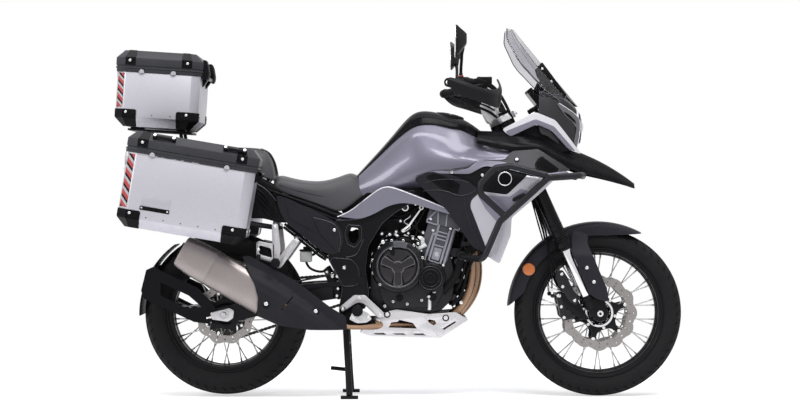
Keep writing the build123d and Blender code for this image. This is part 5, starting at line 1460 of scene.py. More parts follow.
def fender():
    s = fenderLook
    axle = Vector(wheelSizes["front"]["axle"])
    low, half = s["inner"] - 0.05, s["half"]
    profile = [(low, -half - 0.001), (s["inner"] - 0.016, -half), (s["inner"] - 0.004, -half + 0.006),
        (s["inner"] + 0.001, -half * 0.62), (s["inner"] + 0.0035, 0)]
    profile = profile + [(r, -y) for r, y in reversed(profile[:-1])]
    turns, across = 60, len(profile) - 1

    def place(i, j):
        a = radians(8) + (radians(218) - radians(8)) * j / turns
        r, y = profile[i]
        return axle + Vector((cos(a) * r, y, sin(a) * r))

    shell = sheet("fenderShell", across, turns, place)
    addSmoothing(shell, 2)
    addWall(shell, s["wall"])
    applyAll(shell)
    edit(shell)
    closeEdit()
    view = [
        (0.414, 0.346), (0.42, 0.42), (0.442, 0.48), (0.478, 0.545), (0.536, 0.612), (0.62, 0.664),
        (0.7, 0.694), (0.784, 0.702), (0.874, 0.69), (0.958, 0.64), (0.88, 0.635), (0.812, 0.634),
        (0.76, 0.612), (0.726, 0.56), (0.64, 0.52), (0.59, 0.47), (0.52, 0.44), (0.452, 0.378),
    ]
    cut(shell, plate("cutter", softened(view, 0.02), -0.2, 0.2), "EXACT", "INTERSECT")
    settle(smooth(shell, 35), "steering", "soft_black", "fender_black", replaces=("front_fender",))

    def guardForm(x, z):
        t = max(0.0, min(1.0, (z - 0.545) / 0.115))
        return 0.1375 - 0.071 * t * t * (3 - 2 * t) - 2.2 * (x - 0.735 + (z - 0.5) * 0.42) ** 2

    guard = [(0.676, 0.652), (0.664, 0.58), (0.735, 0.408), (0.77, 0.384), (0.812, 0.376),
        (0.806, 0.424), (0.732, 0.6), (0.738, 0.64), (0.712, 0.66)]
    panel = skinPanel("forkGuardSkin", softened(guard, 0.014), guardForm, 0.0035, 0.0014, cell=0.006)
    settle(bothSides(panel), "steering", "soft_black", "fender_black", replaces=("front_fender",))
    screws = [facing((x, -guardForm(x, z) - 0.0005, z), (0, -1, 0))
        for x, z in ((0.7265, 0.507), (0.754, 0.452))]
    settle(bothSides(repeated("forkGuardScrews", capHead(0.0066, 0.0035), screws)), "steering",
        "soft_black", "bolt_steel")
    stays = []
    for x, z in ((0.715, 0.507), (0.742, 0.452)):
        stays.append(pin("stay", (x, -0.1345, z), (x - 0.03, -0.104, z), 0.006, 16))
    settle(bothSides(joined("forkGuardStays", stays)), "steering", "soft_black",
        replaces=("front_fender",))
    lens = spun("fenderReflector", [(0, 0.006), (0.02, 0.0055), (0.0235, 0.004), (0.0245, 0.0),
        (0, 0.0)], (0.505, -0.0645, 0.5), 40, (0, -1, 0))
    settle(bothSides(lens), "steering", "soft_black", "amber_lens")


beak()
noseCowl()
fender()


def sideAndTail():
    panel = [(-0.484, 0.792), (-0.44, 0.78), (-0.263, 0.696), (-0.228, 0.664), (-0.218, 0.614),
        (-0.236, 0.56), (-0.288, 0.562), (-0.44, 0.68), (-0.468, 0.73)]

    def form(x, z):
        # the cover swells a little at half its height
        return 0.1385 + 0.006 * sin(max(0, min(1, (z - 0.56) / 0.22)) * pi)

    skin = skinPanel("sideCover", softened(panel, 0.022), form, 0.01, 0.003, segments=3)
    settle(bothSides(skin), "chassis", "soft_black", "guard_black", replaces=("side_panels",))
    facet = [(-0.3414, 0.7071), (-0.2615, 0.692), (-0.2355, 0.6617), (-0.2226, 0.6099),
        (-0.2377, 0.5623), (-0.309, 0.6401)]
    raised = skinPanel("sideCoverFacet", softened(facet, 0.012), form, 0.008, 0.0025, lift=0.0035)
    settle(bothSides(raised), "chassis", "soft_black", "guard_black", replaces=("side_panels",))
    upper = [(-0.446, 0.76), (-0.34, 0.71), (-0.325, 0.645), (-0.43, 0.7)]
    second = skinPanel("sideCoverPanel", softened(upper, 0.01), form, 0.006, 0.002, lift=0.002)
    settle(bothSides(second), "chassis", "soft_black", "guard_black", replaces=("side_panels",))
    # a thin grey line along the facet's edge: a painted highlight
    bead = [(-0.336, 0.7035), (-0.264, 0.6885), (-0.239, 0.66), (-0.2265, 0.61), (-0.2385, 0.57)]
    edge = pipe("sideCoverHighlight", [(x, -form(x, z) - 0.0034, z) for x, z in bead], 0.0014, sides=4)
    settle(bothSides(edge), "chassis", "soft_black", "edge_grey")
    screw = [facing((-0.255, -form(-0.255, 0.654) - 0.004, 0.654), (0, -1, 0))]
    settle(bothSides(repeated("sideCoverScrews", capHead(0.0062, 0.003), screw)), "chassis",
        "soft_black", "bolt_steel")
    rows = [(-0.905, 0.868, 0.058, 0.908, 0.066), (-0.8, 0.838, 0.084, 0.902, 0.088),
        (-0.66, 0.8, 0.098, 0.884, 0.11), (-0.56, 0.76, 0.106, 0.86, 0.114),
        (-0.47, 0.7, 0.112, 0.812, 0.114)]
    rings = []
    for i in range(9):
        x = -0.905 + 0.435 * i / 8
        low, halfLow, high, halfHigh = rowAt(rows, x)
        half = [(x, -halfLow * 0.3, low - 0.002), (x, -halfLow * 0.9, low), (x, -halfLow, low + 0.012),
            (x, -halfHigh, high - 0.012), (x, -halfHigh * 0.94, high)]
        rings.append(mirroredRing(half + [(x, 0, high)]))
    tail = cageBody("tailShell", rings, 0.003, [0, 0.3, 0.3, 0.4, 0.4, 0, 0.4, 0.4, 0.3, 0.3, 0], 2, 3)
    settle(tail, "chassis", "soft_black", replaces=("tail_unit",))
    fluted = [(-0.6, 0.85), (-0.56, 0.838), (-0.508, 0.802), (-0.484, 0.768), (-0.435, 0.682),
        (-0.478, 0.686), (-0.532, 0.7), (-0.586, 0.7), (-0.6, 0.77)]
    fins = [rounded(plate("flutedPanel", softened(fluted, 0.014), side * 0.118, side * 0.131),
        0.004, 3, 30) for side in (-1, 1)]
    for side in (-1, 1):
        for k in range(4):
            path = [(-0.592 + 0.016 * k, side * 0.131, 0.835 - 0.024 * k),
                (-0.55 + 0.004 * k, side * 0.131, 0.815 - 0.024 * k),
                (-0.515 + 0.002 * k, side * 0.131, 0.775 - 0.022 * k),
                (-0.475 - 0.006 * k, side * 0.131, 0.704 - 0.002 * k)]
            fins.append(pipe("flute", path, 0.0045, radii=[0.4, 1, 1, 0.4]))
    settle(joined("flutedPanels", fins), "chassis", "soft_black", "gloss_black")
    # thin grey lines along the fluted panels' upper edges: painted highlights
    line = [(-0.6, 0.853), (-0.558, 0.84), (-0.506, 0.804), (-0.482, 0.77)]
    edges = [pipe("panelEdge", [(x, side * 0.1305, z - 0.002) for x, z in line], 0.0022)
        for side in (-1, 1)]
    settle(joined("flutedHighlights", edges), "chassis", "soft_black", "edge_grey")
    lamp = rounded(block("tailLamp", (-0.922, -0.052, 0.872), (-0.9, 0.052, 0.902)), 0.006, 3)
    settle(lamp, "chassis", "soft_black", "red_lens", replaces=("tail_unit",))
    stems, pods = [], []
    for side in (-1, 1):
        stems.append(pin("stem", (-0.89, side * 0.05, 0.876), (-0.898, side * 0.114, 0.87), 0.0065, 16))
        pods.append(rounded(block("pod", (-0.913, side * 0.128 - 0.015, 0.857),
            (-0.885, side * 0.128 + 0.015, 0.881)), 0.008, 4))
    settle(joined("indicatorStems", stems), "chassis", "soft_black", replaces=("tail_unit",))
    settle(joined("rearIndicators", pods), "chassis", "soft_black", "amber_lens",
        replaces=("tail_unit",))


sideAndTail()
print("bodywork is in")


# length, width, height, upright bevel, lid height, lid bevel, foot x and z, side, tilt in degrees
caseSizes = {
    "rightPannier": (0.486, 0.245, 0.276, 0.038, 0.084, 0.042, -0.826, 0.640, -0.3535, 9.6),
    "leftPannier": (0.486, 0.245, 0.276, 0.038, 0.084, 0.042, -0.826, 0.640, 0.3535, 9.6),
    "topCase": (0.322, 0.400, 0.208, 0.034, 0.084, 0.038, -0.945, 1.052, 0.0, 3.6),
}
caseLook = {"wall": 0.004, "foot": 0.034, "shoulder": 0.03, "overhang": 0.008,
    "rivet": 0.0052, "smallRivet": 0.0024}


def casePlace(case):
    x, z, y, tilt = caseSizes[case][6:]
    return Matrix.Translation((x, y, z)) @ Matrix.Rotation(radians(tilt), 4, "Y")


def octagon(length, width, bevel):
    a, b = length / 2, width / 2
    return [(a - bevel, -b), (a, -b + bevel), (a, b - bevel), (a - bevel, b), (-a + bevel, b),
        (-a, b - bevel), (-a, -b + bevel), (-a + bevel, -b)]


def caseShell(name, length, width, height, bevel):
    s = caseLook
    outer = lathedBox(name, length, width, bevel, [(0, s["foot"]), (s["foot"], 0), (height, 0)])
    w, f = s["wall"], s["foot"] - 0.0016
    inner = lathedBox("inner", length - 2 * w, width - 2 * w, bevel - 0.0016,
        [(w, f), (w + f, 0), (height + 0.02, 0)])
    cut(outer, inner)
    return rounded(outer, 0.0016, 2, 30)


def lidShell(name, length, width, height, lidHeight, bevel):
    # a stepped lid: gasket ridges below, an upright band, and sloped shoulders up to the flat top
    s = caseLook
    long, wide = length + 2 * s["overhang"], width + 2 * s["overhang"]
    low = height + 0.001
    slices = [(0, 0.0035), (0.012, 0.0035), (0.0135, 0.0), (0.0185, 0.0), (0.02, 0.004),
        (0.0235, 0.004), (0.025, 0.0005), (lidHeight - s["shoulder"] - 0.001, 0.0005),
        (lidHeight - s["shoulder"] + 0.001, 0.002), (lidHeight, s["shoulder"] + 0.001)]
    outer = lathedBox(name, long, wide, bevel, [(low + z, inset) for z, inset in slices])
    wall = 0.005
    inner = lathedBox("inner", long, wide, bevel, [(low - 0.01, wall + 0.004),
        (low + lidHeight - s["shoulder"], wall + 0.004),
        (low + lidHeight - wall, s["shoulder"] + wall)])
    cut(outer, inner)
    return rounded(outer, 0.0014, 2, 30)


def lathedBox(name, length, width, bevel, slices):
    # a closed body through octagon sections; each slice is a height and how far the
    # section is drawn in there
    piece = started(name, 8, True)
    for vertex, (x, y) in zip(piece.data.vertices,
            octagon(length - 2 * slices[0][1], width - 2 * slices[0][1],
            max(0.004, bevel - 0.586 * slices[0][1]))):
        vertex.co = (x, y, slices[0][0])
    edit(piece)
    for previous, (z, inset) in zip(slices, slices[1:]):
        extrude(0, 0, z - previous[0])
        done()
        target = octagon(length - 2 * inset, width - 2 * inset, max(0.004, bevel - 0.586 * inset))
        source = octagon(length - 2 * previous[1], width - 2 * previous[1],
            max(0.004, bevel - 0.586 * previous[1]))
        for vertex in piece.data.vertices:
            if vertex.select:
                nearest = min(range(8), key=lambda i: (Vector(source[i]) - vertex.co.xy).length)
                vertex.co.xy = target[nearest]
        bpy.ops.object.mode_set(mode="EDIT")
    closeEdit()
    return piece


def cornerPieces(length, width, bevel, side):
    # folded black corner pieces at the foot, with leaves on the walls and on the upright bevel
    s = caseLook
    out, foot = 0.0022, s["foot"]
    pieces = []
    for end in (-1, 1):
        x, y = end * length / 2, side * width / 2
        leaf = 0.05
        back, front = x - end * (bevel + leaf), x - end * (bevel - 0.004)
        shape = [(back, foot), (back, 0.06), (back + end * 0.005, 0.065), (front, 0.065), (front, foot)]
        wall = plate("wall", shape, y - side * 0.0005, y + side * out)
        pieces.append(tidyMesh(wall))
        # leaves on the upright bevel, the end wall and the sloped foot below all three
        k = 0.586 * foot
        c, d = (x - end * bevel, y), (x, y - side * bevel)
        low = ((x - end * (foot + bevel - k), y - side * foot),
            (x - end * foot, y - side * (foot + bevel - k)))
        reach = y - side * (bevel + leaf * 0.7)
        leaves = [
            [(back, y, foot), (front, y, foot), (*low[0], 0), (back, y - side * foot, 0)],
            [(*c, 0.065), (*d, 0.065), (*d, foot), (*c, foot)],
            [(*c, foot), (*d, foot), (*low[1], 0), (*low[0], 0)],
            [(*d, 0.065), (x, reach, 0.065), (x, reach, foot), (*d, foot)],
            [(*d, foot), (x, reach, foot), (x - end * foot, reach, 0), (*low[1], 0)],
        ]
        for leafCorners in leaves:
            flat = started("leaf", 4, True)
            for vertex, co in zip(flat.data.vertices, leafCorners):
                vertex.co = co
            pieces.append(thickened(flat, 0.0026))
    return joined("cornerPieces", pieces)


def thickened(piece, thickness):
    edit(piece)
    closeEdit()
    addWall(piece, 2 * thickness)
    applyAll(piece)
    return rounded(piece, 0.0008, 1, 30)


def stripes(name, corners, count, lean):
    # a reflective strip of slanting bands on a flat patch; its four corners are given
    # from the top left one round to the bottom left one
    a, b, _, d = (Vector(p) for p in corners)
    normal = (d - a).cross(b - a).normalized()
    groups = {"red": [], "black": [], "pale": []}

    def at(u, v):
        return a + (b - a) * u + (d - a) * v + normal * 0.0009

    pitch = 1.0 / count
    for i in range(-2, count + 3):
        for kind, start, end in (("pale", 0.0, 0.3), ("red", 0.3, 0.74), ("black", 0.74, 1.0)):
            v0, v1 = (i + start) * pitch, (i + end) * pitch
            quad = [(0, v0), (0, v1), (1, v1 + lean), (1, v0 + lean)]
            clipped = clipBand(quad)
            if len(clipped) < 3:
                continue
            band = started("band", len(clipped), True)
            for vertex, (u, v) in zip(band.data.vertices, clipped):
                vertex.co = at(u, v)
            groups[kind].append(band)
    looks = {"red": "stripe_red", "black": "gloss_black", "pale": "stripe_pale"}
    for kind, bands in groups.items():
        piece = joined(name + kind.title(), bands)
        addWall(piece, 0.0006)
        applyAll(piece)
        settle(piece, "chassis", "case_alloy", looks[kind])


def clipBand(quad):
    # the part of the band between v = 0 and v = 1
    points = quad
    for keep in (lambda v: v >= 0, lambda v: v <= 1):
        limit, result = (0 if keep(0.5) and not keep(-1) else 1), []
        for p, q in zip(points, points[1:] + points[:1]):
            if keep(p[1]):
                result.append(p)
            if keep(p[1]) != keep(q[1]):
                t = (limit - p[1]) / (q[1] - p[1])
                result.append((p[0] + (q[0] - p[0]) * t, limit))
        points = result
        if not points:
            return []
    return points


def dressCase(case, lidBody):
    s = caseLook
    length, width, height, bevel, lidHeight, lidBevel = caseSizes[case][:6]
    place = casePlace(case)

    def put(piece, onBody, slot, look=None):
        piece.data.transform(place)
        return settle(piece, onBody, slot, look)

    shell = caseShell(case + "Shell", length, width, height, bevel)
    put(shell, "chassis", "case_alloy")
    lid = lidShell(case + "Lid", length, width, height, lidHeight, lidBevel)
    put(lid, lidBody, "lid_black")
    corners, rivets, smallRivets, tabs, lidRivets, caps, bars, barBolts = [], [], [], [], [], [], [], []
    for side in (-1, 1):
        corners.append(cornerPieces(length, width, bevel, side))
        y = side * width / 2
        for end in (-1, 1):
            x = end * (length / 2 - bevel)
            rivets.append(facing((x - end * 0.01, y + side * 0.0022, 0.052), (0, side, 0)))
            rivets.append(facing((end * (length / 2 + 0.0022), y - side * (bevel + 0.012), 0.052),
                (end, 0, 0)))
        count = 5 if length > 0.4 else 3
        for k in range(count):
            x = -length * 0.27 + length * (0.54 if count == 5 else 0.44) * k / (count - 1)
            smallRivets.append(facing((x, y, 0.044), (0, side, 0)))
        low = height + 0.001
        for x in (-length * 0.3, length * 0.28) if length > 0.4 else (-length * 0.2, length * 0.18):
            tab = plate("tab", arcOf((x - 0.009, low - 0.004), (x, low + 0.011),
                (x + 0.009, low - 0.004), 10), y + side * 0.0075 - 0.0012, y + side * 0.0075 + 0.0012)
            tabs.append(rounded(tab, 0.0005, 1, 40))
        band = low + lidHeight - s["shoulder"] - 0.012
        outer = y + side * (s["overhang"] - 0.0005)
        for end in (-1, 1):
            x = end * (length / 2 + s["overhang"] - lidBevel)
            cap = plate("cap", [(x - end * 0.042, low + 0.0255),
                (x - end * 0.042, low + lidHeight - s["shoulder"]),
                (x - end * 0.002, low + lidHeight - s["shoulder"]), (x - end * 0.002, low + 0.0255)],
                outer - 0.0014, outer + 0.0014)
            caps.append(rounded(tidyMesh(cap), 0.0008, 1, 30))
            shoulderTop = started("shoulderTop", 4, True)
            for vertex, co in zip(shoulderTop.data.vertices,
                    [(x - end * 0.042, outer, low + lidHeight - s["shoulder"]),
                    (x - end * 0.002, outer, low + lidHeight - s["shoulder"]),
                    (x - end * 0.014, outer - side * s["shoulder"], low + lidHeight),
                    (x - end * 0.042, outer - side * s["shoulder"], low + lidHeight)]):
                vertex.co = co
            caps.append(thickened(shoulderTop, 0.0022))
            lidRivets.append(facing((x - end * 0.02, outer + side * 0.0012, band), (0, side, 0)))
    put(joined(case + "Corners", corners), "chassis", "case_alloy", "gloss_black")
    put(repeated(case + "Rivets", capHead(s["rivet"], 0.003), rivets), "chassis", "case_alloy",
        "bolt_steel")
    put(repeated(case + "SmallRivets", capHead(s["smallRivet"], 0.0014), smallRivets), "chassis",
        "case_alloy", "crash_steel")
    put(joined(case + "Tabs", tabs), lidBody, "lid_black", "wing_silver")
    put(joined(case + "LidCaps", caps), lidBody, "lid_black", "gloss_black")
    put(repeated(case + "LidRivets", capHead(s["rivet"], 0.003), lidRivets), lidBody, "lid_black",
        "bolt_steel")
    # reflective strips on the rear upright bevels
    for side in (-1, 1):
        x, y = -length / 2, side * width / 2
        near = (x + bevel - 0.005, y - side * 0.005)
        far = (x + 0.005, y - side * (bevel - 0.005))
        top, foot = height - 0.004, 0.072
        if side < 0:
            quad = [(far[0], far[1], top), (near[0], near[1], top), (near[0], near[1], foot),
                (far[0], far[1], foot)]
        else:
            quad = [(near[0], near[1], top), (far[0], far[1], top), (far[0], far[1], foot),
                (near[0], near[1], foot)]
        world = [place @ Vector(p) for p in quad]
        stripes(case + ("Right" if side < 0 else "Left"), world, 4 if height < 0.25 else 5,
            (0.18 if height < 0.25 else 0.13) * -side)
    # lashing bars on the outer shoulder of each pannier's lid
    for side in {"rightPannier": (-1,), "leftPannier": (1,), "topCase": ()}[case]:
        low = height + 0.001
        y = side * (width / 2 + s["overhang"] - s["shoulder"] * 0.42)
        z = low + lidHeight - s["shoulder"] * 0.58
        out = Vector((0, side, 1)).normalized()
        for middle in (-length * 0.23, length * 0.32):
            ends = []
            for end in (-1, 1):
                base = Vector((middle + end * 0.036, y, z))
                bars.append(pin("post", base - out * 0.003, base + out * 0.013, 0.0085, 20, 0.002))
                barBolts.append(facing(base + out * 0.0125, out))
                ends.append(base + out * 0.008)
            bars.append(pin("bar", ends[0], ends[1], 0.006, 16))
    if bars:
        put(joined(case + "LashingBars", bars), lidBody, "lid_black", "gloss_black")
        put(repeated(case + "BarBolts", capHead(0.0062, 0.004), barBolts), lidBody, "lid_black",
            "bolt_steel")


def caseHinge(case, lidBody):
    length, _, height = caseSizes[case][:3]
    place = casePlace(case)
    x, z = length / 2 + 0.017, height
    pieces = [pin("pin", (x, -0.082, z), (x, 0.082, z), 0.004, 16)]
    for side in (-1, 1):
        a, b = sorted((side * 0.0554, side * 0.082))
        pieces.append(pin("knuckle", (x, a, z), (x, b, z), 0.008, 24, 0.001))
        leaf = plate("leaf", [(length / 2 - 0.001, z - 0.034), (length / 2 + 0.003, z - 0.036),
            (x + 0.006, z - 0.004), (x - 0.002, z + 0.004), (length / 2 - 0.001, z - 0.002)], a, b)
        pieces.append(rounded(tidyMesh(leaf), 0.001, 2, 30))
    hinge = joined(case + "Hinge", pieces)
    hinge.data.transform(place)
    settle(hinge, "chassis", "case_alloy", "gloss_black")
    sleeve = spun("sleeve", [(0.0041, -0.055), (0.0076, -0.055), (0.008, -0.0546), (0.008, 0.0546),
        (0.0076, 0.055), (0.0041, 0.055)], (x, 0, z), 24, (0, 1, 0))
    leaf = rounded(block("leaf", (length / 2 + 0.006, -0.054, z + 0.002), (x, 0.054, z + 0.0075)),
        0.001, 2)
    handle = joined(case + "LidHinge", [sleeve, leaf])
    handle.data.transform(place)
    settle(handle, lidBody, "lid_black", "gloss_black")


def wireLatch(case):
    # a bent wire catch at the back of the case and the hook it pulls on
    length, width, height = caseSizes[case][:3]
    place = casePlace(case)
    x, z = -length / 2, height
    wires, plates = [], []
    for y in (-width * 0.2, width * 0.2):
        wires.append(pipe("wire", [(x - 0.004, y - 0.014, z - 0.058), (x - 0.009, y - 0.015, z - 0.03),
            (x - 0.013, y - 0.013, z + 0.01), (x - 0.0135, y, z + 0.016),
            (x - 0.013, y + 0.013, z + 0.01), (x - 0.009, y + 0.015, z - 0.03),
            (x - 0.004, y + 0.014, z - 0.058)], 0.002, steps=8))
        plates.append(rounded(block("base", (x - 0.005, y - 0.02, z - 0.078),
            (x + 0.0005, y + 0.02, z - 0.05)), 0.0015, 2))
        plates.append(rounded(block("lever", (x - 0.0085, y - 0.013, z - 0.07),
            (x - 0.004, y + 0.013, z - 0.03)), 0.0015, 2))
    latch = joined(case + "Latches", wires + plates)
    latch.data.transform(place)
    settle(latch, "chassis", "case_alloy", "bolt_steel")


def bluntPlate():
    # a blank data plate with a dark strip under it, on the right pannier
    case = "rightPannier"
    length, width = caseSizes[case][:2]
    place, y = casePlace(case), -width / 2
    panel = rounded(block("plate", (-length * 0.325, y - 0.0014, 0.088),
        (-length * 0.325 + 0.108, y + 0.0004, 0.125)), 0.0006, 2)
    strip = rounded(block("strip", (-length * 0.33, y - 0.0022, 0.071),
        (-length * 0.33 + 0.112, y + 0.0004, 0.086)), 0.0006, 2)
    studs = [facing((-length * 0.33 + x, y - 0.0022, 0.0785), (0, -1, 0)) for x in (0.007, 0.105)]
    for piece, look in ((panel, "wing_silver"), (strip, "gloss_black")):
        piece.name = case + piece.name.title()
        piece.data.transform(place)
        settle(piece, "chassis", "case_alloy", look)
    heads = repeated(case + "PlateStuds", capHead(0.0032, 0.0016), studs)
    heads.data.transform(place)
    settle(heads, "chassis", "case_alloy", "bolt_steel")


def topCaseBack():
    # the bulky hinge cover at the front top of the top case
    length, _, height = caseSizes["topCase"][:3]
    place = casePlace("topCase")
    x, z = length / 2 + 0.008, height
    outline = [(x - 0.004, z + 0.003), (x + 0.004, z - 0.008), (x + 0.014, z - 0.012),
        (x + 0.02, z - 0.004), (x + 0.022, z + 0.014), (x + 0.014, z + 0.05), (x + 0.006, z + 0.066),
        (x - 0.004, z + 0.066)]
    covers = []
    for side in (-1, 1):
        a, b = sorted((side * 0.094, side * 0.158))
        covers.append(rounded(plate("cover", softened(outline, 0.008), a, b), 0.004, 3, 30))
        for y in (side * 0.108, side * 0.126, side * 0.144):
            covers.append(rounded(plate("rib", softened([(p[0] + 0.0022, p[1]) for p in outline],
                0.008), y - 0.0035, y + 0.0035), 0.0015, 2, 30))
    piece = joined("topCaseHingeCovers", covers)
    piece.data.transform(place)
    settle(piece, "top_case_lid", "lid_black", "gloss_black")


# the nodes that each case's shell and lid stand for; a lid's body is named like its node
caseNodes = {
    "rightPannier": ("panniers", "right_pannier_lid"),
    "leftPannier": ("panniers", "left_pannier_lid"),
    "topCase": ("top_case", "top_case_lid"),
}
for case, (shellNode, lidNode) in caseNodes.items():
    dressCase(case, lidNode)
    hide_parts(shellNode)
    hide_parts(lidNode)
for case, (_, lidNode) in caseNodes.items():
    caseHinge(case, lidNode)
    wireLatch(case)
bluntPlate()
topCaseBack()
print("cases are in")


engineLook = {"lean": 17.0, "clutch": (-0.008, 0.515), "rotor": (0.118, 0.470), "rib": 0.0045}


def leaned(u, v):
    # a place on the barrel's side: u across it, v up it
    a = radians(engineLook["lean"])
    return (0.134 + u * cos(a) + v * sin(a), 0.566 - u * sin(a) + v * cos(a))


def boltsAt(name, places, direction=(0, -1, 0), radius=0.0055, height=0.005, look="bolt_steel",
        slot="engine_black", body="chassis"):
    heads = [facing(p, direction, turn=0.7 * i) for i, p in enumerate(places)]
    return settle(repeated(name, capHead(radius, height), heads), body, slot, look)


def crankcaseSkin():
    cx, cz = engineLook["clutch"]
    rx, rz = engineLook["rotor"]
    core = plate("core", softened([(-0.062, 0.612), (0.02, 0.632), (0.09, 0.604), (0.196, 0.566),
        (0.216, 0.48), (0.204, 0.384), (0.152, 0.334), (-0.06, 0.33)], 0.02), -0.118, 0.118)
    rear = plate("rear", softened([(-0.118, 0.4), (-0.112, 0.56), (-0.062, 0.612), (-0.04, 0.6),
        (-0.04, 0.345), (-0.06, 0.34), (-0.1, 0.356)], 0.015), -0.104, 0.0775)
    settle(rounded(core, 0.006, 3, 30), "chassis", "engine_black", replaces=("crankcase",))
    settle(rounded(rear, 0.005, 2, 30), "chassis", "engine_black", replaces=("crankcase",))
    # right-hand cover: a round clutch housing, the rotor housing and the web below them
    web = plate("web", softened([(-0.085, 0.44), (-0.066, 0.375), (-0.04, 0.352), (0.14, 0.354),
        (0.172, 0.42), (0.16, 0.5), (0.06, 0.56)], 0.02), -0.146, -0.117)
    web = rounded(web, 0.006, 3, 30)
    drum = spun("drum", [(0.0, -0.171), (0.094, -0.171), (0.099, -0.168), (0.102, -0.16),
        (0.104, -0.13), (0.107, -0.117), (0.0, -0.117)], (cx, 0, cz), 96)
    small = spun("small", [(0.0, -0.157), (0.052, -0.157), (0.056, -0.154), (0.059, -0.14),
        (0.061, -0.117), (0.0, -0.117)], (rx, 0, rz), 72)
    cover = joined("rightEngineCover", [web, drum, small])
    settle(cover, "chassis", "engine_black", replaces=("crankcase",))
    bosses, heads = [], []
    for a in (18, 52, 78, 104, 136, 168, 196, 226):
        x, z = cx + 0.1 * cos(radians(a)), cz + 0.1 * sin(radians(a))
        bosses.append(pin("boss", (x, -0.118, z), (x, -0.17, z), 0.0095, 20, 0.0015))
        heads.append((x, -0.1695, z))
    for x, z in ((0.157, 0.44), (0.166, 0.472), (0.132, 0.412), (0.084, 0.381), (0.028, 0.366),
            (-0.027, 0.376), (-0.059, 0.358), (0.15, 0.506)):
        bosses.append(pin("boss", (x, -0.118, z), (x, -0.149, z), 0.009, 20, 0.0015))
        heads.append((x, -0.1485, z))
    settle(joined("engineCoverBosses", bosses), "chassis", "engine_black")
    boltsAt("engineCoverBolts", heads)
    # oil filler, drain and the dark round plug with its ring
    plug = spun("plug", [(0, -0.156), (0.006, -0.156), (0.007, -0.153), (0.012, -0.153),
        (0.0135, -0.15), (0.0135, -0.145), (0, -0.145)], (-0.002, 0, 0.392), 32)
    cap = spun("cap", [(0, -0.163), (0.009, -0.163), (0.0105, -0.16), (0.0135, -0.16), (0.0155, -0.157),
        (0.0155, -0.145), (0, -0.145)], (0.126, 0, 0.396), 32)
    settle(joined("enginePlugs", [plug, cap]), "chassis", "engine_black", "soft_black")
    # left side covers
    left = spun("left", [(0, 0.166), (0.07, 0.166), (0.08, 0.163), (0.086, 0.155), (0.0875, 0.117),
        (0, 0.117)], (0.06, 0, 0.452), 72)
    second = spun("second", [(0, 0.144), (0.056, 0.144), (0.063, 0.139), (0.0655, 0.117), (0, 0.117)],
        (-0.062, 0, 0.47), 60)
    ring = spun("ring", [(0.052, 0.1655), (0.054, 0.1675), (0.066, 0.1675), (0.068, 0.1655)],
        (0.06, 0, 0.452), 72)
    settle(joined("leftEngineCovers", [left, second, ring]), "chassis", "engine_black",
        "engine_cover", replaces=("crankcase",))
    places = [(0.06 + 0.079 * cos(a), 0.1625, 0.452 + 0.079 * sin(a))
        for a in (k * pi / 4 + 0.3 for k in range(8))]
    boltsAt("leftCoverBolts", places, (0, 1, 0))
    feet = [rounded(block("lug", (0.19, side * 0.085 - 0.016, 0.548),
        (0.244, side * 0.085 + 0.016, 0.586)), 0.005, 3) for side in (-1, 1)]
    settle(joined("engineMounts", feet), "chassis", "engine_black", replaces=("crankcase",))


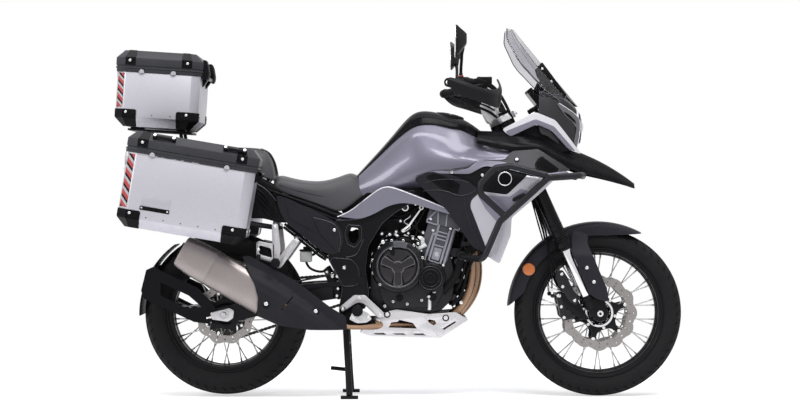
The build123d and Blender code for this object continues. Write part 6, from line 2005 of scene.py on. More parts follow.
def clutchFace():
    cx, cz = engineLook["clutch"]
    dish = spun(
        "dish",
        [(0, -0.184), (0.05, -0.184), (0.062, -0.1835), (0.068, -0.1815), (0.072, -0.1795),
            (0.0745, -0.1815), (0.077, -0.1872), (0.081, -0.1892), (0.0855, -0.1885), (0.0885, -0.184),
            (0.0888, -0.1715), (0, -0.1715)],
        (cx, 0, cz), 96,
    )
    pieces, bright, grooves = [dish], [], []
    # the three arms of the relief and the field between them
    for turn in (152, 28, 270):
        a = radians(turn)
        out, side = Vector((cos(a), sin(a))), Vector((-sin(a), cos(a)))
        centre = Vector((cx, cz - 0.006))
        wide, tip = (0.011, 0.0145) if turn == 270 else (0.009, 0.015)
        outline = [centre + side * wide, centre + out * 0.064 + side * tip, centre + out * 0.068,
            centre + out * 0.064 - side * tip, centre - side * wide]
        wider = []
        # each arm's outline, a little larger and set behind it in a lighter finish: a painted highlight
        # round the arm
        for p in outline:
            beside = 0.0022 if (p - centre).dot(side) > 0 else -0.0022
            wider.append(centre + (p - centre) * 1.04 + side * beside)
        bright.append(rounded(tidyMesh(plate("armEdge", [tuple(p) for p in wider], -0.189, -0.183)),
            0.0012, 2, 30))
        arm = plate("arm", [tuple(p) for p in outline], -0.1908, -0.183)
        pieces.append(rounded(tidyMesh(arm), 0.0018, 3, 30))
        for offset in (-0.021, 0.021):
            outline = [centre + out * 0.02 + side * offset * 0.72,
                centre + out * 0.058 + side * (offset * 1.18),
                centre + out * 0.058 + side * (offset * 0.92),
                centre + out * 0.024 + side * offset * 0.5]
            groove = plate("groove", [tuple(p) for p in outline], -0.1868, -0.183)
            grooves.append(rounded(tidyMesh(groove), 0.0008, 2, 30))
    pieces.append(spun("hubPlate", [(0, -0.1912), (0.019, -0.1912), (0.0225, -0.1895), (0.0235, -0.183),
        (0, -0.183)], (cx, 0, cz - 0.004), 48))
    settle(joined("clutchFace", pieces), "chassis", "engine_cover", replaces=("clutch_cover",))
    # raised groove plates in near-black: painted shade for the dark grooves beside the arms
    settle(joined("clutchGrooveShades", grooves), "chassis", "engine_cover", "void_black")
    # light rims round the clutch face and its hub: painted highlights
    bright.append(spun("rimEdge", [(0.0755, -0.1845), (0.0775, -0.188), (0.079, -0.1895),
        (0.0805, -0.1898), (0.0795, -0.186)], (cx, 0, cz), 96))
    bright.append(spun("hubEdge", [(0.0, -0.1905), (0.0245, -0.1905), (0.0255, -0.1895),
        (0.0255, -0.184), (0.0, -0.184)], (cx, 0, cz - 0.004), 48))
    settle(joined("clutchFaceHighlights", bright), "chassis", "engine_cover", "relief_grey")
    # the bright facet on the rim, and the black ribbed segment beside it
    facet = plate("facet", arcBand((cx, cz), 0.0735, 0.0975, 66, 102, 14), -0.1925, -0.1712)
    settle(rounded(facet, 0.0025, 3, 30), "chassis", "engine_cover", "barrel_grey")
    segment = plate("segment", arcBand((cx, cz), 0.08, 0.1, 118, 206, 24), -0.186, -0.1712)
    settle(rounded(segment, 0.002, 2, 30), "chassis", "engine_cover", "soft_black")
    pads = [rounded(plate("pad", arcBand((cx, cz), 0.084, 0.096, a, a + 10, 5), -0.1885, -0.185),
        0.0012, 2, 30) for a in (138, 153, 168, 183)]
    settle(joined("clutchPads", pads), "chassis", "engine_cover", "gloss_black")
    rx, rz = engineLook["rotor"]
    cap = spun(
        "rotorCap",
        [(0, -0.1755), (0.007, -0.1755), (0.009, -0.1735), (0.0145, -0.1735), (0.016, -0.1758),
            (0.0195, -0.1758), (0.021, -0.172), (0.028, -0.1715), (0.03, -0.1752), (0.034, -0.1752),
            (0.0355, -0.173), (0.041, -0.1728), (0.0435, -0.1745), (0.0475, -0.1735), (0.0498, -0.169),
            (0.0498, -0.1565), (0, -0.1565)],
        (rx, 0, rz), 72,
    )
    settle(cap, "chassis", "engine_cover", "soft_black", replaces=("clutch_cover",))
    # fine rings on the cap in the lighter finish: painted highlight lines
    circles = [spun("capRing", [(r, -0.1752), (r + 0.0008, -0.1762), (r + 0.0016, -0.1752)],
        (rx, 0, rz), 64) for r in (0.0325, 0.0172)]
    circles.append(spun("capRing", [(0.0436, -0.1742), (0.0446, -0.1752), (0.0456, -0.1742)],
        (rx, 0, rz), 64))
    settle(joined("rotorCapRings", circles), "chassis", "engine_cover", "relief_grey")
    # clutch arm and its cable end
    arm = plate("clutchArm", softened([(-0.078, 0.618), (-0.064, 0.624), (-0.03, 0.594),
        (-0.018, 0.572), (-0.022, 0.556), (-0.034, 0.556), (-0.046, 0.585)], 0.006), -0.186, -0.168)
    settle(rounded(tidyMesh(arm), 0.003, 2, 30), "chassis", "engine_cover", "soft_black")
    boltsAt("clutchArmBolt", [(-0.066, -0.186, 0.607)], radius=0.0075)
    boltsAt("cableEnd", [(-0.036, -0.185, 0.582)], radius=0.0045)


def arcBand(centre, inner, outer, start, end, count):
    # the outline of a part of a flat ring, between two angles in degrees
    cx, cz = centre
    ring = [radians(start + (end - start) * i / count) for i in range(count + 1)]
    outside = [(cx + outer * cos(a), cz + outer * sin(a)) for a in ring]
    inside = [(cx + inner * cos(a), cz + inner * sin(a)) for a in reversed(ring)]
    return outside + inside


def cylinders():
    # barrel and head lean forward; the sides carry bright-edged ribs
    barrelView = [(-0.057, -0.02), (0.057, -0.02), (0.057, 0.113), (-0.057, 0.113)]
    barrel = plate("barrel", [leaned(u, v) for u, v in barrelView], -0.122, 0.122)
    headView = [(-0.069, 0.113), (-0.02, 0.108), (0.071, 0.113), (0.071, 0.174), (-0.069, 0.174)]
    head = plate("head", softened([leaned(u, v) for u, v in headView], 0.008), -0.127, 0.127)
    settle(rounded(barrel, 0.003, 2, 30), "chassis", "engine_black", "barrel_grey",
        replaces=("cylinder_block",))
    settle(rounded(head, 0.005, 3, 30), "chassis", "engine_black", "barrel_grey",
        replaces=("cylinder_block",))
    topView = [(-0.056, 0.172), (0.056, 0.172), (0.056, 0.192), (0.04, 0.199), (-0.04, 0.199),
        (-0.056, 0.192)]
    top = plate("camCover", softened([leaned(u, v) for u, v in topView], 0.006), -0.112, 0.112)
    settle(rounded(top, 0.005, 3, 30), "chassis", "engine_black", replaces=("cylinder_block",))
    ribs = []

    def rib(u0, v0, u1, v1, wide, low=-0.131, high=-0.12):
        a, b = Vector(leaned(u0, v0)), Vector(leaned(u1, v1))
        side = Vector((-(b - a).y, (b - a).x)).normalized() * wide / 2
        shape = plate("rib", [tuple(p) for p in (a - side, b - side, b + side, a + side)], low, high)
        ribs.append(rounded(tidyMesh(shape), 0.0014, 2, 30))

    w = 2 * engineLook["rib"]
    rib(-0.03, -0.03, -0.026, 0.075, w)
    rib(-0.014, -0.035, -0.014, 0.112, w)
    rib(0.033, -0.035, 0.033, 0.1, w)
    rib(0.047, -0.03, 0.047, 0.112, w)
    for v in (0.03, 0.056, 0.07, 0.084):
        rib(-0.014, v, 0.034, v + 0.002, w * 0.62)
    rib(-0.01, -0.034, 0.03, -0.034, w * 0.7)
    rib(-0.026, 0.06, -0.014, 0.085, w * 0.6)
    # head: slanting ribs and a raised panel
    rib(-0.066, 0.108, -0.02, 0.108, w * 0.8, -0.1315, -0.12)
    rib(-0.066, 0.112, -0.035, 0.17, w * 0.7, -0.1315, -0.12)
    rib(-0.02, 0.11, -0.035, 0.17, w * 0.7, -0.1315, -0.12)
    rib(0.047, 0.112, 0.068, 0.112, w * 0.8, -0.1315, -0.12)
    rib(0.012, 0.112, 0.002, 0.172, w * 0.7, -0.1315, -0.12)
    rib(0.066, 0.114, 0.066, 0.172, w * 0.7, -0.1315, -0.12)
    panelView = [(-0.006, -0.026), (0.025, -0.026), (0.025, 0.022), (-0.006, 0.022)]
    panel = plate("panel", softened([leaned(u, v) for u, v in panelView], 0.003), -0.1265, -0.12)
    ribs.append(rounded(tidyMesh(panel), 0.0012, 2, 30))
    whole = joined("barrelRibs", ribs)
    settle(whole, "chassis", "engine_black", "barrel_edge", replaces=("cylinder_block",))
    settle(copyOf(whole, acrossBike), "chassis", "engine_black", "barrel_edge",
        replaces=("cylinder_block",))
    x, z = leaned(0.0095, -0.003)
    boss = rounded(block("barrelBoss", (x - 0.0085, -0.1305, z - 0.0085),
        (x + 0.0085, -0.125, z + 0.0085)), 0.0015, 2)
    settle(boss, "chassis", "engine_black", "wing_silver")
    places = [leaned(u, v) for u, v in ((-0.03, -0.036), (0.047, -0.038), (-0.03, 0.08),
        (0.033, 0.106), (-0.052, 0.12), (0.056, 0.16))]
    boltsAt("barrelBolts", [(x, -0.131, z) for x, z in places])


def intakes():
    # airbox, throttle bodies, fuel rail and the wiring that fills the space under the tank
    rows = [(-0.112, 0.63, 0.092, 0.764, 0.098), (-0.06, 0.632, 0.096, 0.79, 0.1),
        (0.026, 0.656, 0.096, 0.804, 0.1), (0.058, 0.712, 0.084, 0.804, 0.094)]
    side = plate("airboxSkin", softened([(r[0], r[1] + 0.001) for r in rows]
        + [(r[0], r[3] - 0.001) for r in reversed(rows)], 0.01), -0.094, 0.094)
    settle(rounded(side, 0.006, 3, 30), "chassis", "soft_black", replaces=("airbox",))
    ribs = [rounded(plate("rib", [(x, 0.652 + max(0, x) * 0.3), (x + 0.006, 0.652 + max(0, x) * 0.3),
        (x + 0.006, 0.786), (x, 0.786)], s * 0.0955 - 0.002, s * 0.0955 + 0.002), 0.001, 2, 30)
        for s in (-1, 1) for x in (-0.09, -0.06, -0.03, 0.0, 0.03)]
    settle(joined("airboxRibs", ribs), "chassis", "soft_black")
    bodies = []
    for y in (-0.048, 0.048):
        bodies.append(pin("duct", (0.02, y, 0.716), (0.104, y, 0.69), 0.025, 40, 0.002))
        for t in (0.2, 0.45, 0.8):
            p = Vector((0.02, y, 0.716)).lerp(Vector((0.104, y, 0.69)), t)
            d = (Vector((0.104, y, 0.69)) - Vector((0.02, y, 0.716))).normalized()
            bodies.append(pin("band", p - d * 0.003, p + d * 0.003, 0.0275, 40, 0.001))
    settle(joined("throttleBodies", bodies), "chassis", "soft_black", "yoke_silver",
        replaces=("airbox",))
    rail = pin("fuelRail", (0.056, -0.092, 0.726), (0.056, 0.092, 0.726), 0.008, 20, 0.002)
    starter = pin("starter", (0.024, -0.084, 0.648), (0.024, 0.084, 0.648), 0.015, 32, 0.003)
    settle(joined("railAndStarter", [rail, starter]), "chassis", "soft_black", "engine_black",
        replaces=("airbox",))
    wires = []
    runs = [
        [(-0.1, -0.1, 0.66), (-0.05, -0.108, 0.7), (0.02, -0.112, 0.69), (0.07, -0.118, 0.66),
            (0.09, -0.112, 0.63)],
        [(-0.11, -0.09, 0.64), (-0.06, -0.105, 0.65), (0.0, -0.11, 0.64), (0.05, -0.115, 0.655),
            (0.08, -0.12, 0.7), (0.1, -0.118, 0.74)],
        [(-0.07, -0.104, 0.622), (-0.03, -0.12, 0.636), (0.02, -0.126, 0.65), (0.06, -0.124, 0.61),
            (0.09, -0.12, 0.58)],
        [(-0.02, -0.1, 0.76), (0.03, -0.114, 0.73), (0.06, -0.118, 0.7), (0.07, -0.12, 0.64),
            (0.05, -0.122, 0.61)],
        [(-0.08, -0.1, 0.74), (-0.02, -0.108, 0.7), (0.04, -0.105, 0.72), (0.09, -0.1, 0.76)],
    ]
    for i, run in enumerate(runs):
        wires.append(pipe("wire", run, 0.0032 if i % 2 else 0.0046, steps=8))
        wires.append(pipe("wire", [(x + 0.012, -y, z + 0.006) for x, y, z in run], 0.0036, steps=8))
    settle(joined("engineWiring", wires), "chassis", "soft_black", "hose_black")
    hose = pipe("coolantHose", [(0.33, -0.12, 0.6), (0.27, -0.122, 0.585), (0.235, -0.124, 0.54),
        (0.222, -0.126, 0.48), (0.19, -0.128, 0.44), (0.166, -0.128, 0.41)], 0.0135, steps=12)
    upper = pipe("upperHose", [(0.335, 0.12, 0.76), (0.29, 0.13, 0.765), (0.25, 0.13, 0.74),
        (0.225, 0.12, 0.7)], 0.0135, steps=12)
    settle(joined("coolantHoses", [hose, upper]), "chassis", "soft_black", "hose_black")
    fitting = [pin("pipe", (0.116, -0.148, 0.4), (0.114, -0.148, 0.345), 0.0075, 24, 0.001),
        pin("flange", (0.116, -0.148, 0.402), (0.116, -0.148, 0.392), 0.013, 24, 0.002),
        pin("elbow", (0.06, -0.135, 0.575), (0.102, -0.138, 0.6), 0.009, 24, 0.002),
        pin("elbow", (0.05, -0.13, 0.6), (0.072, -0.138, 0.578), 0.0065, 24, 0.001),
        pin("sender", (-0.02, -0.12, 0.64), (-0.006, -0.13, 0.628), 0.007, 20, 0.001)]
    fitting.append(rounded(block("flangePlate", (0.08, -0.136, 0.585), (0.096, -0.13, 0.625)), 0.003, 2))
    settle(joined("metalFittings", fitting), "chassis", "engine_black", "yoke_silver")
    boltsAt("fittingBolts", [(0.084, -0.136, 0.618), (0.092, -0.136, 0.592), (-0.05, -0.112, 0.628),
        (0.02, -0.12, 0.634)], radius=0.005)
    filterBody = spun("oilFilter", [(0, -0.001), (0.028, -0.001), (0.032, 0.003), (0.0325, 0.05),
        (0.03, 0.056), (0.0, 0.058)], (0.197, -0.006, 0.432), 48, (1, 0, 0))
    settle(filterBody, "chassis", "engine_black", "soft_black", replaces=("crankcase",))


def frontLumps():
    # lumps for the parts in front of the engine, in near-black: painted shade over them
    rows = [(0.19, 0.234, 0.36, 0.44), (0.2, 0.242, 0.43, 0.5), (0.205, 0.24, 0.49, 0.56),
        (0.205, 0.236, 0.57, 0.645)]
    lumps = [rounded(block("lump", (x0, -0.088, z0), (x1, 0.02, z1)), 0.007, 3)
        for x0, x1, z0, z1 in rows]
    lumps.append(rounded(block("lump", (0.17, -0.1, 0.63), (0.23, 0.06, 0.69)), 0.007, 3))
    settle(joined("engineFrontShadeLumps", lumps), "chassis", "soft_black", "void_black")
    parts = []
    for x, z in ((0.21, 0.39), (0.22, 0.46), (0.224, 0.53)):
        parts.append(pin("drum", (x, -0.087, z), (x, -0.098, z), 0.014, 24, 0.002))
        parts.append(pin("drum", (x, -0.087, z), (x, -0.102, z), 0.007, 20, 0.001))
    settle(joined("engineFrontDrums", parts), "chassis", "soft_black", "engine_cover")
    # small parts above the clutch cover
    bits, dark = [], []
    for x, z, r in ((-0.04, 0.637, 0.006), (-0.015, 0.648, 0.005), (0.012, 0.652, 0.007),
            (0.032, 0.642, 0.0045), (0.05, 0.622, 0.0055), (0.07, 0.602, 0.006), (0.082, 0.575, 0.005),
            (0.09, 0.645, 0.005), (-0.07, 0.64, 0.005), (0.002, 0.69, 0.0045)):
        bits.append(pin("bit", (x, -0.118, z), (x, -0.13, z), r, 16, 0.001))
        dark.append(pin("ring", (x, -0.112, z), (x, -0.122, z), r + 0.004, 20, 0.001))
    spring = [(0.028 + 0.012 * cos(0.5 * k), -0.122 - 0.003 * sin(0.5 * k), 0.71 - 0.0035 * k)
        for k in range(20)]
    bits.append(pipe("spring", spring, 0.0016, sides=3, steps=3))
    bits.append(spun("eyeRing", [(0.009, -0.128), (0.0095, -0.1315), (0.0135, -0.1315),
        (0.0145, -0.128)], (0.02, 0, 0.742), 32))
    bits.append(spun("eyeRing", [(0.0045, -0.128), (0.005, -0.1315), (0.0085, -0.1315),
        (0.009, -0.128)], (0.083, 0, 0.742), 28))
    dark.append(pin("eye", (0.02, -0.1, 0.742), (0.02, -0.129, 0.742), 0.015, 28, 0.002))
    dark.append(pin("eye", (0.083, -0.1, 0.742), (0.083, -0.129, 0.742), 0.0095, 24, 0.002))
    lever = [(0.075, 0.733), (0.085, 0.737), (0.04, 0.672), (0.02, 0.655), (0.012, 0.66), (0.034, 0.677)]
    bits.append(rounded(tidyMesh(plate("leverArm", lever, -0.126, -0.123)), 0.0008, 2, 30))
    settle(joined("intakeBits", bits), "chassis", "soft_black", "bolt_steel")
    settle(joined("intakeRings", dark), "chassis", "soft_black", "engine_cover")


def skidPlate():
    half, wall = 0.132, 0.004
    view = [(-0.157, 0.257), (-0.11, 0.243), (0.158, 0.236), (0.266, 0.306), (0.217, 0.336),
        (0.112, 0.328), (-0.014, 0.346), (-0.07, 0.334), (-0.096, 0.306)]
    tray = plate("tray", softened(view, 0.006, 3), -half, half)
    inside = plate("inside", [(-0.153, 0.262), (-0.11, 0.247), (0.157, 0.24), (0.2615, 0.3075),
        (0.217, 0.36), (-0.096, 0.36), (-0.16, 0.3)], -half + wall, half - wall)
    cut(tray, inside, "MANIFOLD")
    windows = [
        [(-0.044, 0.276), (-0.034, 0.296), (-0.01, 0.298), (-0.002, 0.306), (0.05, 0.294),
            (0.066, 0.272)],
        [(0.106, 0.3), (0.114, 0.308), (0.136, 0.303), (0.142, 0.292), (0.13, 0.284)],
        [(0.166, 0.272), (0.214, 0.301), (0.218, 0.296), (0.17, 0.266)],
    ]
    for k, x in enumerate((-0.082, -0.006, 0.07)):
        windows.append([(x - 0.022, 0.2545 - 0.001 * k), (x + 0.02, 0.2555 - 0.001 * k),
            (x + 0.03, 0.2475 - 0.001 * k), (x - 0.012, 0.2485 - 0.001 * k)])
    for w in windows:
        cut(tray, plate("cutter", softened(w, 0.002, 2), -0.2, 0.2), "MANIFOLD")
    tray.name = "skidTray"
    settle(rounded(tray, 0.0012, 2, 30), "chassis", "bright_alloy", replaces=("skid_plate",))
    folds = []
    for side in (-1, 1):
        y = side * (half + 0.0005)
        for a, b in (((0.09, 0.324), (0.134, 0.262)), ((0.134, 0.262), (0.232, 0.328)),
                ((0.134, 0.262), (0.15, 0.242))):
            folds.append(pin("fold", (a[0], y - side * 0.0015, a[1]), (b[0], y - side * 0.0015, b[1]),
                0.0022, 12))
    settle(joined("skidFolds", folds), "chassis", "bright_alloy")
    pads = []
    for side in (-1, 1):
        low, high = sorted((side * 0.118, side * 0.128))
        for x in (-0.03, 0.06):
            pads.append(rounded(block("pad", (x - 0.012, low, 0.324), (x + 0.012, high, 0.3335)),
                0.001, 2))
    settle(joined("skidPads", pads), "chassis", "bright_alloy", replaces=("skid_plate",))
    boltsAt("skidBolts", [(0.178, -0.1325, 0.313), (-0.085, -0.1325, 0.3), (-0.05, -0.1325, 0.327)],
        radius=0.0075, slot="bright_alloy")
    cups = [spun("cup", [(0.0085, -0.132), (0.0095, -0.1345), (0.0125, -0.1345), (0.0135, -0.132)],
        (x, 0, z), 24) for x, z in ((0.178, 0.313), (-0.05, 0.327))]
    settle(joined("skidBoltCups", cups), "chassis", "bright_alloy", "soft_black")


def radiatorSkin():
    fins = [block("fin", (0.3665, -0.147, 0.566 + 0.0072 * i),
        (0.3695, 0.147, 0.566 + 0.0072 * i + 0.0022)) for i in range(30)]
    tubes = [block("tube", (0.366, -0.147 + 0.0147 * i - 0.001, 0.567),
        (0.3685, -0.147 + 0.0147 * i + 0.001, 0.781)) for i in range(21)]
    settle(joined("radiatorFins", fins + tubes), "chassis", "radiator_black")
    tanks = []
    for side in (-1, 1):
        low, high = sorted((side * 0.148, side * 0.168))
        tanks.append(rounded(block("tank", (0.332, low, 0.56), (0.372, high, 0.788)), 0.005, 3))
    settle(joined("radiatorTanks", tanks), "chassis", "radiator_black", "soft_black")


crankcaseSkin()
clutchFace()
cylinders()
intakes()
frontLumps()
skidPlate()
radiatorSkin()
print("engine is in")


seatLook = {"bulge": 0.007, "levels": 2}


def seatRing(x, zb, hb, zt, ht, roll, crown):
    # one closed section of a seat: base, swelling side, rolled edge and crowned top
    side = hb * 0.45 + ht * 0.55 + seatLook["bulge"]
    half = [
        (0.0, zb + 0.004), (hb * 0.72, zb + 0.003), (hb - 0.002, zb + 0.001),
        (hb + 0.0005, zb + roll * 0.5), (side, zb + (zt - zb) * 0.52), (ht + roll * 0.35, zt - roll),
        (ht - roll * 0.8, zt - roll * 0.12), (ht * 0.45, zt + crown * 0.7), (0.0, zt + crown),
    ]
    return [(x, -y, z) for y, z in half] + [(x, y, z) for y, z in reversed(half[1:-1])]


def padBody(name, rows, roll, crown):
    # a closed pad: rings along it, drawn in at both ends, and then smoothed
    rings = []
    first, last = rows[0], rows[-1]

    def shrunk(row, x, share):
        _, zb, hb, zt, ht = row
        middle = (zb + zt) / 2
        return seatRing(x, middle + (zb - middle) * share, hb * share, middle + (zt - middle) * share,
            ht * share, roll * share, crown * share)

    rings.append(shrunk(first, first[0], 0.45))
    rings.append(shrunk(first, first[0] + 0.001, 0.86))
    for row in rows:
        x = max(first[0] + 0.008, min(last[0] - 0.008, row[0]))
        rings.append(seatRing(x, *row[1:], roll, crown))
    rings.append(shrunk(last, last[0] - 0.001, 0.86))
    rings.append(shrunk(last, last[0], 0.45))
    count = len(rings[0])
    piece = sheet(name, count, len(rings) - 1, lambda i, j: rings[j][i % count])
    tidyMesh(piece, 0.0001)
    edit(piece, "EDGE", False)
    bpy.ops.mesh.select_non_manifold()
    bpy.ops.mesh.fill_holes(sides=0)
    closeEdit()
    addSmoothing(piece, seatLook["levels"])
    applyAll(piece)
    return smooth(piece, 50)


riderRows = [
    (-0.496, 0.812, 0.104, 0.854, 0.086), (-0.470, 0.803, 0.112, 0.8655, 0.096),
    (-0.430, 0.788, 0.119, 0.853, 0.106), (-0.390, 0.775, 0.124, 0.8445, 0.113),
    (-0.352, 0.763, 0.128, 0.8405, 0.117), (-0.316, 0.751, 0.130, 0.839, 0.117),
    (-0.276, 0.735, 0.130, 0.8455, 0.112), (-0.240, 0.722, 0.128, 0.857, 0.104),
    (-0.214, 0.731, 0.124, 0.867, 0.094), (-0.190, 0.748, 0.119, 0.874, 0.084),
    (-0.158, 0.772, 0.106, 0.858, 0.072), (-0.126, 0.792, 0.092, 0.836, 0.058),
]
pillionRows = [
    (-0.790, 0.902, 0.088, 0.9615, 0.070), (-0.760, 0.899, 0.095, 0.967, 0.082),
    (-0.700, 0.893, 0.107, 0.9715, 0.092), (-0.650, 0.883, 0.112, 0.972, 0.098),
    (-0.600, 0.873, 0.115, 0.9715, 0.1), (-0.560, 0.864, 0.114, 0.969, 0.097),
    (-0.532, 0.857, 0.112, 0.964, 0.092), (-0.512, 0.852, 0.108, 0.946, 0.087),
    (-0.496, 0.846, 0.1, 0.908, 0.08), (-0.484, 0.843, 0.096, 0.874, 0.078),
]


def seats():
    rider = padBody("riderSeatPad", riderRows, 0.016, 0.007)
    settle(rider, "chassis", "seat_cover", replaces=("rider_seat",))
    pillion = padBody("pillionSeatPad", pillionRows, 0.018, 0.008)
    settle(pillion, "chassis", "seat_cover", replaces=("rear_seat",))
    seams = []
    for side in (-1, 1):
        line = []
        for x, zb, hb, zt, ht in riderRows[1:-1]:
            line.append((x, side * (hb * 0.45 + ht * 0.55 + seatLook["bulge"] - 0.0015),
                zb + (zt - zb) * 0.42))
        seams.append(pipe("seam", line, 0.0014, sides=2, steps=6))
        line = [(x, side * (ht - 0.0135), zt + 0.0012) for x, zb, hb, zt, ht in pillionRows[1:-3]]
        seams.append(pipe("seam", line, 0.0013, sides=2, steps=6))
    # sewn channels over the pillion pad's front face
    for y in (-0.072, -0.046, -0.02, 0.02, 0.046, 0.072):
        seams.append(pipe("seam", [(-0.545, y, 0.9735), (-0.522, y, 0.9655), (-0.502, y, 0.936),
            (-0.4895, y, 0.9), (-0.4845, y, 0.866)], 0.0014, sides=2, steps=6))
    settle(joined("seatSeams", seams), "chassis", "seat_cover", "gloss_black")


def framePlates():
    outline = softened(
        [(-0.247, 0.7), (-0.12, 0.723), (-0.02, 0.791), (0.058, 0.812), (0.041, 0.76), (-0.019, 0.723),
            (-0.072, 0.679), (-0.125, 0.589), (-0.135, 0.5), (-0.121, 0.41), (-0.135, 0.349),
            (-0.175, 0.343), (-0.199, 0.299), (-0.233, 0.299), (-0.237, 0.35), (-0.223, 0.43),
            (-0.241, 0.47), (-0.281, 0.547)],
        0.014, 4,
    )
    hole = softened([(-0.192, 0.666), (-0.203, 0.64), (-0.195, 0.609), (-0.177, 0.6), (-0.16, 0.624),
        (-0.162, 0.662)], 0.008)
    rim = softened([(-0.204, 0.676), (-0.215, 0.641), (-0.204, 0.6), (-0.174, 0.586), (-0.148, 0.62),
        (-0.15, 0.672)], 0.01)
    lower = softened([(-0.262, 0.548), (-0.19, 0.542), (-0.168, 0.52), (-0.158, 0.49), (-0.165, 0.44),
        (-0.22, 0.436), (-0.238, 0.472), (-0.272, 0.532)], 0.01)
    pieces, edges = [], []
    for side in (-1, 1):
        near, far = side * 0.1375, side * 0.126
        skin = plate("framePlate", outline, near, far)
        cut(skin, plate("cutter", hole, -0.3, 0.3), "MANIFOLD")
        pieces.append(rounded(skin, 0.004, 3, 30))
        ring = plate("holeRim", rim, side * 0.1395, side * 0.136)
        cut(ring, plate("cutter", hole, -0.3, 0.3), "MANIFOLD")
        pieces.append(rounded(ring, 0.0015, 2, 30))
        pieces.append(rounded(plate("pivotCover", lower, side * 0.142, side * 0.136), 0.003, 3, 30))
        centre = (-0.149, 0, 0.4586)
        knob = [(0, side * 0.1445), (0.014, side * 0.1445), (0.0185, side * 0.143),
            (0.0195, side * 0.1385), (0.0195, side * 0.13), (0, side * 0.13)]
        pieces.append(spun("pivotCap", knob, centre, 40))
        # grey folds and outline lines round the plates: painted highlights on their edges
        fold = [(-0.246, side * 0.1385, 0.694), (-0.2, side * 0.1395, 0.694),
            (-0.15, side * 0.1395, 0.7), (-0.1, side * 0.1395, 0.72), (-0.05, side * 0.1395, 0.757),
            (0.0, side * 0.1395, 0.786), (0.04, side * 0.1385, 0.797)]
        edges.append(pipe("fold", fold, 0.0026, sides=4))
        edgeLine = [(-0.142, side * 0.1375, 0.62), (-0.158, side * 0.1395, 0.575),
            (-0.178, side * 0.1395, 0.552), (-0.21, side * 0.1395, 0.55)]
        edges.append(pipe("fold", edgeLine, 0.002, sides=4))
        for loop, level in ((outline, 0.1362), (rim, 0.1392), (lower, 0.1416)):
            edges.append(pipe("fold", [(x, side * level, z) for x, z in loop + loop[:1]], 0.0011,
                sides=2, steps=3))
    settle(joined("framePlateHighlights", edges), "chassis", "frame_black", "edge_grey")
    settle(joined("framePlateSkins", pieces), "chassis", "frame_black", "side_black")
    for side in (-1, 1):
        y = side * 0.1415
        heads = [(-0.217, y, 0.506), (-0.2636, side * 0.137, 0.481), (-0.244, side * 0.137, 0.4727)]
        boltsAt("framePlateBolts", heads, (0, side, 0), 0.0065, slot="frame_black")
    # linkage plates and the loom behind the frame plates
    parts = []
    for side in (-1, 1):
        y0, y1 = sorted((side * 0.1, side * 0.108))
        parts.append(rounded(plate("link", softened(
            [(-0.3, 0.5), (-0.28, 0.512), (-0.232, 0.43), (-0.226, 0.39), (-0.24, 0.382),
            (-0.262, 0.4)], 0.006), y0, y1), 0.0015, 2, 30))
    settle(joined("linkagePlates", parts), "chassis", "frame_black")
    heads = [(-0.285, -0.1085, 0.488), (-0.2636, -0.1085, 0.4705), (-0.242, -0.1085, 0.424),
        (-0.246, -0.1085, 0.396)]
    boltsAt("linkageBolts", heads, radius=0.006, slot="frame_black")
    # a near-black sheet of painted shade that closes the view behind the engine
    filler = plate("engineShadeSheet", softened([(-0.132, 0.6), (-0.11, 0.652), (-0.07, 0.69), (0.0, 0.735),
        (0.1, 0.76), (0.13, 0.72), (0.09, 0.63), (0.02, 0.634), (-0.064, 0.614), (-0.112, 0.56),
        (-0.122, 0.48), (-0.12, 0.42), (-0.1, 0.36), (-0.12, 0.36), (-0.13, 0.42), (-0.14, 0.5)], 0.01),
        -0.09, 0.06)
    settle(rounded(tidyMesh(filler), 0.003, 2, 30), "chassis", "soft_black", "void_black")
    # the plate behind the frame plate's hole is a sheet of painted shade; the pipe shield is in the same
    # near-black
    behind = plate("holeShade", softened([(-0.212, 0.588), (-0.212, 0.662), (-0.188, 0.65),
        (-0.168, 0.66), (-0.146, 0.634), (-0.146, 0.588)], 0.006), -0.106, -0.1)
    shield = plate("pipeShield", softened([(-0.212, 0.298), (-0.205, 0.334), (-0.15, 0.338),
        (-0.104, 0.312), (-0.09, 0.296), (-0.15, 0.288), (-0.2, 0.29)], 0.006), -0.205, -0.2)
    casting = plate("brakePivot", softened([(-0.196, 0.312), (-0.18, 0.345), (-0.152, 0.351),
        (-0.122, 0.336), (-0.108, 0.314), (-0.128, 0.3), (-0.165, 0.297)], 0.006), -0.216, -0.206)
    boss = spun("pivotBoss", [(0.0, -0.223), (0.009, -0.223), (0.011, -0.2205), (0.0165, -0.2205),
        (0.0185, -0.218), (0.0185, -0.206), (0.0, -0.206)], (-0.15, 0, 0.326), 36)
    settle(joined("brakePivotSkin", [rounded(tidyMesh(casting), 0.002, 3, 30), boss]), "chassis",
        "soft_black", "peg_alloy")
    rights = [facing((x, -0.216, z), (0, -1, 0)) for x, z in ((-0.18, 0.318), (-0.122, 0.319))]
    settle(repeated("pivotBolts", capHead(0.0055, 0.004), rights), "chassis", "soft_black",
        "bolt_steel")
    settle(joined("shadePlates", [rounded(behind, 0.001, 2, 30),
        rounded(tidyMesh(shield), 0.001, 2, 30)]), "chassis", "soft_black", "void_black")


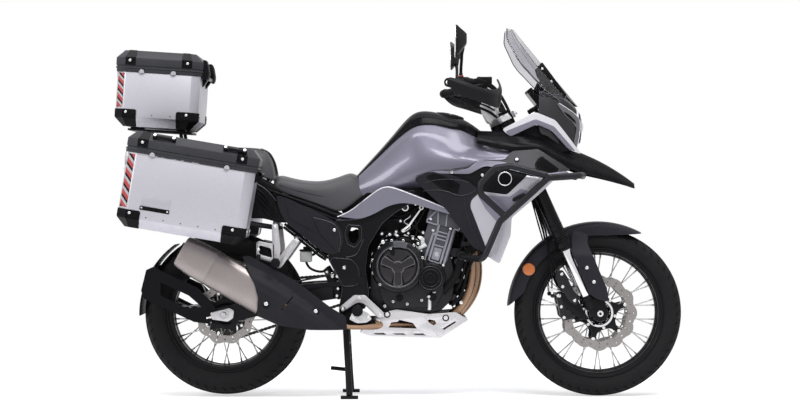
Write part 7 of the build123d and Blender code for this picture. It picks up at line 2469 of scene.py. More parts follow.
def rearSide():
    # the double rail and the ribbed infill between the seat and the side cover
    for side in (-1, 1):
        rail = [(-0.52, side * 0.112, 0.812), (-0.484, side * 0.122, 0.8), (-0.42, side * 0.128, 0.778),
            (-0.36, side * 0.132, 0.757), (-0.3, side * 0.134, 0.734), (-0.258, side * 0.134, 0.7155),
            (-0.238, side * 0.133, 0.712)]
        upper = pipe("rail", rail, 0.0065, sides=5, steps=8)
        lower = pipe("rail", [(x, y + side * 0.001, z - 0.017) for x, y, z in rail[1:]], 0.0058,
            sides=5, steps=8)
        fill = plate("railFill", [(-0.5, 0.795), (-0.49, 0.806), (-0.36, 0.766), (-0.25, 0.728),
            (-0.225, 0.716), (-0.235, 0.692), (-0.26, 0.696), (-0.36, 0.732), (-0.48, 0.776)],
            side * 0.1, side * 0.128)
        fill = rounded(tidyMesh(fill), 0.003, 2, 30)
        settle(joined("sideRails", [upper, lower, fill]), "chassis", "soft_black", "gloss_black")
        bottom = [(-0.449, side * 0.128, 0.679), (-0.38, side * 0.13, 0.626),
            (-0.3, side * 0.131, 0.5585), (-0.283, side * 0.131, 0.552)]
        edges = joined("lowRail", [pipe("edge", bottom, 0.0055, sides=5),
            pipe("edge", [(x - 0.004, y, z - 0.012) for x, y, z in bottom], 0.0055, sides=5)])
        settle(edges, "chassis", "soft_black", "gloss_black")
    # pale reservoir with its hose
    tank = rounded(block("reservoir", (-0.39, -0.118, 0.53), (-0.343, -0.088, 0.572)), 0.006, 3)
    settle(tank, "chassis", "soft_black", "reservoir_pale")
    cap = rounded(block("reservoirCap", (-0.392, -0.12, 0.571), (-0.341, -0.086, 0.5795)), 0.003, 2)
    neck = pin("neck", (-0.366, -0.103, 0.578), (-0.366, -0.103, 0.59), 0.012, 24, 0.002)
    hose = pipe("reservoirHose", [(-0.366, -0.103, 0.53), (-0.36, -0.104, 0.512),
        (-0.335, -0.105, 0.496), (-0.3, -0.106, 0.49), (-0.285, -0.105, 0.5)], 0.0048, steps=10)
    hold = pipe("reservoirHold", [(-0.343, -0.103, 0.556), (-0.325, -0.103, 0.566),
        (-0.31, -0.104, 0.585)], 0.005)
    settle(joined("reservoirFittings", [cap, neck, hose, hold]), "chassis", "soft_black", "hose_black")


def exhaustSkins():
    right = [(0.212, -0.042, 0.668), (0.262, -0.046, 0.652), (0.276, -0.052, 0.6), (0.286, -0.056, 0.5),
        (0.272, -0.06, 0.4), (0.205, -0.063, 0.31), (0.15, -0.066, 0.285), (0.04, -0.072, 0.284),
        (-0.03, -0.09, 0.285), (-0.09, -0.122, 0.287), (-0.15, -0.156, 0.289), (-0.236, -0.176, 0.292)]
    left = [(0.212, 0.042, 0.668), (0.27, 0.046, 0.652), (0.292, 0.046, 0.6), (0.312, 0.044, 0.5),
        (0.298, 0.034, 0.4), (0.226, 0.014, 0.312), (0.165, 0.004, 0.287), (0.06, -0.03, 0.284),
        (0.0, -0.062, 0.285), (-0.05, -0.095, 0.286)]
    tubes = [pipe("headers", run, 0.0203, order=4, sides=14, steps=14) for run in (right, left)]
    settle(joined("headerPipes", tubes), "chassis", "header_bronze", replaces=("exhaust_pipes",))
    rings = [pin("ring", (x - 0.006, y, 0.66), (x + 0.008, y, 0.657), 0.027, 32, 0.003)
        for x, y in ((0.232, -0.043), (0.236, 0.043))]
    settle(joined("headerFlanges", rings), "chassis", "header_bronze", "engine_black")


def onMuffler(distance, up, out=0.0):
    # a place along the muffler's axis, raised across it
    a = mufflerRise
    return (-0.470 - distance * cos(a) + up * sin(a), -0.206 - out,
        0.366 + distance * sin(a) + up * cos(a))


def mufflerRing(distance, high, wide, count=40):
    points = []
    for i in range(count):
        t = 2 * pi * i / count
        c, s = cos(t), sin(t)
        power = 0.62
        points.append(onMuffler(distance, high * abs(s) ** power * (1 if s > 0 else -1),
            wide * abs(c) ** power * (1 if c > 0 else -1)))
    return points


def throughRings(name, rings, capped=True):
    count = len(rings[0])
    piece = sheet(name, count, len(rings) - 1, lambda i, j: rings[j][i % count])
    tidyMesh(piece, 0.00005)
    if capped:
        edit(piece, "EDGE", False)
        bpy.ops.mesh.select_non_manifold()
        bpy.ops.mesh.edge_face_add()
        closeEdit()
    return piece


def mufflerSkin():
    stations = [(0.06, 0.0696, 0.0536), (0.13, 0.0698, 0.0556), (0.2, 0.07, 0.057), (0.296, 0.07, 0.0578)]
    body = throughRings("mufflerBody", [mufflerRing(*s) for s in stations])
    settle(rounded(body, 0.002, 2, 40), "chassis", "muffler_steel", replaces=("muffler",))
    cap = [(0.296, 0.0712, 0.059), (0.31, 0.0715, 0.0592), (0.36, 0.0705, 0.058),
        (0.405, 0.066, 0.0555), (0.424, 0.0615, 0.0535), (0.4275, 0.056, 0.05)]
    settle(rounded(throughRings("mufflerEnd", [mufflerRing(*s) for s in cap]), 0.0015, 2, 30),
        "chassis", "muffler_steel", replaces=("muffler",))
    seam = [(0.2925, 0.0708, 0.0586), (0.2925, 0.0718, 0.0596), (0.2985, 0.0718, 0.0596),
        (0.2985, 0.0708, 0.0586)]
    settle(throughRings("mufflerSeam", [mufflerRing(*s) for s in seam]), "chassis", "muffler_steel")
    link = pipe("linkPipe", [(-0.236, -0.176, 0.292), (-0.3, -0.186, 0.294), (-0.36, -0.196, 0.308),
        (-0.42, -0.206, 0.337), (-0.53, -0.206, 0.4)], 0.0222, order=4, sides=14, steps=14)
    settle(link, "chassis", "header_bronze", "header_bronze", replaces=("muffler",))
    tip = spun("outlet", [(0.0, 0.395), (0.021, 0.395), (0.0215, 0.428), (0.0235, 0.4365),
        (0.026, 0.4365), (0.0265, 0.42), (0.0265, 0.38), (0, 0.38)], (0, 0, 0), 40, (0, 0, 1))
    a = mufflerRise
    tip.data.transform(Matrix.Translation(Vector(onMuffler(0, 0.006, -0.008)))
        @ Vector((-cos(a), 0, sin(a))).to_track_quat("Z", "Y").to_matrix().to_4x4())
    settle(tip, "chassis", "muffler_steel", "soft_black", replaces=("muffler",))
    clamp = pin("hangerBar", (-0.566, -0.186, 0.474), (-0.546, -0.17, 0.56), 0.008, 20, 0.001)
    settle(clamp, "chassis", "muffler_steel", "frame_black", replaces=("muffler",))


def guardSkin():
    view = softened([(-0.607, 0.556), (-0.58, 0.5575), (-0.404, 0.463), (-0.268, 0.359),
        (-0.208, 0.323), (-0.203, 0.2715), (-0.347, 0.2735), (-0.468, 0.2915), (-0.5485, 0.3295),
        (-0.5425, 0.398), (-0.556, 0.45), (-0.586, 0.51)], 0.008)
    a = mufflerRise
    base = Vector((-0.470, 0.366))
    lie, rise = Vector((-cos(a), sin(a))), Vector((sin(a), cos(a)))
    stations = [(-0.28, 0.036, 0.034), (-0.12, 0.062, 0.05), (0.06, 0.082, 0.066), (0.17, 0.082, 0.068)]

    def form(x, z):
        # half width over the middle plane, drawn round towards the upper and lower edges
        p = Vector((x, z)) - base
        d, up = p.dot(lie), p.dot(rise)
        high, wide = rowAt(stations, max(-0.28, min(0.17, d)))
        share = min(abs(up) / high, 0.985)
        flatness = max(0.0, (share - 0.3) / 0.7)
        chamfer = 0.012 * max(0.0, min(1.0, (up / high - 0.22) / 0.16))
        return 0.206 + wide * (1 - flatness**2.6 * 0.62) - chamfer * 0.5 + 0.001

    panel = skinPanel("mufflerGuard", view, form, 0.0035, 0.0016, 0.008)
    groove = plate("cutter", [(-0.4525, 0.3535), (-0.4495, 0.3515), (-0.409, 0.3995), (-0.412, 0.402)],
        -0.4, -0.1)
    cut(panel, groove, "MANIFOLD")
    settle(panel, "chassis", "guard_black", replaces=("muffler_guard",))
    # a near-black sheet behind the guard: painted shade
    under = plate("guardShadeBack", softened([(-0.598, 0.545), (-0.58, 0.55), (-0.404, 0.455), (-0.27, 0.35),
        (-0.215, 0.318), (-0.21, 0.279), (-0.347, 0.281), (-0.464, 0.299), (-0.54, 0.334),
        (-0.534, 0.398)], 0.006), -0.214, -0.2115)
    settle(under, "chassis", "guard_black", "void_black", replaces=("muffler_guard",))
    for x, z in ((-0.512, 0.3726), (-0.324, 0.342)):
        y = -form(x, z)
        cup = spun("guardCup", [(0.0, y + 0.004), (0.0, y - 0.0008), (0.008, y - 0.0008),
            (0.0095, y - 0.003), (0.0125, y - 0.003), (0.0135, y - 0.0005), (0.0135, y + 0.004)],
            (x, 0, z), 32)
        settle(cup, "chassis", "guard_black", "soft_black")
        boltsAt("guardScrew", [(x, y - 0.001, z)], radius=0.0078, slot="guard_black")


def pegsAndHangers():
    pieces, dark = [], []
    for side in (-1, 1):
        near, far = side * 0.149, side * 0.137
        view = softened([(-0.238, 0.35), (-0.228, 0.362), (-0.178, 0.403), (-0.136, 0.403),
            (-0.064, 0.337), (-0.06, 0.316), (-0.087, 0.316), (-0.142, 0.37), (-0.166, 0.374),
            (-0.226, 0.334)], 0.008)
        plateSkin = rounded(plate("riderHanger", view, near, far), 0.0035, 3, 30)
        inner = softened([(-0.215, 0.352), (-0.176, 0.392), (-0.142, 0.393), (-0.118, 0.368),
            (-0.14, 0.382), (-0.168, 0.384)], 0.004)
        pieces += [plateSkin, rounded(plate("ridge", inner, side * 0.1515, near), 0.0015, 2, 30)]
        # the pillion's hanger is a forked casting with a loop
        outer, back = side * 0.1655, side * 0.151
        struts = [
            [(-0.497, 0.677), (-0.473, 0.678), (-0.462, 0.583), (-0.47, 0.52), (-0.49, 0.508),
                (-0.4925, 0.54)],
            [(-0.478, 0.506), (-0.46, 0.5105), (-0.387, 0.613), (-0.413, 0.6215), (-0.472, 0.548)],
        ]
        for strut in struts:
            pieces.append(rounded(plate("strut", softened(strut, 0.006), outer, back), 0.004, 3, 30))
            middle = [tuple(Vector(p).lerp(sum((Vector(q) for q in strut), Vector((0, 0))) / len(strut),
                0.42)) for p in strut]
            dark.append(rounded(plate("strutRidge", softened(middle, 0.003),
                outer + side * 0.0015, outer - side * 0.003), 0.0012, 2, 30))
        loop = plate("loop", softened([(-0.48, 0.523), (-0.5565, 0.547), (-0.5565, 0.609),
            (-0.5455, 0.613), (-0.484, 0.6)], 0.009), outer, back)
        cut(loop, plate("cutter", softened([(-0.496, 0.548), (-0.546, 0.562), (-0.546, 0.597),
            (-0.5, 0.584)], 0.007), -0.4, 0.4), "MANIFOLD")
        pieces.append(rounded(loop, 0.003, 2, 30))
        for x, z, top in ((-0.485, 0.664, 0.688), (-0.402, 0.612, 0.638)):
            pieces.append(pin("mount", (x, side * 0.156, z), (x, side * 0.1, top), 0.0105, 24, 0.001))
        # pegs: a rubber pad with grooves on a steel bar
        for start, end, low in (((-0.479, side * 0.17, 0.534), (-0.479, side * 0.24, 0.53), 0.012),
                ((-0.164, side * 0.142, 0.352), (-0.164, side * 0.25, 0.346), 0.013)):
            bar = pin("peg", start, end, low, 28, 0.003)
            pieces.append(bar)
            a, b = Vector(start), Vector(end)
            for k in range(6):
                p = a.lerp(b, 0.3 + 0.12 * k)
                dark.append(pin("pad", p - (b - a).normalized() * 0.0028,
                    p + (b - a).normalized() * 0.0028, low + 0.0022, 28, 0.001))
    settle(joined("pegHangers", pieces), "chassis", "bright_alloy", "peg_alloy",
        replaces=("footrests",))
    ridges = [p for p in dark if p.name.startswith("strutRidge")]
    pads = [p for p in dark if not p.name.startswith("strutRidge")]
    settle(joined("hangerRidges", ridges), "chassis", "bright_alloy", "peg_alloy")
    settle(joined("pegPads", pads), "chassis", "bright_alloy", "hose_black")
    knob = spun("pegKnob", [(0, -0.258), (0.012, -0.258), (0.0185, -0.2545), (0.0215, -0.248),
        (0.0215, -0.236), (0.018, -0.232), (0, -0.232)], (-0.164, 0, 0.346), 36)
    other = spun("pillionKnob", [(0, -0.2475), (0.012, -0.2475), (0.0175, -0.244), (0.0185, -0.238),
        (0.0185, -0.228), (0, -0.228)], (-0.479, 0, 0.53), 36)
    settle(joined("pegEnds", [knob, other, copyOf(knob, acrossBike), copyOf(other, acrossBike)]),
        "chassis", "bright_alloy", "soft_black")
    heads = [(-0.222, -0.149, 0.3465), (-0.079, -0.149, 0.3265), (-0.158, -0.1515, 0.389)]
    boltsAt("hangerBolts", heads + [(-0.485, -0.1655, 0.664), (-0.402, -0.1655, 0.61),
        (-0.549, -0.1655, 0.577)], radius=0.0065, slot="bright_alloy")
    caps = [spun("boltCup", [(0.0068, -0.1492), (0.0078, -0.1505), (0.0105, -0.1505), (0.0115, -0.149)],
        (-0.222, 0, 0.3465), 24)]
    settle(joined("hangerBoltCups", caps), "chassis", "bright_alloy", "soft_black")
    # the side stand's bracket: a foot up to the frame and a lug behind the pivot
    foot = rounded(block("standBracket", (-0.078, 0.12, 0.292), (-0.044, 0.1435, 0.35)), 0.004, 3)
    lug = pin("standLug", (-0.06, 0.12, 0.298), (-0.06, 0.1445, 0.298), 0.0175, 40, 0.0015)
    settle(joined("standBracketSkin", [foot, lug]), "chassis", "bright_alloy", "soft_black")


seats()
framePlates()
rearSide()
exhaustSkins()
mufflerSkin()
guardSkin()
pegsAndHangers()
print("seats, frame skins and exhaust are in")


def alongFork(name, ahead, y, low, high, radius, sides=40, bevel=0.001, endRadius=None):
    piece = pin(name, (ahead, y, low), (ahead, y, high), radius, sides, bevel, endRadius)
    piece.data.transform(forkMatrix)
    return piece


def forkPoint(ahead, y, height):
    return tuple(forkMatrix @ Vector((ahead, y, height)))


def forkSkins():
    tubes, bright, feet = [], [], []
    lead = 0.035
    for side in (-1, 1):
        y = side * 0.1
        tubes.append(alongFork("outer", lead, y, -0.447, 0.135, 0.027, 48))
        for low, high, radius in ((-0.449, -0.438, 0.0295), (-0.436, -0.412, 0.0315),
                (-0.41, -0.404, 0.033), (-0.402, -0.394, 0.0315), (-0.372, -0.366, 0.0285),
                (-0.346, -0.342, 0.0282)):
            tubes.append(alongFork("seal", lead, y, low, high, radius, 48, 0.0015))
        tubes.append(alongFork("cap", lead, y, 0.134, 0.143, 0.0225, 32, 0.002))
        bright.append(alongFork("slider", lead, y, -0.66, -0.44, 0.0215, 48, 0.0005))
        feet.append(alongFork("foot", lead, y, -0.7, -0.645, 0.0252, 40, 0.003))
        feet.append(alongFork("footNeck", lead, y, -0.662, -0.648, 0.0275, 40, 0.003))
        ax, az = wheelSizes["front"]["axle"][0], wheelSizes["front"]["axle"][2]
        outer = y + side * 0.0232
        profile = [(0.0, outer), (0.015, outer), (0.0165, outer - side * 0.002),
            (0.025, outer - side * 0.002), (0.0305, outer - side * 0.006),
            (0.0318, outer - side * 0.012), (0.0318, y - side * 0.0228), (0.0, y - side * 0.0228)]
        feet.append(spun("boss", profile, (ax, 0, az), 56))
        web = block("web", (lead - 0.021, y - 0.0228, -0.782), (0.112, y + 0.0228, -0.664))
        web.data.transform(forkMatrix)
        mask = plate("mask", [(ax - 0.07, az + 0.09), (ax - 0.09, az + 0.14), (ax, az + 0.12),
            (ax + 0.028, az + 0.012), (ax + 0.03, az - 0.01), (ax - 0.015, az - 0.028),
            (ax - 0.045, az - 0.004), (ax - 0.06, az + 0.04)], -0.2, 0.2)
        cut(web, mask, "EXACT", "INTERSECT")
        feet.append(rounded(web, 0.005, 3, 30))
        ear = plate("ear", [(-0.058, -0.612), (-0.04, -0.598), (-0.004, -0.65), (0.004, -0.735),
            (-0.026, -0.722), (-0.06, -0.65)], y - side * 0.011, y + side * 0.003)
        ear.data.transform(forkMatrix)
        feet.append(rounded(ear, 0.003, 2, 30))
    settle(joined("forkTubes", tubes), "steering", "fork_black", replaces=("fork_tubes",))
    settle(joined("forkSliders", bright), "steering", "slider_steel", replaces=("fork_sliders",))
    ax, az = wheelSizes["front"]["axle"][0], wheelSizes["front"]["axle"][2]
    feet.append(pin("axle", (ax, -0.095, az), (ax, 0.095, az), 0.0099, 24))
    settle(joined("forkFeet", feet), "steering", "slider_steel", "fork_black",
        replaces=("fork_sliders",))
    nuts = []
    for side in (-1, 1):
        y = side * 0.1232
        nuts.append(spun("axleNut", [(0.0052, y - side * 0.001), (0.0052, y + side * 0.003),
            (0.0066, y + side * 0.0042), (0.0105, y + side * 0.0042), (0.0118, y + side * 0.003),
            (0.0122, y - side * 0.002), (0.0052, y - side * 0.002)], (ax, 0, az), 36))
    settle(joined("axleNuts", nuts), "steering", "slider_steel", "bolt_steel")
    boltsAt("footBolts", [forkPoint(0.012, -0.1205, -0.758), forkPoint(0.012, -0.1205, -0.735)],
        radius=0.0055, slot="slider_steel", body="steering", look="soft_black")


def yokesAndBar():
    # bridges, bar clamps and the steering nut
    parts = []
    for low, high in ((0.105, 0.131), (-0.096, -0.06)):
        outline = [(0.072, -0.112), (0.074, -0.086), (0.024, -0.03), (0.024, 0.03), (0.074, 0.086),
            (0.072, 0.112), (0.052, 0.132), (0.02, 0.132), (0.0, 0.112), (-0.03, 0.034),
            (-0.03, -0.034), (0.0, -0.112), (0.02, -0.132), (0.052, -0.132)]
        bridge = plate("bridge", softened(outline, 0.012), low, high, lie="XY")
        cut(bridge, [pin("bore", (0.035, s * 0.1, low - 0.01), (0.035, s * 0.1, high + 0.01), 0.0272,
            48) for s in (-1, 1)], "EXACT")
        bridge.data.transform(forkMatrix)
        parts.append(rounded(bridge, 0.003, 3, 30))
    parts.append(alongFork("stem", 0, 0, -0.096, 0.145, 0.015, 32))
    parts.append(alongFork("stemNut", 0, 0, 0.131, 0.143, 0.0235, 8, 0.002))
    parts.append(alongFork("stemRing", 0, 0, 0.131, 0.135, 0.03, 40, 0.001))
    for side in (-1, 1):
        for low, high, radius in ((0.131, 0.137, 0.026), (0.137, 0.196, 0.0185), (0.168, 0.176, 0.0215)):
            foot = alongFork("riser", 0.0135, side * 0.046, low, high, radius, 36, 0.0015)
            parts.append(foot)
        # split clamp round the bar
        clamp = plate("clamp", softened([(0.322, 1.148), (0.338, 1.14), (0.366, 1.146), (0.378, 1.16),
            (0.376, 1.178), (0.36, 1.19), (0.34, 1.188), (0.326, 1.174)], 0.006),
            side * 0.03, side * 0.062)
        parts.append(rounded(clamp, 0.003, 2, 30))
        for x, z in ((0.331, 1.182), (0.371, 1.186)):
            parts.append(pin("clampBolt", (x, side * 0.046, z - 0.014),
                (x + 0.003, side * 0.046, z + 0.004), 0.0048, 16, 0.001))
        parts.append(pin("pinch", forkPoint(0.076, side * 0.1, 0.118),
            forkPoint(0.082, side * 0.1, 0.118), 0.006, 16, 0.001))
    settle(joined("yokes", parts), "steering", "yoke_silver", replaces=("fork_yokes",))
    bpy.data.objects["handlebar"].data.materials[0] = finish["yoke_silver"]


def controls():
    near, far = Vector((0.19, -0.43, 1.213)), Vector((0.285, -0.215, 1.222))

    def at(share):
        return near + (far - near) * share

    dark, metal = [], []
    for share in range(17):
        t = 0.03 + share * 0.0275
        dark.append(pin("gripRib", at(t), at(t + 0.02), 0.0168, 28, 0.0012))
    dark.append(pin("grip", at(0.0), at(0.5), 0.0157, 28))
    dark.append(pin("gripCollar", at(-0.02), at(0.012), 0.0192, 32, 0.002))
    dark.append(pin("gripCollar", at(0.485), at(0.515), 0.0202, 32, 0.002))
    dark.append(pin("barEnd", at(-0.115), at(-0.02), 0.0172, 32, 0.003))
    metal.append(pin("barCap", at(-0.122), at(-0.114), 0.0078, 24, 0.001))
    for start, end, radius in ((0.52, 0.6, 0.0225), (0.605, 0.7, 0.0228), (0.74, 0.9, 0.0188)):
        dark.append(pin("housing", at(start), at(end), radius, 36, 0.003))
    dark.append(rounded(block("switchBlock", (0.255, -0.304, 1.19), (0.288, -0.266, 1.2)), 0.003, 2))
    for dy, dz in ((-0.012, 0.008), (0.004, 0.0), (0.012, -0.01)):
        spot = at(0.62) + Vector((-0.021, dy, dz))
        dark.append(rounded(block("button", spot - Vector((0.004, 0.005, 0.004)),
            spot + Vector((0.004, 0.005, 0.004))), 0.0012, 2))
    dark.append(rounded(plate("perch", softened([(0.272, 1.208), (0.274, 1.236), (0.3, 1.24),
        (0.334, 1.228), (0.332, 1.206), (0.31, 1.2)], 0.006), -0.25, -0.222), 0.003, 2, 30))
    dark.append(rounded(plate("reservoir", softened(
        [(-0.228, 1.216), (-0.228, 1.246), (-0.182, 1.246), (-0.182, 1.216)], 0.006), 0.296, 0.354,
        lie="YZ"), 0.003, 2))
    metal += [pin("screw", (x, -0.205 + dy, 1.2455), (x, -0.205 + dy, 1.2485), 0.003, 12)
        for x in (0.304, 0.346) for dy in (-0.016, 0.016)]
    lever = pipe("lever", [(0.318, -0.236, 1.212), (0.312, -0.262, 1.211), (0.3, -0.3, 1.208),
        (0.284, -0.345, 1.204), (0.268, -0.385, 1.201), (0.26, -0.398, 1.2)], 0.0058,
        radii=[1.3, 1.1, 0.9, 0.85, 0.85, 1.1])
    dark.append(lever)
    dark.append(pin("pivot", (0.322, -0.238, 1.2), (0.322, -0.238, 1.222), 0.008, 20, 0.001))
    bothDark = joined("gripsAndSwitches", dark)
    settle(bothSides(bothDark), "steering", "soft_black", "soft_black", replaces=("hand_controls",))
    settle(bothSides(joined("controlScrews", metal)), "steering", "soft_black", "bolt_steel")
    # cables and looms from the bar to the headstock
    cables = []
    runs = [
        [(0.275, -0.262, 1.198), (0.262, -0.25, 1.165), (0.272, -0.215, 1.142), (0.305, -0.17, 1.13),
            (0.35, -0.12, 1.115), (0.395, -0.1, 1.08), (0.425, -0.09, 1.04)],
        [(0.3, -0.232, 1.204), (0.318, -0.21, 1.182), (0.352, -0.165, 1.17), (0.39, -0.13, 1.145),
            (0.42, -0.112, 1.1), (0.438, -0.1, 1.06)],
        [(0.33, -0.225, 1.214), (0.362, -0.2, 1.2), (0.392, -0.165, 1.17), (0.415, -0.14, 1.13),
            (0.442, -0.12, 1.085), (0.452, -0.11, 1.05)],
        [(0.325, -0.19, 1.224), (0.352, -0.165, 1.222), (0.385, -0.14, 1.19), (0.41, -0.12, 1.15),
            (0.434, -0.11, 1.1), (0.447, -0.1, 1.055)],
        [(0.265, -0.27, 1.2), (0.24, -0.262, 1.17), (0.246, -0.232, 1.15), (0.285, -0.2, 1.146),
            (0.33, -0.16, 1.142), (0.368, -0.13, 1.12)],
    ]
    for i, run in enumerate(runs):
        for side in (-1, 1):
            cables.append(pipe("cable", [(x, -side * y, z) for x, y, z in run],
                (0.0052, 0.004, 0.0046, 0.0052, 0.0036)[i], steps=8))
    for t in (0.3, 0.55):
        p = Vector((0.352, -0.165, 1.178)).lerp(Vector((0.43, -0.11, 1.08)), t)
        cables.append(rounded(block("clip", p - Vector((0.01, 0.016, 0.01)),
            p + Vector((0.01, 0.016, 0.01))), 0.003, 2))
    settle(joined("barCables", cables), "steering", "soft_black", "hose_black")


def handGuardSkins():
    # path of the shield in plan, with its lower and upper edges
    stations = [
        (0.184, -0.466, 1.196, 1.231), (0.212, -0.4665, 1.168, 1.2245), (0.24, -0.465, 1.157, 1.2145),
        (0.272, -0.46, 1.149, 1.2025), (0.308, -0.4465, 1.136, 1.189),
        (0.342, -0.422, 1.124, 1.184), (0.366, -0.384, 1.119, 1.19), (0.378, -0.34, 1.124, 1.203),
        (0.379, -0.3, 1.132, 1.219), (0.373, -0.258, 1.142, 1.236),
    ]
    rows = 6

    def place(i, j):
        x, y, low, high = stations[i]
        share = j / rows
        swell = 0.006 * (1 - (2 * share - 1) ** 2) + (0.004 if 0.6 < share < 0.95 else 0)
        ahead = Vector((0.3, -0.28, 0))
        out = (Vector((x, y, 0)) - ahead).normalized()
        return (x + out.x * swell, y + out.y * swell, low + (high - low) * share)

    shell = sheet("handGuard", len(stations) - 1, rows, place)
    addSmoothing(shell, 2)
    addWall(shell, 0.0045)
    applyAll(shell)
    edit(shell)
    closeEdit()
    rounded(shell, 0.0012, 2, 40)
    fins = [shell]
    fins.append(pipe("guardEdge", [(x, y - 0.001, z - 0.004) for x, y, _, z in stations], 0.0036,
        sides=4))
    fins.append(pin("guardEnd", (0.19, -0.469, 1.213), (0.194, -0.452, 1.213), 0.0162, 36, 0.003))
    settle(bothSides(joined("handGuards", fins)), "steering", "soft_black", "guard_satin",
        replaces=("hand_guards",))
    cap = spun("guardCap", [(0, -0.4705), (0.0065, -0.4705), (0.0078, -0.4695), (0.0078, -0.466),
        (0, -0.466)], (0.19, 0, 1.213), 28)
    settle(bothSides(cap), "steering", "soft_black", "bolt_steel")


def mirrorSkins():
    face = [(-0.33, 1.352), (-0.322, 1.318), (-0.372, 1.306), (-0.452, 1.322), (-0.47, 1.372),
        (-0.448, 1.431), (-0.352, 1.404)]
    face = softened(face, 0.009, 4)
    centre = Vector((-0.397, 1.366))
    rings = []
    for x, share, drop in ((0.2085, 0.9, 0), (0.2085, 0.972, 0), (0.21, 0.996, 0), (0.2125, 1.0, 0),
            (0.216, 0.97, 0.0), (0.2255, 0.8, 0.002), (0.235, 0.62, 0.006), (0.2445, 0.44, 0.01),
            (0.251, 0.3, 0.012), (0.2515, 0.12, 0.012)):
        rings.append([(x, *(centre + (Vector(p) - centre) * share + Vector((0, drop)))) for p in face])
    head = throughRings("mirrorHead", rings)
    head = smooth(rounded(head, 0.0006, 1, 60), 45)
    glass = plate("mirrorGlass", [tuple(centre + (Vector(p) - centre) * 0.93) for p in face], 0.2066,
        0.2088, lie="YZ")
    stalk = pipe("mirrorStalk", [(0.232, -0.292, 1.238), (0.232, -0.292, 1.262), (0.2325, -0.3, 1.282),
        (0.234, -0.33, 1.306), (0.232, -0.36, 1.33), (0.232, -0.38, 1.345)], 0.006, steps=10,
        radii=[1.1, 1, 1, 1, 1.3, 1.6])
    foot = pin("mirrorFoot", (0.232, -0.292, 1.221), (0.232, -0.292, 1.243), 0.0118, 28, 0.002)
    nut = pin("mirrorNut", (0.232, -0.292, 1.246), (0.232, -0.292, 1.256), 0.0085, 6, 0.001)
    neck = pin("mirrorNeck", (0.232, -0.352, 1.325), (0.232, -0.372, 1.346), 0.0085, 28, 0.001, 0.0125)
    settle(bothSides(joined("mirrors", [head, stalk, foot, nut, neck])), "steering", "mirror_black",
        replaces=("mirrors",))
    settle(bothSides(rounded(glass, 0.0006, 2, 30)), "steering", "mirror_black", "slider_steel")
    mark = pin("mirrorMark", (0.232, -0.292, 1.2425), (0.232, -0.292, 1.2475), 0.0105, 28, 0.0008)
    settle(bothSides(mark), "steering", "mirror_black", "stripe_red")


def caliperSkins():
    ax, az = wheelSizes["front"]["axle"][0], wheelSizes["front"]["axle"][2]
    turn = radians(12)

    def local(u, v):
        # u across the caliper, v along it
        cx, cz = ax - 0.126, az + 0.028
        return (cx + u * cos(turn) - v * sin(turn), cz + u * sin(turn) + v * cos(turn))

    parts, bolts = [], []
    for side in (-1, 1):
        for inner, outer in ((0.0445, 0.0632), (0.0765, 0.0925)):
            shape = [(-0.034, -0.04), (-0.022, -0.053), (0.02, -0.052), (0.034, -0.036), (0.034, 0.04),
                (0.022, 0.052), (-0.02, 0.053), (-0.034, 0.036)]
            half = plate("half", softened([local(*p) for p in shape], 0.006),
                side * inner, side * outer)
            parts.append(rounded(half, 0.0035, 3, 30))
        bridge = plate("bridge", [local(*p) for p in ((-0.034, -0.03), (-0.022, -0.03), (-0.022, 0.03),
            (-0.034, 0.03))], side * 0.05, side * 0.088)
        parts.append(rounded(bridge, 0.003, 2, 30))
        for v in (-0.024, 0.024):
            x, z = local(0.0, v)
            parts.append(spun("piston", [(0, side * 0.0985), (0.0125, side * 0.0985),
                (0.0155, side * 0.096), (0.0165, side * 0.09), (0, side * 0.09)], (x, 0, z), 32))
        for u, v in ((-0.024, 0.0), (0.024, 0.0), (-0.022, 0.043), (-0.022, -0.043)):
            x, z = local(u, v)
            bolts.append((x, side * 0.0925, z))
        bracket = plate("bracket", softened([(0.61, 0.492), (0.634, 0.5), (0.652, 0.474), (0.676, 0.42),
            (0.7, 0.39), (0.69, 0.36), (0.662, 0.374), (0.636, 0.414), (0.618, 0.44), (0.606, 0.468)],
            0.008), side * 0.094, side * 0.104)
        parts.append(rounded(tidyMesh(bracket), 0.002, 2, 30))
        bolts += [(0.631, side * 0.104, 0.481), (0.635, side * 0.104, 0.4314),
            (0.6175, side * 0.098, 0.3964), (0.682, side * 0.104, 0.378)]
        parts.append(pin("banjo", (0.596, side * 0.086, 0.398), (0.596, side * 0.098, 0.398), 0.0085,
            24, 0.001))
    settle(joined("frontCalipers", parts), "steering", "caliper_metal", "caliper_black",
        replaces=("front_calipers",))
    heads = [facing(p, (0, 1 if p[1] > 0 else -1, 0), 0.5 * i) for i, p in enumerate(bolts)]
    settle(repeated("caliperBolts", capHead(0.0062, 0.0045), heads), "steering", "caliper_metal",
        "bolt_steel")
    lines = []
    for side in (-1, 1):
        lines.append(pipe("line", [(0.596, side * 0.1, 0.4), (0.592, side * 0.104, 0.43),
            (0.594, side * 0.098, 0.47), (0.585, side * 0.088, 0.55), (0.562, side * 0.08, 0.64),
            (0.538, side * 0.072, 0.72), (0.516, side * 0.06, 0.8), (0.498, side * 0.052, 0.88)],
            0.0028, steps=8))
        lines.append(pipe("line", [(0.628, side * 0.1, 0.45), (0.6, side * 0.104, 0.52),
            (0.575, side * 0.094, 0.6), (0.548, side * 0.082, 0.68), (0.53, side * 0.07, 0.76),
            (0.508, side * 0.056, 0.85), (0.494, side * 0.05, 0.9)], 0.0022, steps=8))
    settle(joined("brakeLines", lines), "steering", "hose_black", "hose_black")
    silver = [pin("fitting", (0.594, side * 0.1, 0.405), (0.5925, side * 0.104, 0.428), 0.0045, 16,
        0.001) for side in (-1, 1)]
    settle(joined("lineFittings", silver), "steering", "hose_black", "bolt_steel")


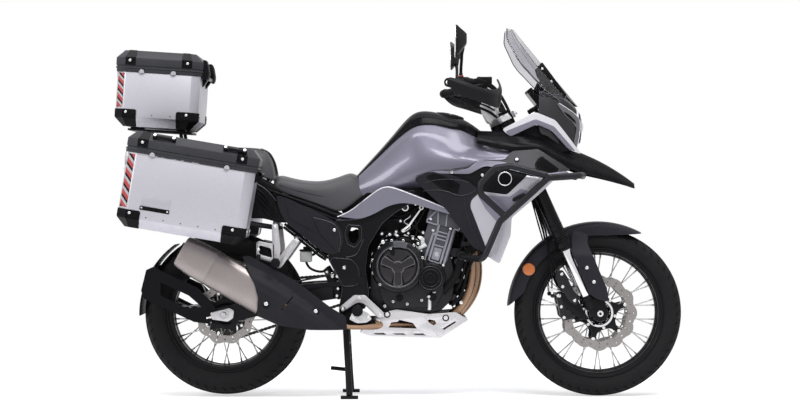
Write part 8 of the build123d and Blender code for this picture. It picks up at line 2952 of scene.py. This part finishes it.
lampRows = [(0.6, 1.012, 0.096, 1.15, 0.084), (0.66, 0.985, 0.096, 1.14, 0.082),
    (0.7, 0.99, 0.078, 1.118, 0.066), (0.708, 1.01, 0.064, 1.1, 0.054)]


def lampAndScreen():
    def lampForm(x, z):
        low, halfLow, high, halfHigh = rowAt(cowlRows if x < 0.688 else lampRows, x)
        share = max(0.0, min(1.0, (z - low) / (high - low)))
        half = halfLow + (halfHigh - halfLow) * share
        return half if x < 0.688 else half + 0.004

    # the clear wrap of the lamp's side, the dark fin inside it
    view = [(0.612, 1.146), (0.62, 1.149), (0.66, 1.125), (0.69, 1.104), (0.7035, 1.082),
        (0.7055, 1.05), (0.699, 1.01), (0.6905, 0.978), (0.6785, 0.996), (0.6905, 1.052),
        (0.672, 1.078), (0.646, 1.098), (0.62, 1.134)]
    side = skinPanel("lampWrap", softened(view, 0.004, 2), lampForm, 0.004, 0.001, 0.006, lift=0.0095)
    settle(bothSides(side), "chassis", "lamp_clear", "lamp_grey")
    inner = [(0.638, 1.117), (0.662, 1.105), (0.684, 1.084), (0.689, 1.07), (0.672, 1.083), (0.65, 1.1)]
    fin = skinPanel("lampFin", softened(inner, 0.003, 2), lampForm, 0.003, 0.0008, 0.006, lift=0.0115)
    settle(bothSides(fin), "chassis", "lamp_clear", "soft_black")
    rim = [(x + 0.0006, z) for x, z in view[1:8]]
    edge = pipe("lampEdge", [(x, -lampForm(x, z) - 0.0095, z) for x, z in rim], 0.0018, sides=4)
    settle(bothSides(edge), "chassis", "lamp_clear", "brow_silver")
    # the front: two lamp eyes on a dark bezel, and the day lamps
    bezel = plate("lampBezel", softened([(-0.07, 1.012), (-0.06, 1.098), (-0.02, 1.112), (0.02, 1.112),
        (0.06, 1.098), (0.07, 1.012), (0.03, 0.996), (-0.03, 0.996)], 0.012), 0.7065, 0.709, lie="YZ")
    settle(rounded(bezel, 0.0008, 2, 30), "chassis", "lamp_clear", "soft_black")
    eyes, bars = [], []
    for s in (-1, 1):
        eye = spun("eye", [(0, 0.0125), (0.01, 0.012), (0.018, 0.009), (0.0225, 0.003), (0.0225, 0.0),
            (0, 0.0)], (0.7085, s * 0.033, 1.058), 40, (1, 0, 0))
        eyes.append(eye)
        bars.append(pipe("dayLamp", [(0.7095, s * 0.012, 1.018), (0.7095, s * 0.04, 1.022),
            (0.7095, s * 0.06, 1.036), (0.7095, s * 0.064, 1.07), (0.7095, s * 0.058, 1.09)], 0.003))
    settle(joined("lampEyes", eyes), "chassis", "lamp_clear", "slider_steel")
    settle(joined("dayLamps", bars), "chassis", "lamp_clear", "stripe_pale")
    # cowl: inner side plate under the brow with its round socket
    under = plate("browInner", softened([(0.45, 1.03), (0.53, 1.064), (0.585, 1.04), (0.66, 0.962),
        (0.6, 0.955), (0.5, 0.975), (0.45, 1.0)], 0.01), -0.128, -0.122)
    ring = spun("browSocket", [(0.0, -0.1295), (0.009, -0.1295), (0.011, -0.1325), (0.0155, -0.1325),
        (0.0185, -0.1295), (0.0185, -0.125), (0.0, -0.125)], (0.578, 0, 1.026), 36)
    for piece in (under, ring):
        twin = bothSides(rounded(tidyMesh(piece), 0.001, 2, 30))
        cut(twin, steeringRoom())
        settle(twin, "chassis", "soft_black", "soft_black")
    # screen: dark lines along the creases and edges as painted shade, the fixing bracket behind it and
    # its screws
    rows = [(0.45, 1.443, 0.04, 0.01, 0.078, 0.03), (0.484, 1.4, 0.074, 0.024, 0.128, 0.066),
        (0.56, 1.308, 0.092, 0.034, 0.168, 0.096), (0.634, 1.218, 0.084, 0.03, 0.15, 0.086),
        (0.699, 1.139, 0.046, 0.012, 0.084, 0.04)]
    lines = []
    for s in (-1, 1):
        crease = [(x - back - 0.002, s * half, z) for x, z, half, back, _, _ in rows]
        lines.append(pipe("crease", crease, 0.0012, order=2, sides=3, steps=4))
        edge = [(x - back - 0.002, s * half, z - 0.004) for x, z, _, _, half, back in rows]
        lines.append(pipe("edge", edge, 0.002, order=2, sides=3, steps=4))
    settle(joined("screenShadeLines", lines), "chassis", "screen_clear", "screen_edge")
    bracket = []
    for s in (-1, 1):
        bracket.append(rounded(plate("screenArm", softened(
            [(0.548, 1.306), (0.558, 1.312), (0.6, 1.256), (0.654, 1.183), (0.646, 1.176),
            (0.592, 1.232), (0.545, 1.285)], 0.004), s * 0.058, s * 0.066), 0.0015, 2, 30))
        bracket.append(rounded(plate("screenArm", softened(
            [(0.536, 1.29), (0.548, 1.3), (0.566, 1.27), (0.6, 1.22), (0.622, 1.188), (0.612, 1.18),
            (0.575, 1.22), (0.544, 1.262)], 0.004), s * 0.07, s * 0.078), 0.0015, 2, 30))
        bracket.append(pin("screenPost", (0.556, s * 0.074, 1.196), (0.568, s * 0.074, 1.262), 0.006,
            20, 0.001))
        bracket.append(rounded(plate("screenFoot", softened(
            [(0.54, 1.176), (0.53, 1.206), (0.548, 1.242), (0.566, 1.236), (0.558, 1.2), (0.59, 1.18),
            (0.58, 1.165)], 0.005), s * 0.07, s * 0.09), 0.002, 2, 30))
    bracket.append(pin("screenBar", (0.55, -0.078, 1.292), (0.55, 0.078, 1.292), 0.005, 20, 0.001))
    bracket.append(pin("screenBar", (0.612, -0.078, 1.196), (0.612, 0.078, 1.196), 0.005, 20, 0.001))
    settle(joined("screenBracket", bracket), "chassis", "soft_black", "soft_black")
    boltsAt("screenScrews", [(0.557, -0.0785, 1.283), (0.551, -0.0905, 1.215), (0.592, -0.0785, 1.232)],
        radius=0.0045, slot="soft_black")
    # dash: housing, face and knobs seen from behind the screen
    dash = rounded(block("dashSkin", (-0.012, -0.086, -0.051), (0.012, 0.086, 0.051)), 0.006, 3)
    dash.data.transform(Matrix.Translation((0.536, 0, 1.166)) @ Matrix.Rotation(radians(-38), 4, "Y"))
    knobs = [pin("dashKnob", (0.51, s * 0.07, 1.12), (0.538, s * 0.074, 1.135), 0.009, 20, 0.002)
        for s in (-1, 1)]
    settle(joined("dashHousing", [dash] + knobs), "chassis", "soft_black", "soft_black")
    face = rounded(block("dashFace", (-0.0135, -0.074, -0.041), (-0.0118, 0.074, 0.041)), 0.0006, 1)
    face.data.transform(Matrix.Translation((0.536, 0, 1.166)) @ Matrix.Rotation(radians(-38), 4, "Y"))
    settle(face, "chassis", "soft_black", "gloss_black")


def frontFiller():
    # what fills the space between the engine, the radiator and the headers
    parts = [
        rounded(plate("regulator", softened([(0.205, 0.34), (0.255, 0.352), (0.258, 0.4),
            (0.21, 0.405)], 0.006), -0.075, -0.02), 0.004, 2, 30),
        rounded(plate("horn", softened([(0.22, 0.47), (0.26, 0.48), (0.262, 0.53), (0.226, 0.548)],
            0.01), -0.105, -0.04), 0.004, 2, 30),
        pipe("loom", [(0.33, -0.125, 0.57), (0.29, -0.12, 0.55), (0.262, -0.118, 0.5),
            (0.25, -0.116, 0.44), (0.236, -0.116, 0.39), (0.2, -0.12, 0.36)], 0.006),
        pipe("loom", [(0.322, -0.13, 0.6), (0.28, -0.13, 0.568), (0.25, -0.128, 0.52),
            (0.245, -0.128, 0.46), (0.218, -0.126, 0.42)], 0.0045),
    ]
    settle(joined("frontFiller", parts), "chassis", "soft_black", "soft_black")
    spots = [(0.238, 0.372, 0.007), (0.226, 0.395, 0.005), (0.244, 0.5, 0.006),
        (0.236, 0.525, 0.0045), (0.25, 0.42, 0.004), (0.21, 0.36, 0.006)]
    bits = [pin("bit", (x, -0.1, z), (x, -0.112, z), r, 16, 0.001) for x, z, r in spots]
    settle(joined("frontBits", bits), "chassis", "soft_black", "bolt_steel")
    # dark sheets of painted shade behind the gaps along the tank and under the trims
    back = plate("tankGapShade", softened([(-0.23, 0.726), (-0.13, 0.8), (-0.1, 0.8), (0.02, 0.82),
        (0.18, 0.812), (0.24, 0.77), (0.2, 0.74), (0.06, 0.77), (-0.04, 0.74), (-0.12, 0.7),
        (-0.2, 0.706)], 0.006), -0.112, 0.112)
    cut(back, steeringRoom())
    settle(rounded(tidyMesh(back), 0.002, 2, 30), "chassis", "soft_black", "void_black")


def screenTongue():
    # the dark tongue on the outside of the screen's foot, bent along the glass
    glass = [(0.56, 1.308, 0.092, 0.034), (0.634, 1.218, 0.084, 0.03), (0.699, 1.139, 0.046, 0.012)]
    rows = [(1.238, 0.08), (1.206, 0.07), (1.174, 0.052), (1.15, 0.034), (1.14, 0.016)]
    lift, wall, half = 0.0024, 0.003, 4

    def place(i, j):
        z, width = rows[j]
        above, below = glass[:2] if z > glass[1][1] else glass[1:]
        share = (above[1] - z) / (above[1] - below[1])
        x, _, crease, back = [a + (b - a) * share for a, b in zip(above, below)]
        y = (i - half) / half * width
        return Vector((x + lift - back * abs(y) / crease, y, z))

    tongue = sheet("screenTongue", 2 * half, len(rows) - 1, place)
    addWall(tongue, wall)
    applyAll(tongue)
    edit(tongue)
    closeEdit()
    settle(rounded(tongue, 0.0008, 1, 30), "chassis", "soft_black", "gloss_black")


def barRisers():
    # the two cast risers that carry the handlebar over the upper yoke
    risers = []
    view = softened([(0.316, 1.148), (0.34, 1.163), (0.364, 1.12), (0.382, 1.082), (0.366, 1.064),
        (0.342, 1.078), (0.326, 1.11)], 0.006)
    for side in (-1, 1):
        body = tidyMesh(plate("riser", view, side * 0.03, side * 0.056))
        risers.append(rounded(body, 0.003, 3, 30))
        risers.append(pin("riserBolt", (0.334, side * 0.056, 1.148), (0.334, side * 0.06, 1.148), 0.006,
            20, 0.001))
    settle(joined("barRisers", risers), "steering", "caliper_metal", "peg_alloy")


forkSkins()
yokesAndBar()
controls()
handGuardSkins()
mirrorSkins()
caliperSkins()
lampAndScreen()
frontFiller()
screenTongue()
barRisers()
print("front end is in")


def rearArm():
    # bevelled cheeks over the swingarm, and the silver adjuster blocks at the axle
    cheeks, blocks, heads = [], [], []
    for side in (-1, 1):
        near, far = side * 0.1365, side * 0.13
        bead = [(-0.2, 0.455), (-0.3, 0.449), (-0.46, 0.407), (-0.61, 0.353), (-0.62, 0.346),
            (-0.46, 0.392), (-0.3, 0.433), (-0.2, 0.44)]
        cheeks.append(rounded(tidyMesh(plate("armBead", bead, near, far)), 0.0015, 2, 30))
        body = softened([(-0.7305, 0.3075), (-0.737, 0.334), (-0.6605, 0.354), (-0.6435, 0.3435),
            (-0.6475, 0.313), (-0.668, 0.299)], 0.006)
        blocks.append(rounded(plate("adjuster", body, side * 0.1495, side * 0.133), 0.003, 3, 30))
        ring = spun("adjusterRing", [(0.0125, side * 0.1495), (0.0135, side * 0.1515),
            (0.0185, side * 0.1515), (0.0195, side * 0.1495)], (-0.684, 0, 0.327), 36)
        nut = spun("axleNut", [(0, side * 0.158), (0.0085, side * 0.158), (0.0115, side * 0.1555),
            (0.0115, side * 0.1495), (0, side * 0.1495)], (-0.684, 0, 0.327), 6)
        blocks += [ring, nut]
        heads.append(pin("adjusterScrew", (-0.724, side * 0.142, 0.32), (-0.752, side * 0.142, 0.313),
            0.0042, 14, 0.0008))
        heads.append(pin("adjusterNut", (-0.733, side * 0.142, 0.3178), (-0.7385, side * 0.142, 0.3164),
            0.0072, 6, 0.0006))
    settle(joined("armBeads", cheeks), "chassis", "frame_black", "side_black")
    settle(joined("axleBlocks", blocks), "chassis", "frame_black", "peg_alloy")
    settle(joined("adjusterScrews", heads), "chassis", "frame_black", "bolt_steel")
    # rear caliper over the disc, with its pins
    parts = [
        rounded(plate("rearCaliper", softened([(-0.64, 0.392), (-0.628, 0.43), (-0.585, 0.44),
            (-0.556, 0.418), (-0.562, 0.385), (-0.6, 0.372)], 0.008), -0.1275, -0.112), 0.003, 3, 30),
        pin("piston", (-0.594, -0.127, 0.408), (-0.594, -0.1315, 0.408), 0.014, 28, 0.002),
        pipe("rearHose", [(-0.575, -0.124, 0.432), (-0.53, -0.128, 0.446), (-0.46, -0.136, 0.438),
            (-0.38, -0.137, 0.46), (-0.3, -0.138, 0.474), (-0.25, -0.138, 0.49)], 0.0036, steps=10),
    ]
    settle(joined("rearCaliperSkin", parts), "chassis", "frame_black", "caliper_black")


huggerArm = {"outer": 0.1255, "slot": slotOf["rear_hugger"]}


def huggerSkin():
    edges, heads = [], []
    view = [(-0.986, 0.5), (-0.96, 0.512), (-0.79, 0.432), (-0.73, 0.372), (-0.716, 0.35),
        (-0.716, 0.336), (-0.738, 0.29), (-0.8, 0.298), (-0.96, 0.372), (-0.996, 0.39), (-1.006, 0.42)]
    window = [(-0.93, 0.452), (-0.82, 0.4), (-0.77, 0.356), (-0.83, 0.352), (-0.93, 0.402)]
    for side in (-1, 1):
        y = side * huggerArm["outer"]
        for points, shrink in ((view, 0.93), (window, 1.12)):
            middle = sum((Vector(p) for p in points), Vector((0, 0))) / len(points)
            loop = [middle + (Vector(p) - middle) * shrink for p in points]
            loop = softened([tuple(p) for p in loop], 0.012, 3)
            edges.append(pipe("huggerBead", [(x, y, z) for x, z in loop + loop[:2]], 0.0024, sides=3,
                steps=3))
        for x, z in ((-0.748, 0.372), (-0.742, 0.318), (-0.96, 0.49)):
            heads.append((x, y + side * 0.0005, z))
    settle(joined("huggerBeads", edges), "chassis", huggerArm["slot"], "side_black")
    rights = [facing(p, (0, 1 if p[1] > 0 else -1, 0), 0.4 * i) for i, p in enumerate(heads)]
    settle(repeated("huggerScrews", capHead(0.006, 0.0035), rights), "chassis", huggerArm["slot"],
        "bolt_steel")


def rackDetails():
    # welded ends, clamps and bolts on the luggage frame
    dark, heads = [], []
    for side in (-1, 1):
        for x, z in ((-0.61, 0.846), (-0.94, 0.902), (-0.966, 0.74), (-0.64, 0.686)):
            dark.append(pin("node", (x, side * 0.213, z), (x, side * 0.231, z), 0.0125, 24, 0.002))
            heads.append((x, side * 0.231, z))
    settle(joined("rackNodes", dark), "chassis", "rack_black")
    rights = [facing(p, (0, 1 if p[1] > 0 else -1, 0)) for p in heads]
    settle(repeated("rackBolts", capHead(0.0055, 0.003), rights), "chassis", "rack_black", "bolt_steel")


def crashBarDetails():
    caps, heads = [], []
    for side in (-1, 1):
        caps.append(pin("barCap", (0.704, side * 0.182, 0.866), (0.707, side * 0.172, 0.866), 0.0142,
            28, 0.002))
        for x, y, z in ((0.398, 0.306, 0.712), (0.56, 0.306, 0.866)):
            caps.append(pin("weld", (x - 0.004, side * y, z - 0.004), (x + 0.004, side * y, z + 0.004),
                0.0142, 28, 0.0015))
        for x, y, z in ((0.24, 0.14, 0.555), (0.374, 0.168, 0.741)):
            caps.append(pin("flange", (x, side * (y - 0.004), z), (x, side * (y + 0.004), z), 0.018, 28,
                0.002))
            heads.append((x, side * (y + 0.004), z))
    settle(joined("crashBarFittings", caps), "chassis", "crash_steel")
    rights = [facing(p, (0, 1 if p[1] > 0 else -1, 0)) for p in heads]
    settle(repeated("crashBarBolts", capHead(0.0075, 0.005), rights), "chassis", "crash_steel",
        "bolt_steel")


def shockSpring():
    low, top, turns = Vector((-0.2058, 0, 0.556)), Vector((-0.1963, 0, 0.637)), 6
    coil = []
    for k in range(turns * 14 + 1):
        a = 2 * pi * k / 14
        coil.append(tuple(low + (top - low) * (k / (turns * 14))
            + Vector((0.0282 * cos(a), 0.0282 * sin(a), 0))))
    settle(pipe("shockSpring", coil, 0.004, sides=4, steps=2), "chassis", "shock_metal", "bolt_steel")
    rings = [pin("springSeat", low + Vector((0, 0, d)), low + Vector((0, 0, d + 0.006)), 0.033, 40,
        0.0015) for d in (-0.006, 0.083)]
    settle(joined("springSeats", rings), "chassis", "shock_metal", "soft_black")


chainLook = {"front": (-0.092, 0.444), "rear": (-0.684, 0.3269), "rearRadius": 0.1116,
    "frontRadius": 0.041, "y": 0.092, "pitch": 0.0159}


def chainLinks():
    # side plates and rollers in pairs all round the loop
    s = chainLook
    front, rear = Vector(s["front"]), Vector(s["rear"])
    gap = front - rear
    slope = atan2(gap.y, gap.x)
    spread = atan2(s["rearRadius"] - s["frontRadius"], gap.length)
    path = []
    for centre, radius, first, last in ((rear, s["rearRadius"], pi / 2 - spread, 3 * pi / 2 + spread),
            (front, s["frontRadius"], -pi / 2 + spread, pi / 2 - spread)):
        for k in range(41):
            a = slope + first + (last - first) * k / 40
            path.append(centre + Vector((cos(a), sin(a))) * radius)
    path.append(path[0])
    lengths = [(b - a).length for a, b in zip(path, path[1:])]
    count = 2 * round(sum(lengths) / s["pitch"] / 2)
    step = sum(lengths) / count

    def along(distance):
        for a, b, size in zip(path, path[1:], lengths):
            if distance <= size:
                return a + (b - a) * (distance / size)
            distance -= size
        return path[-1]

    def plateAt(name, wide):
        half = s["pitch"] / 2
        rearEnd = arcOf((-half, -0.0062), (-half - 0.0062, 0), (-half, 0.0062), 6)
        frontEnd = arcOf((half, 0.0062), (half + 0.0062, 0), (half, -0.0062), 6)
        outline = rearEnd + [(0, 0.0043)] + frontEnd + [(0, -0.0043)]
        both = [plate(name, outline, y - 0.0007, y + 0.0007) for y in (-wide, wide)]
        return joined(name, [tidyMesh(b) for b in both])

    outer, inner, rollers = [], [], []
    for k in range(count):
        a, b = along(k * step), along(min((k + 1) * step, sum(lengths)))
        middle, lie = (a + b) / 2, atan2((b - a).y, (b - a).x)
        place = Matrix.Translation((middle.x, s["y"], middle.y)) @ Matrix.Rotation(-lie, 4, "Y")
        (outer if k % 2 else inner).append(place)
        rollers.append(Matrix.Translation((a.x, s["y"], a.y)))
    roller = pin("roller", (0, -0.0068, 0), (0, 0.0068, 0), 0.0042, 8)
    parts = [repeated("outerLinks", plateAt("outerLink", 0.0058), outer),
        repeated("innerLinks", plateAt("innerLink", 0.0041), inner),
        repeated("rollers", roller, rollers)]
    pinion = spun("pinion", [(0, s["y"] - 0.0035), (s["frontRadius"] - 0.007, s["y"] - 0.0035),
        (s["frontRadius"] - 0.007, s["y"] + 0.0035), (0, s["y"] + 0.0035)], (front.x, 0, front.y), 32)
    settle(joined("chainLinks", parts + [pinion]), "chassis", "chain_steel", replaces=("drive_chain",))


chainLinks()
shockSpring()
rearArm()
huggerSkin()
rackDetails()
crashBarDetails()
print("details are in")
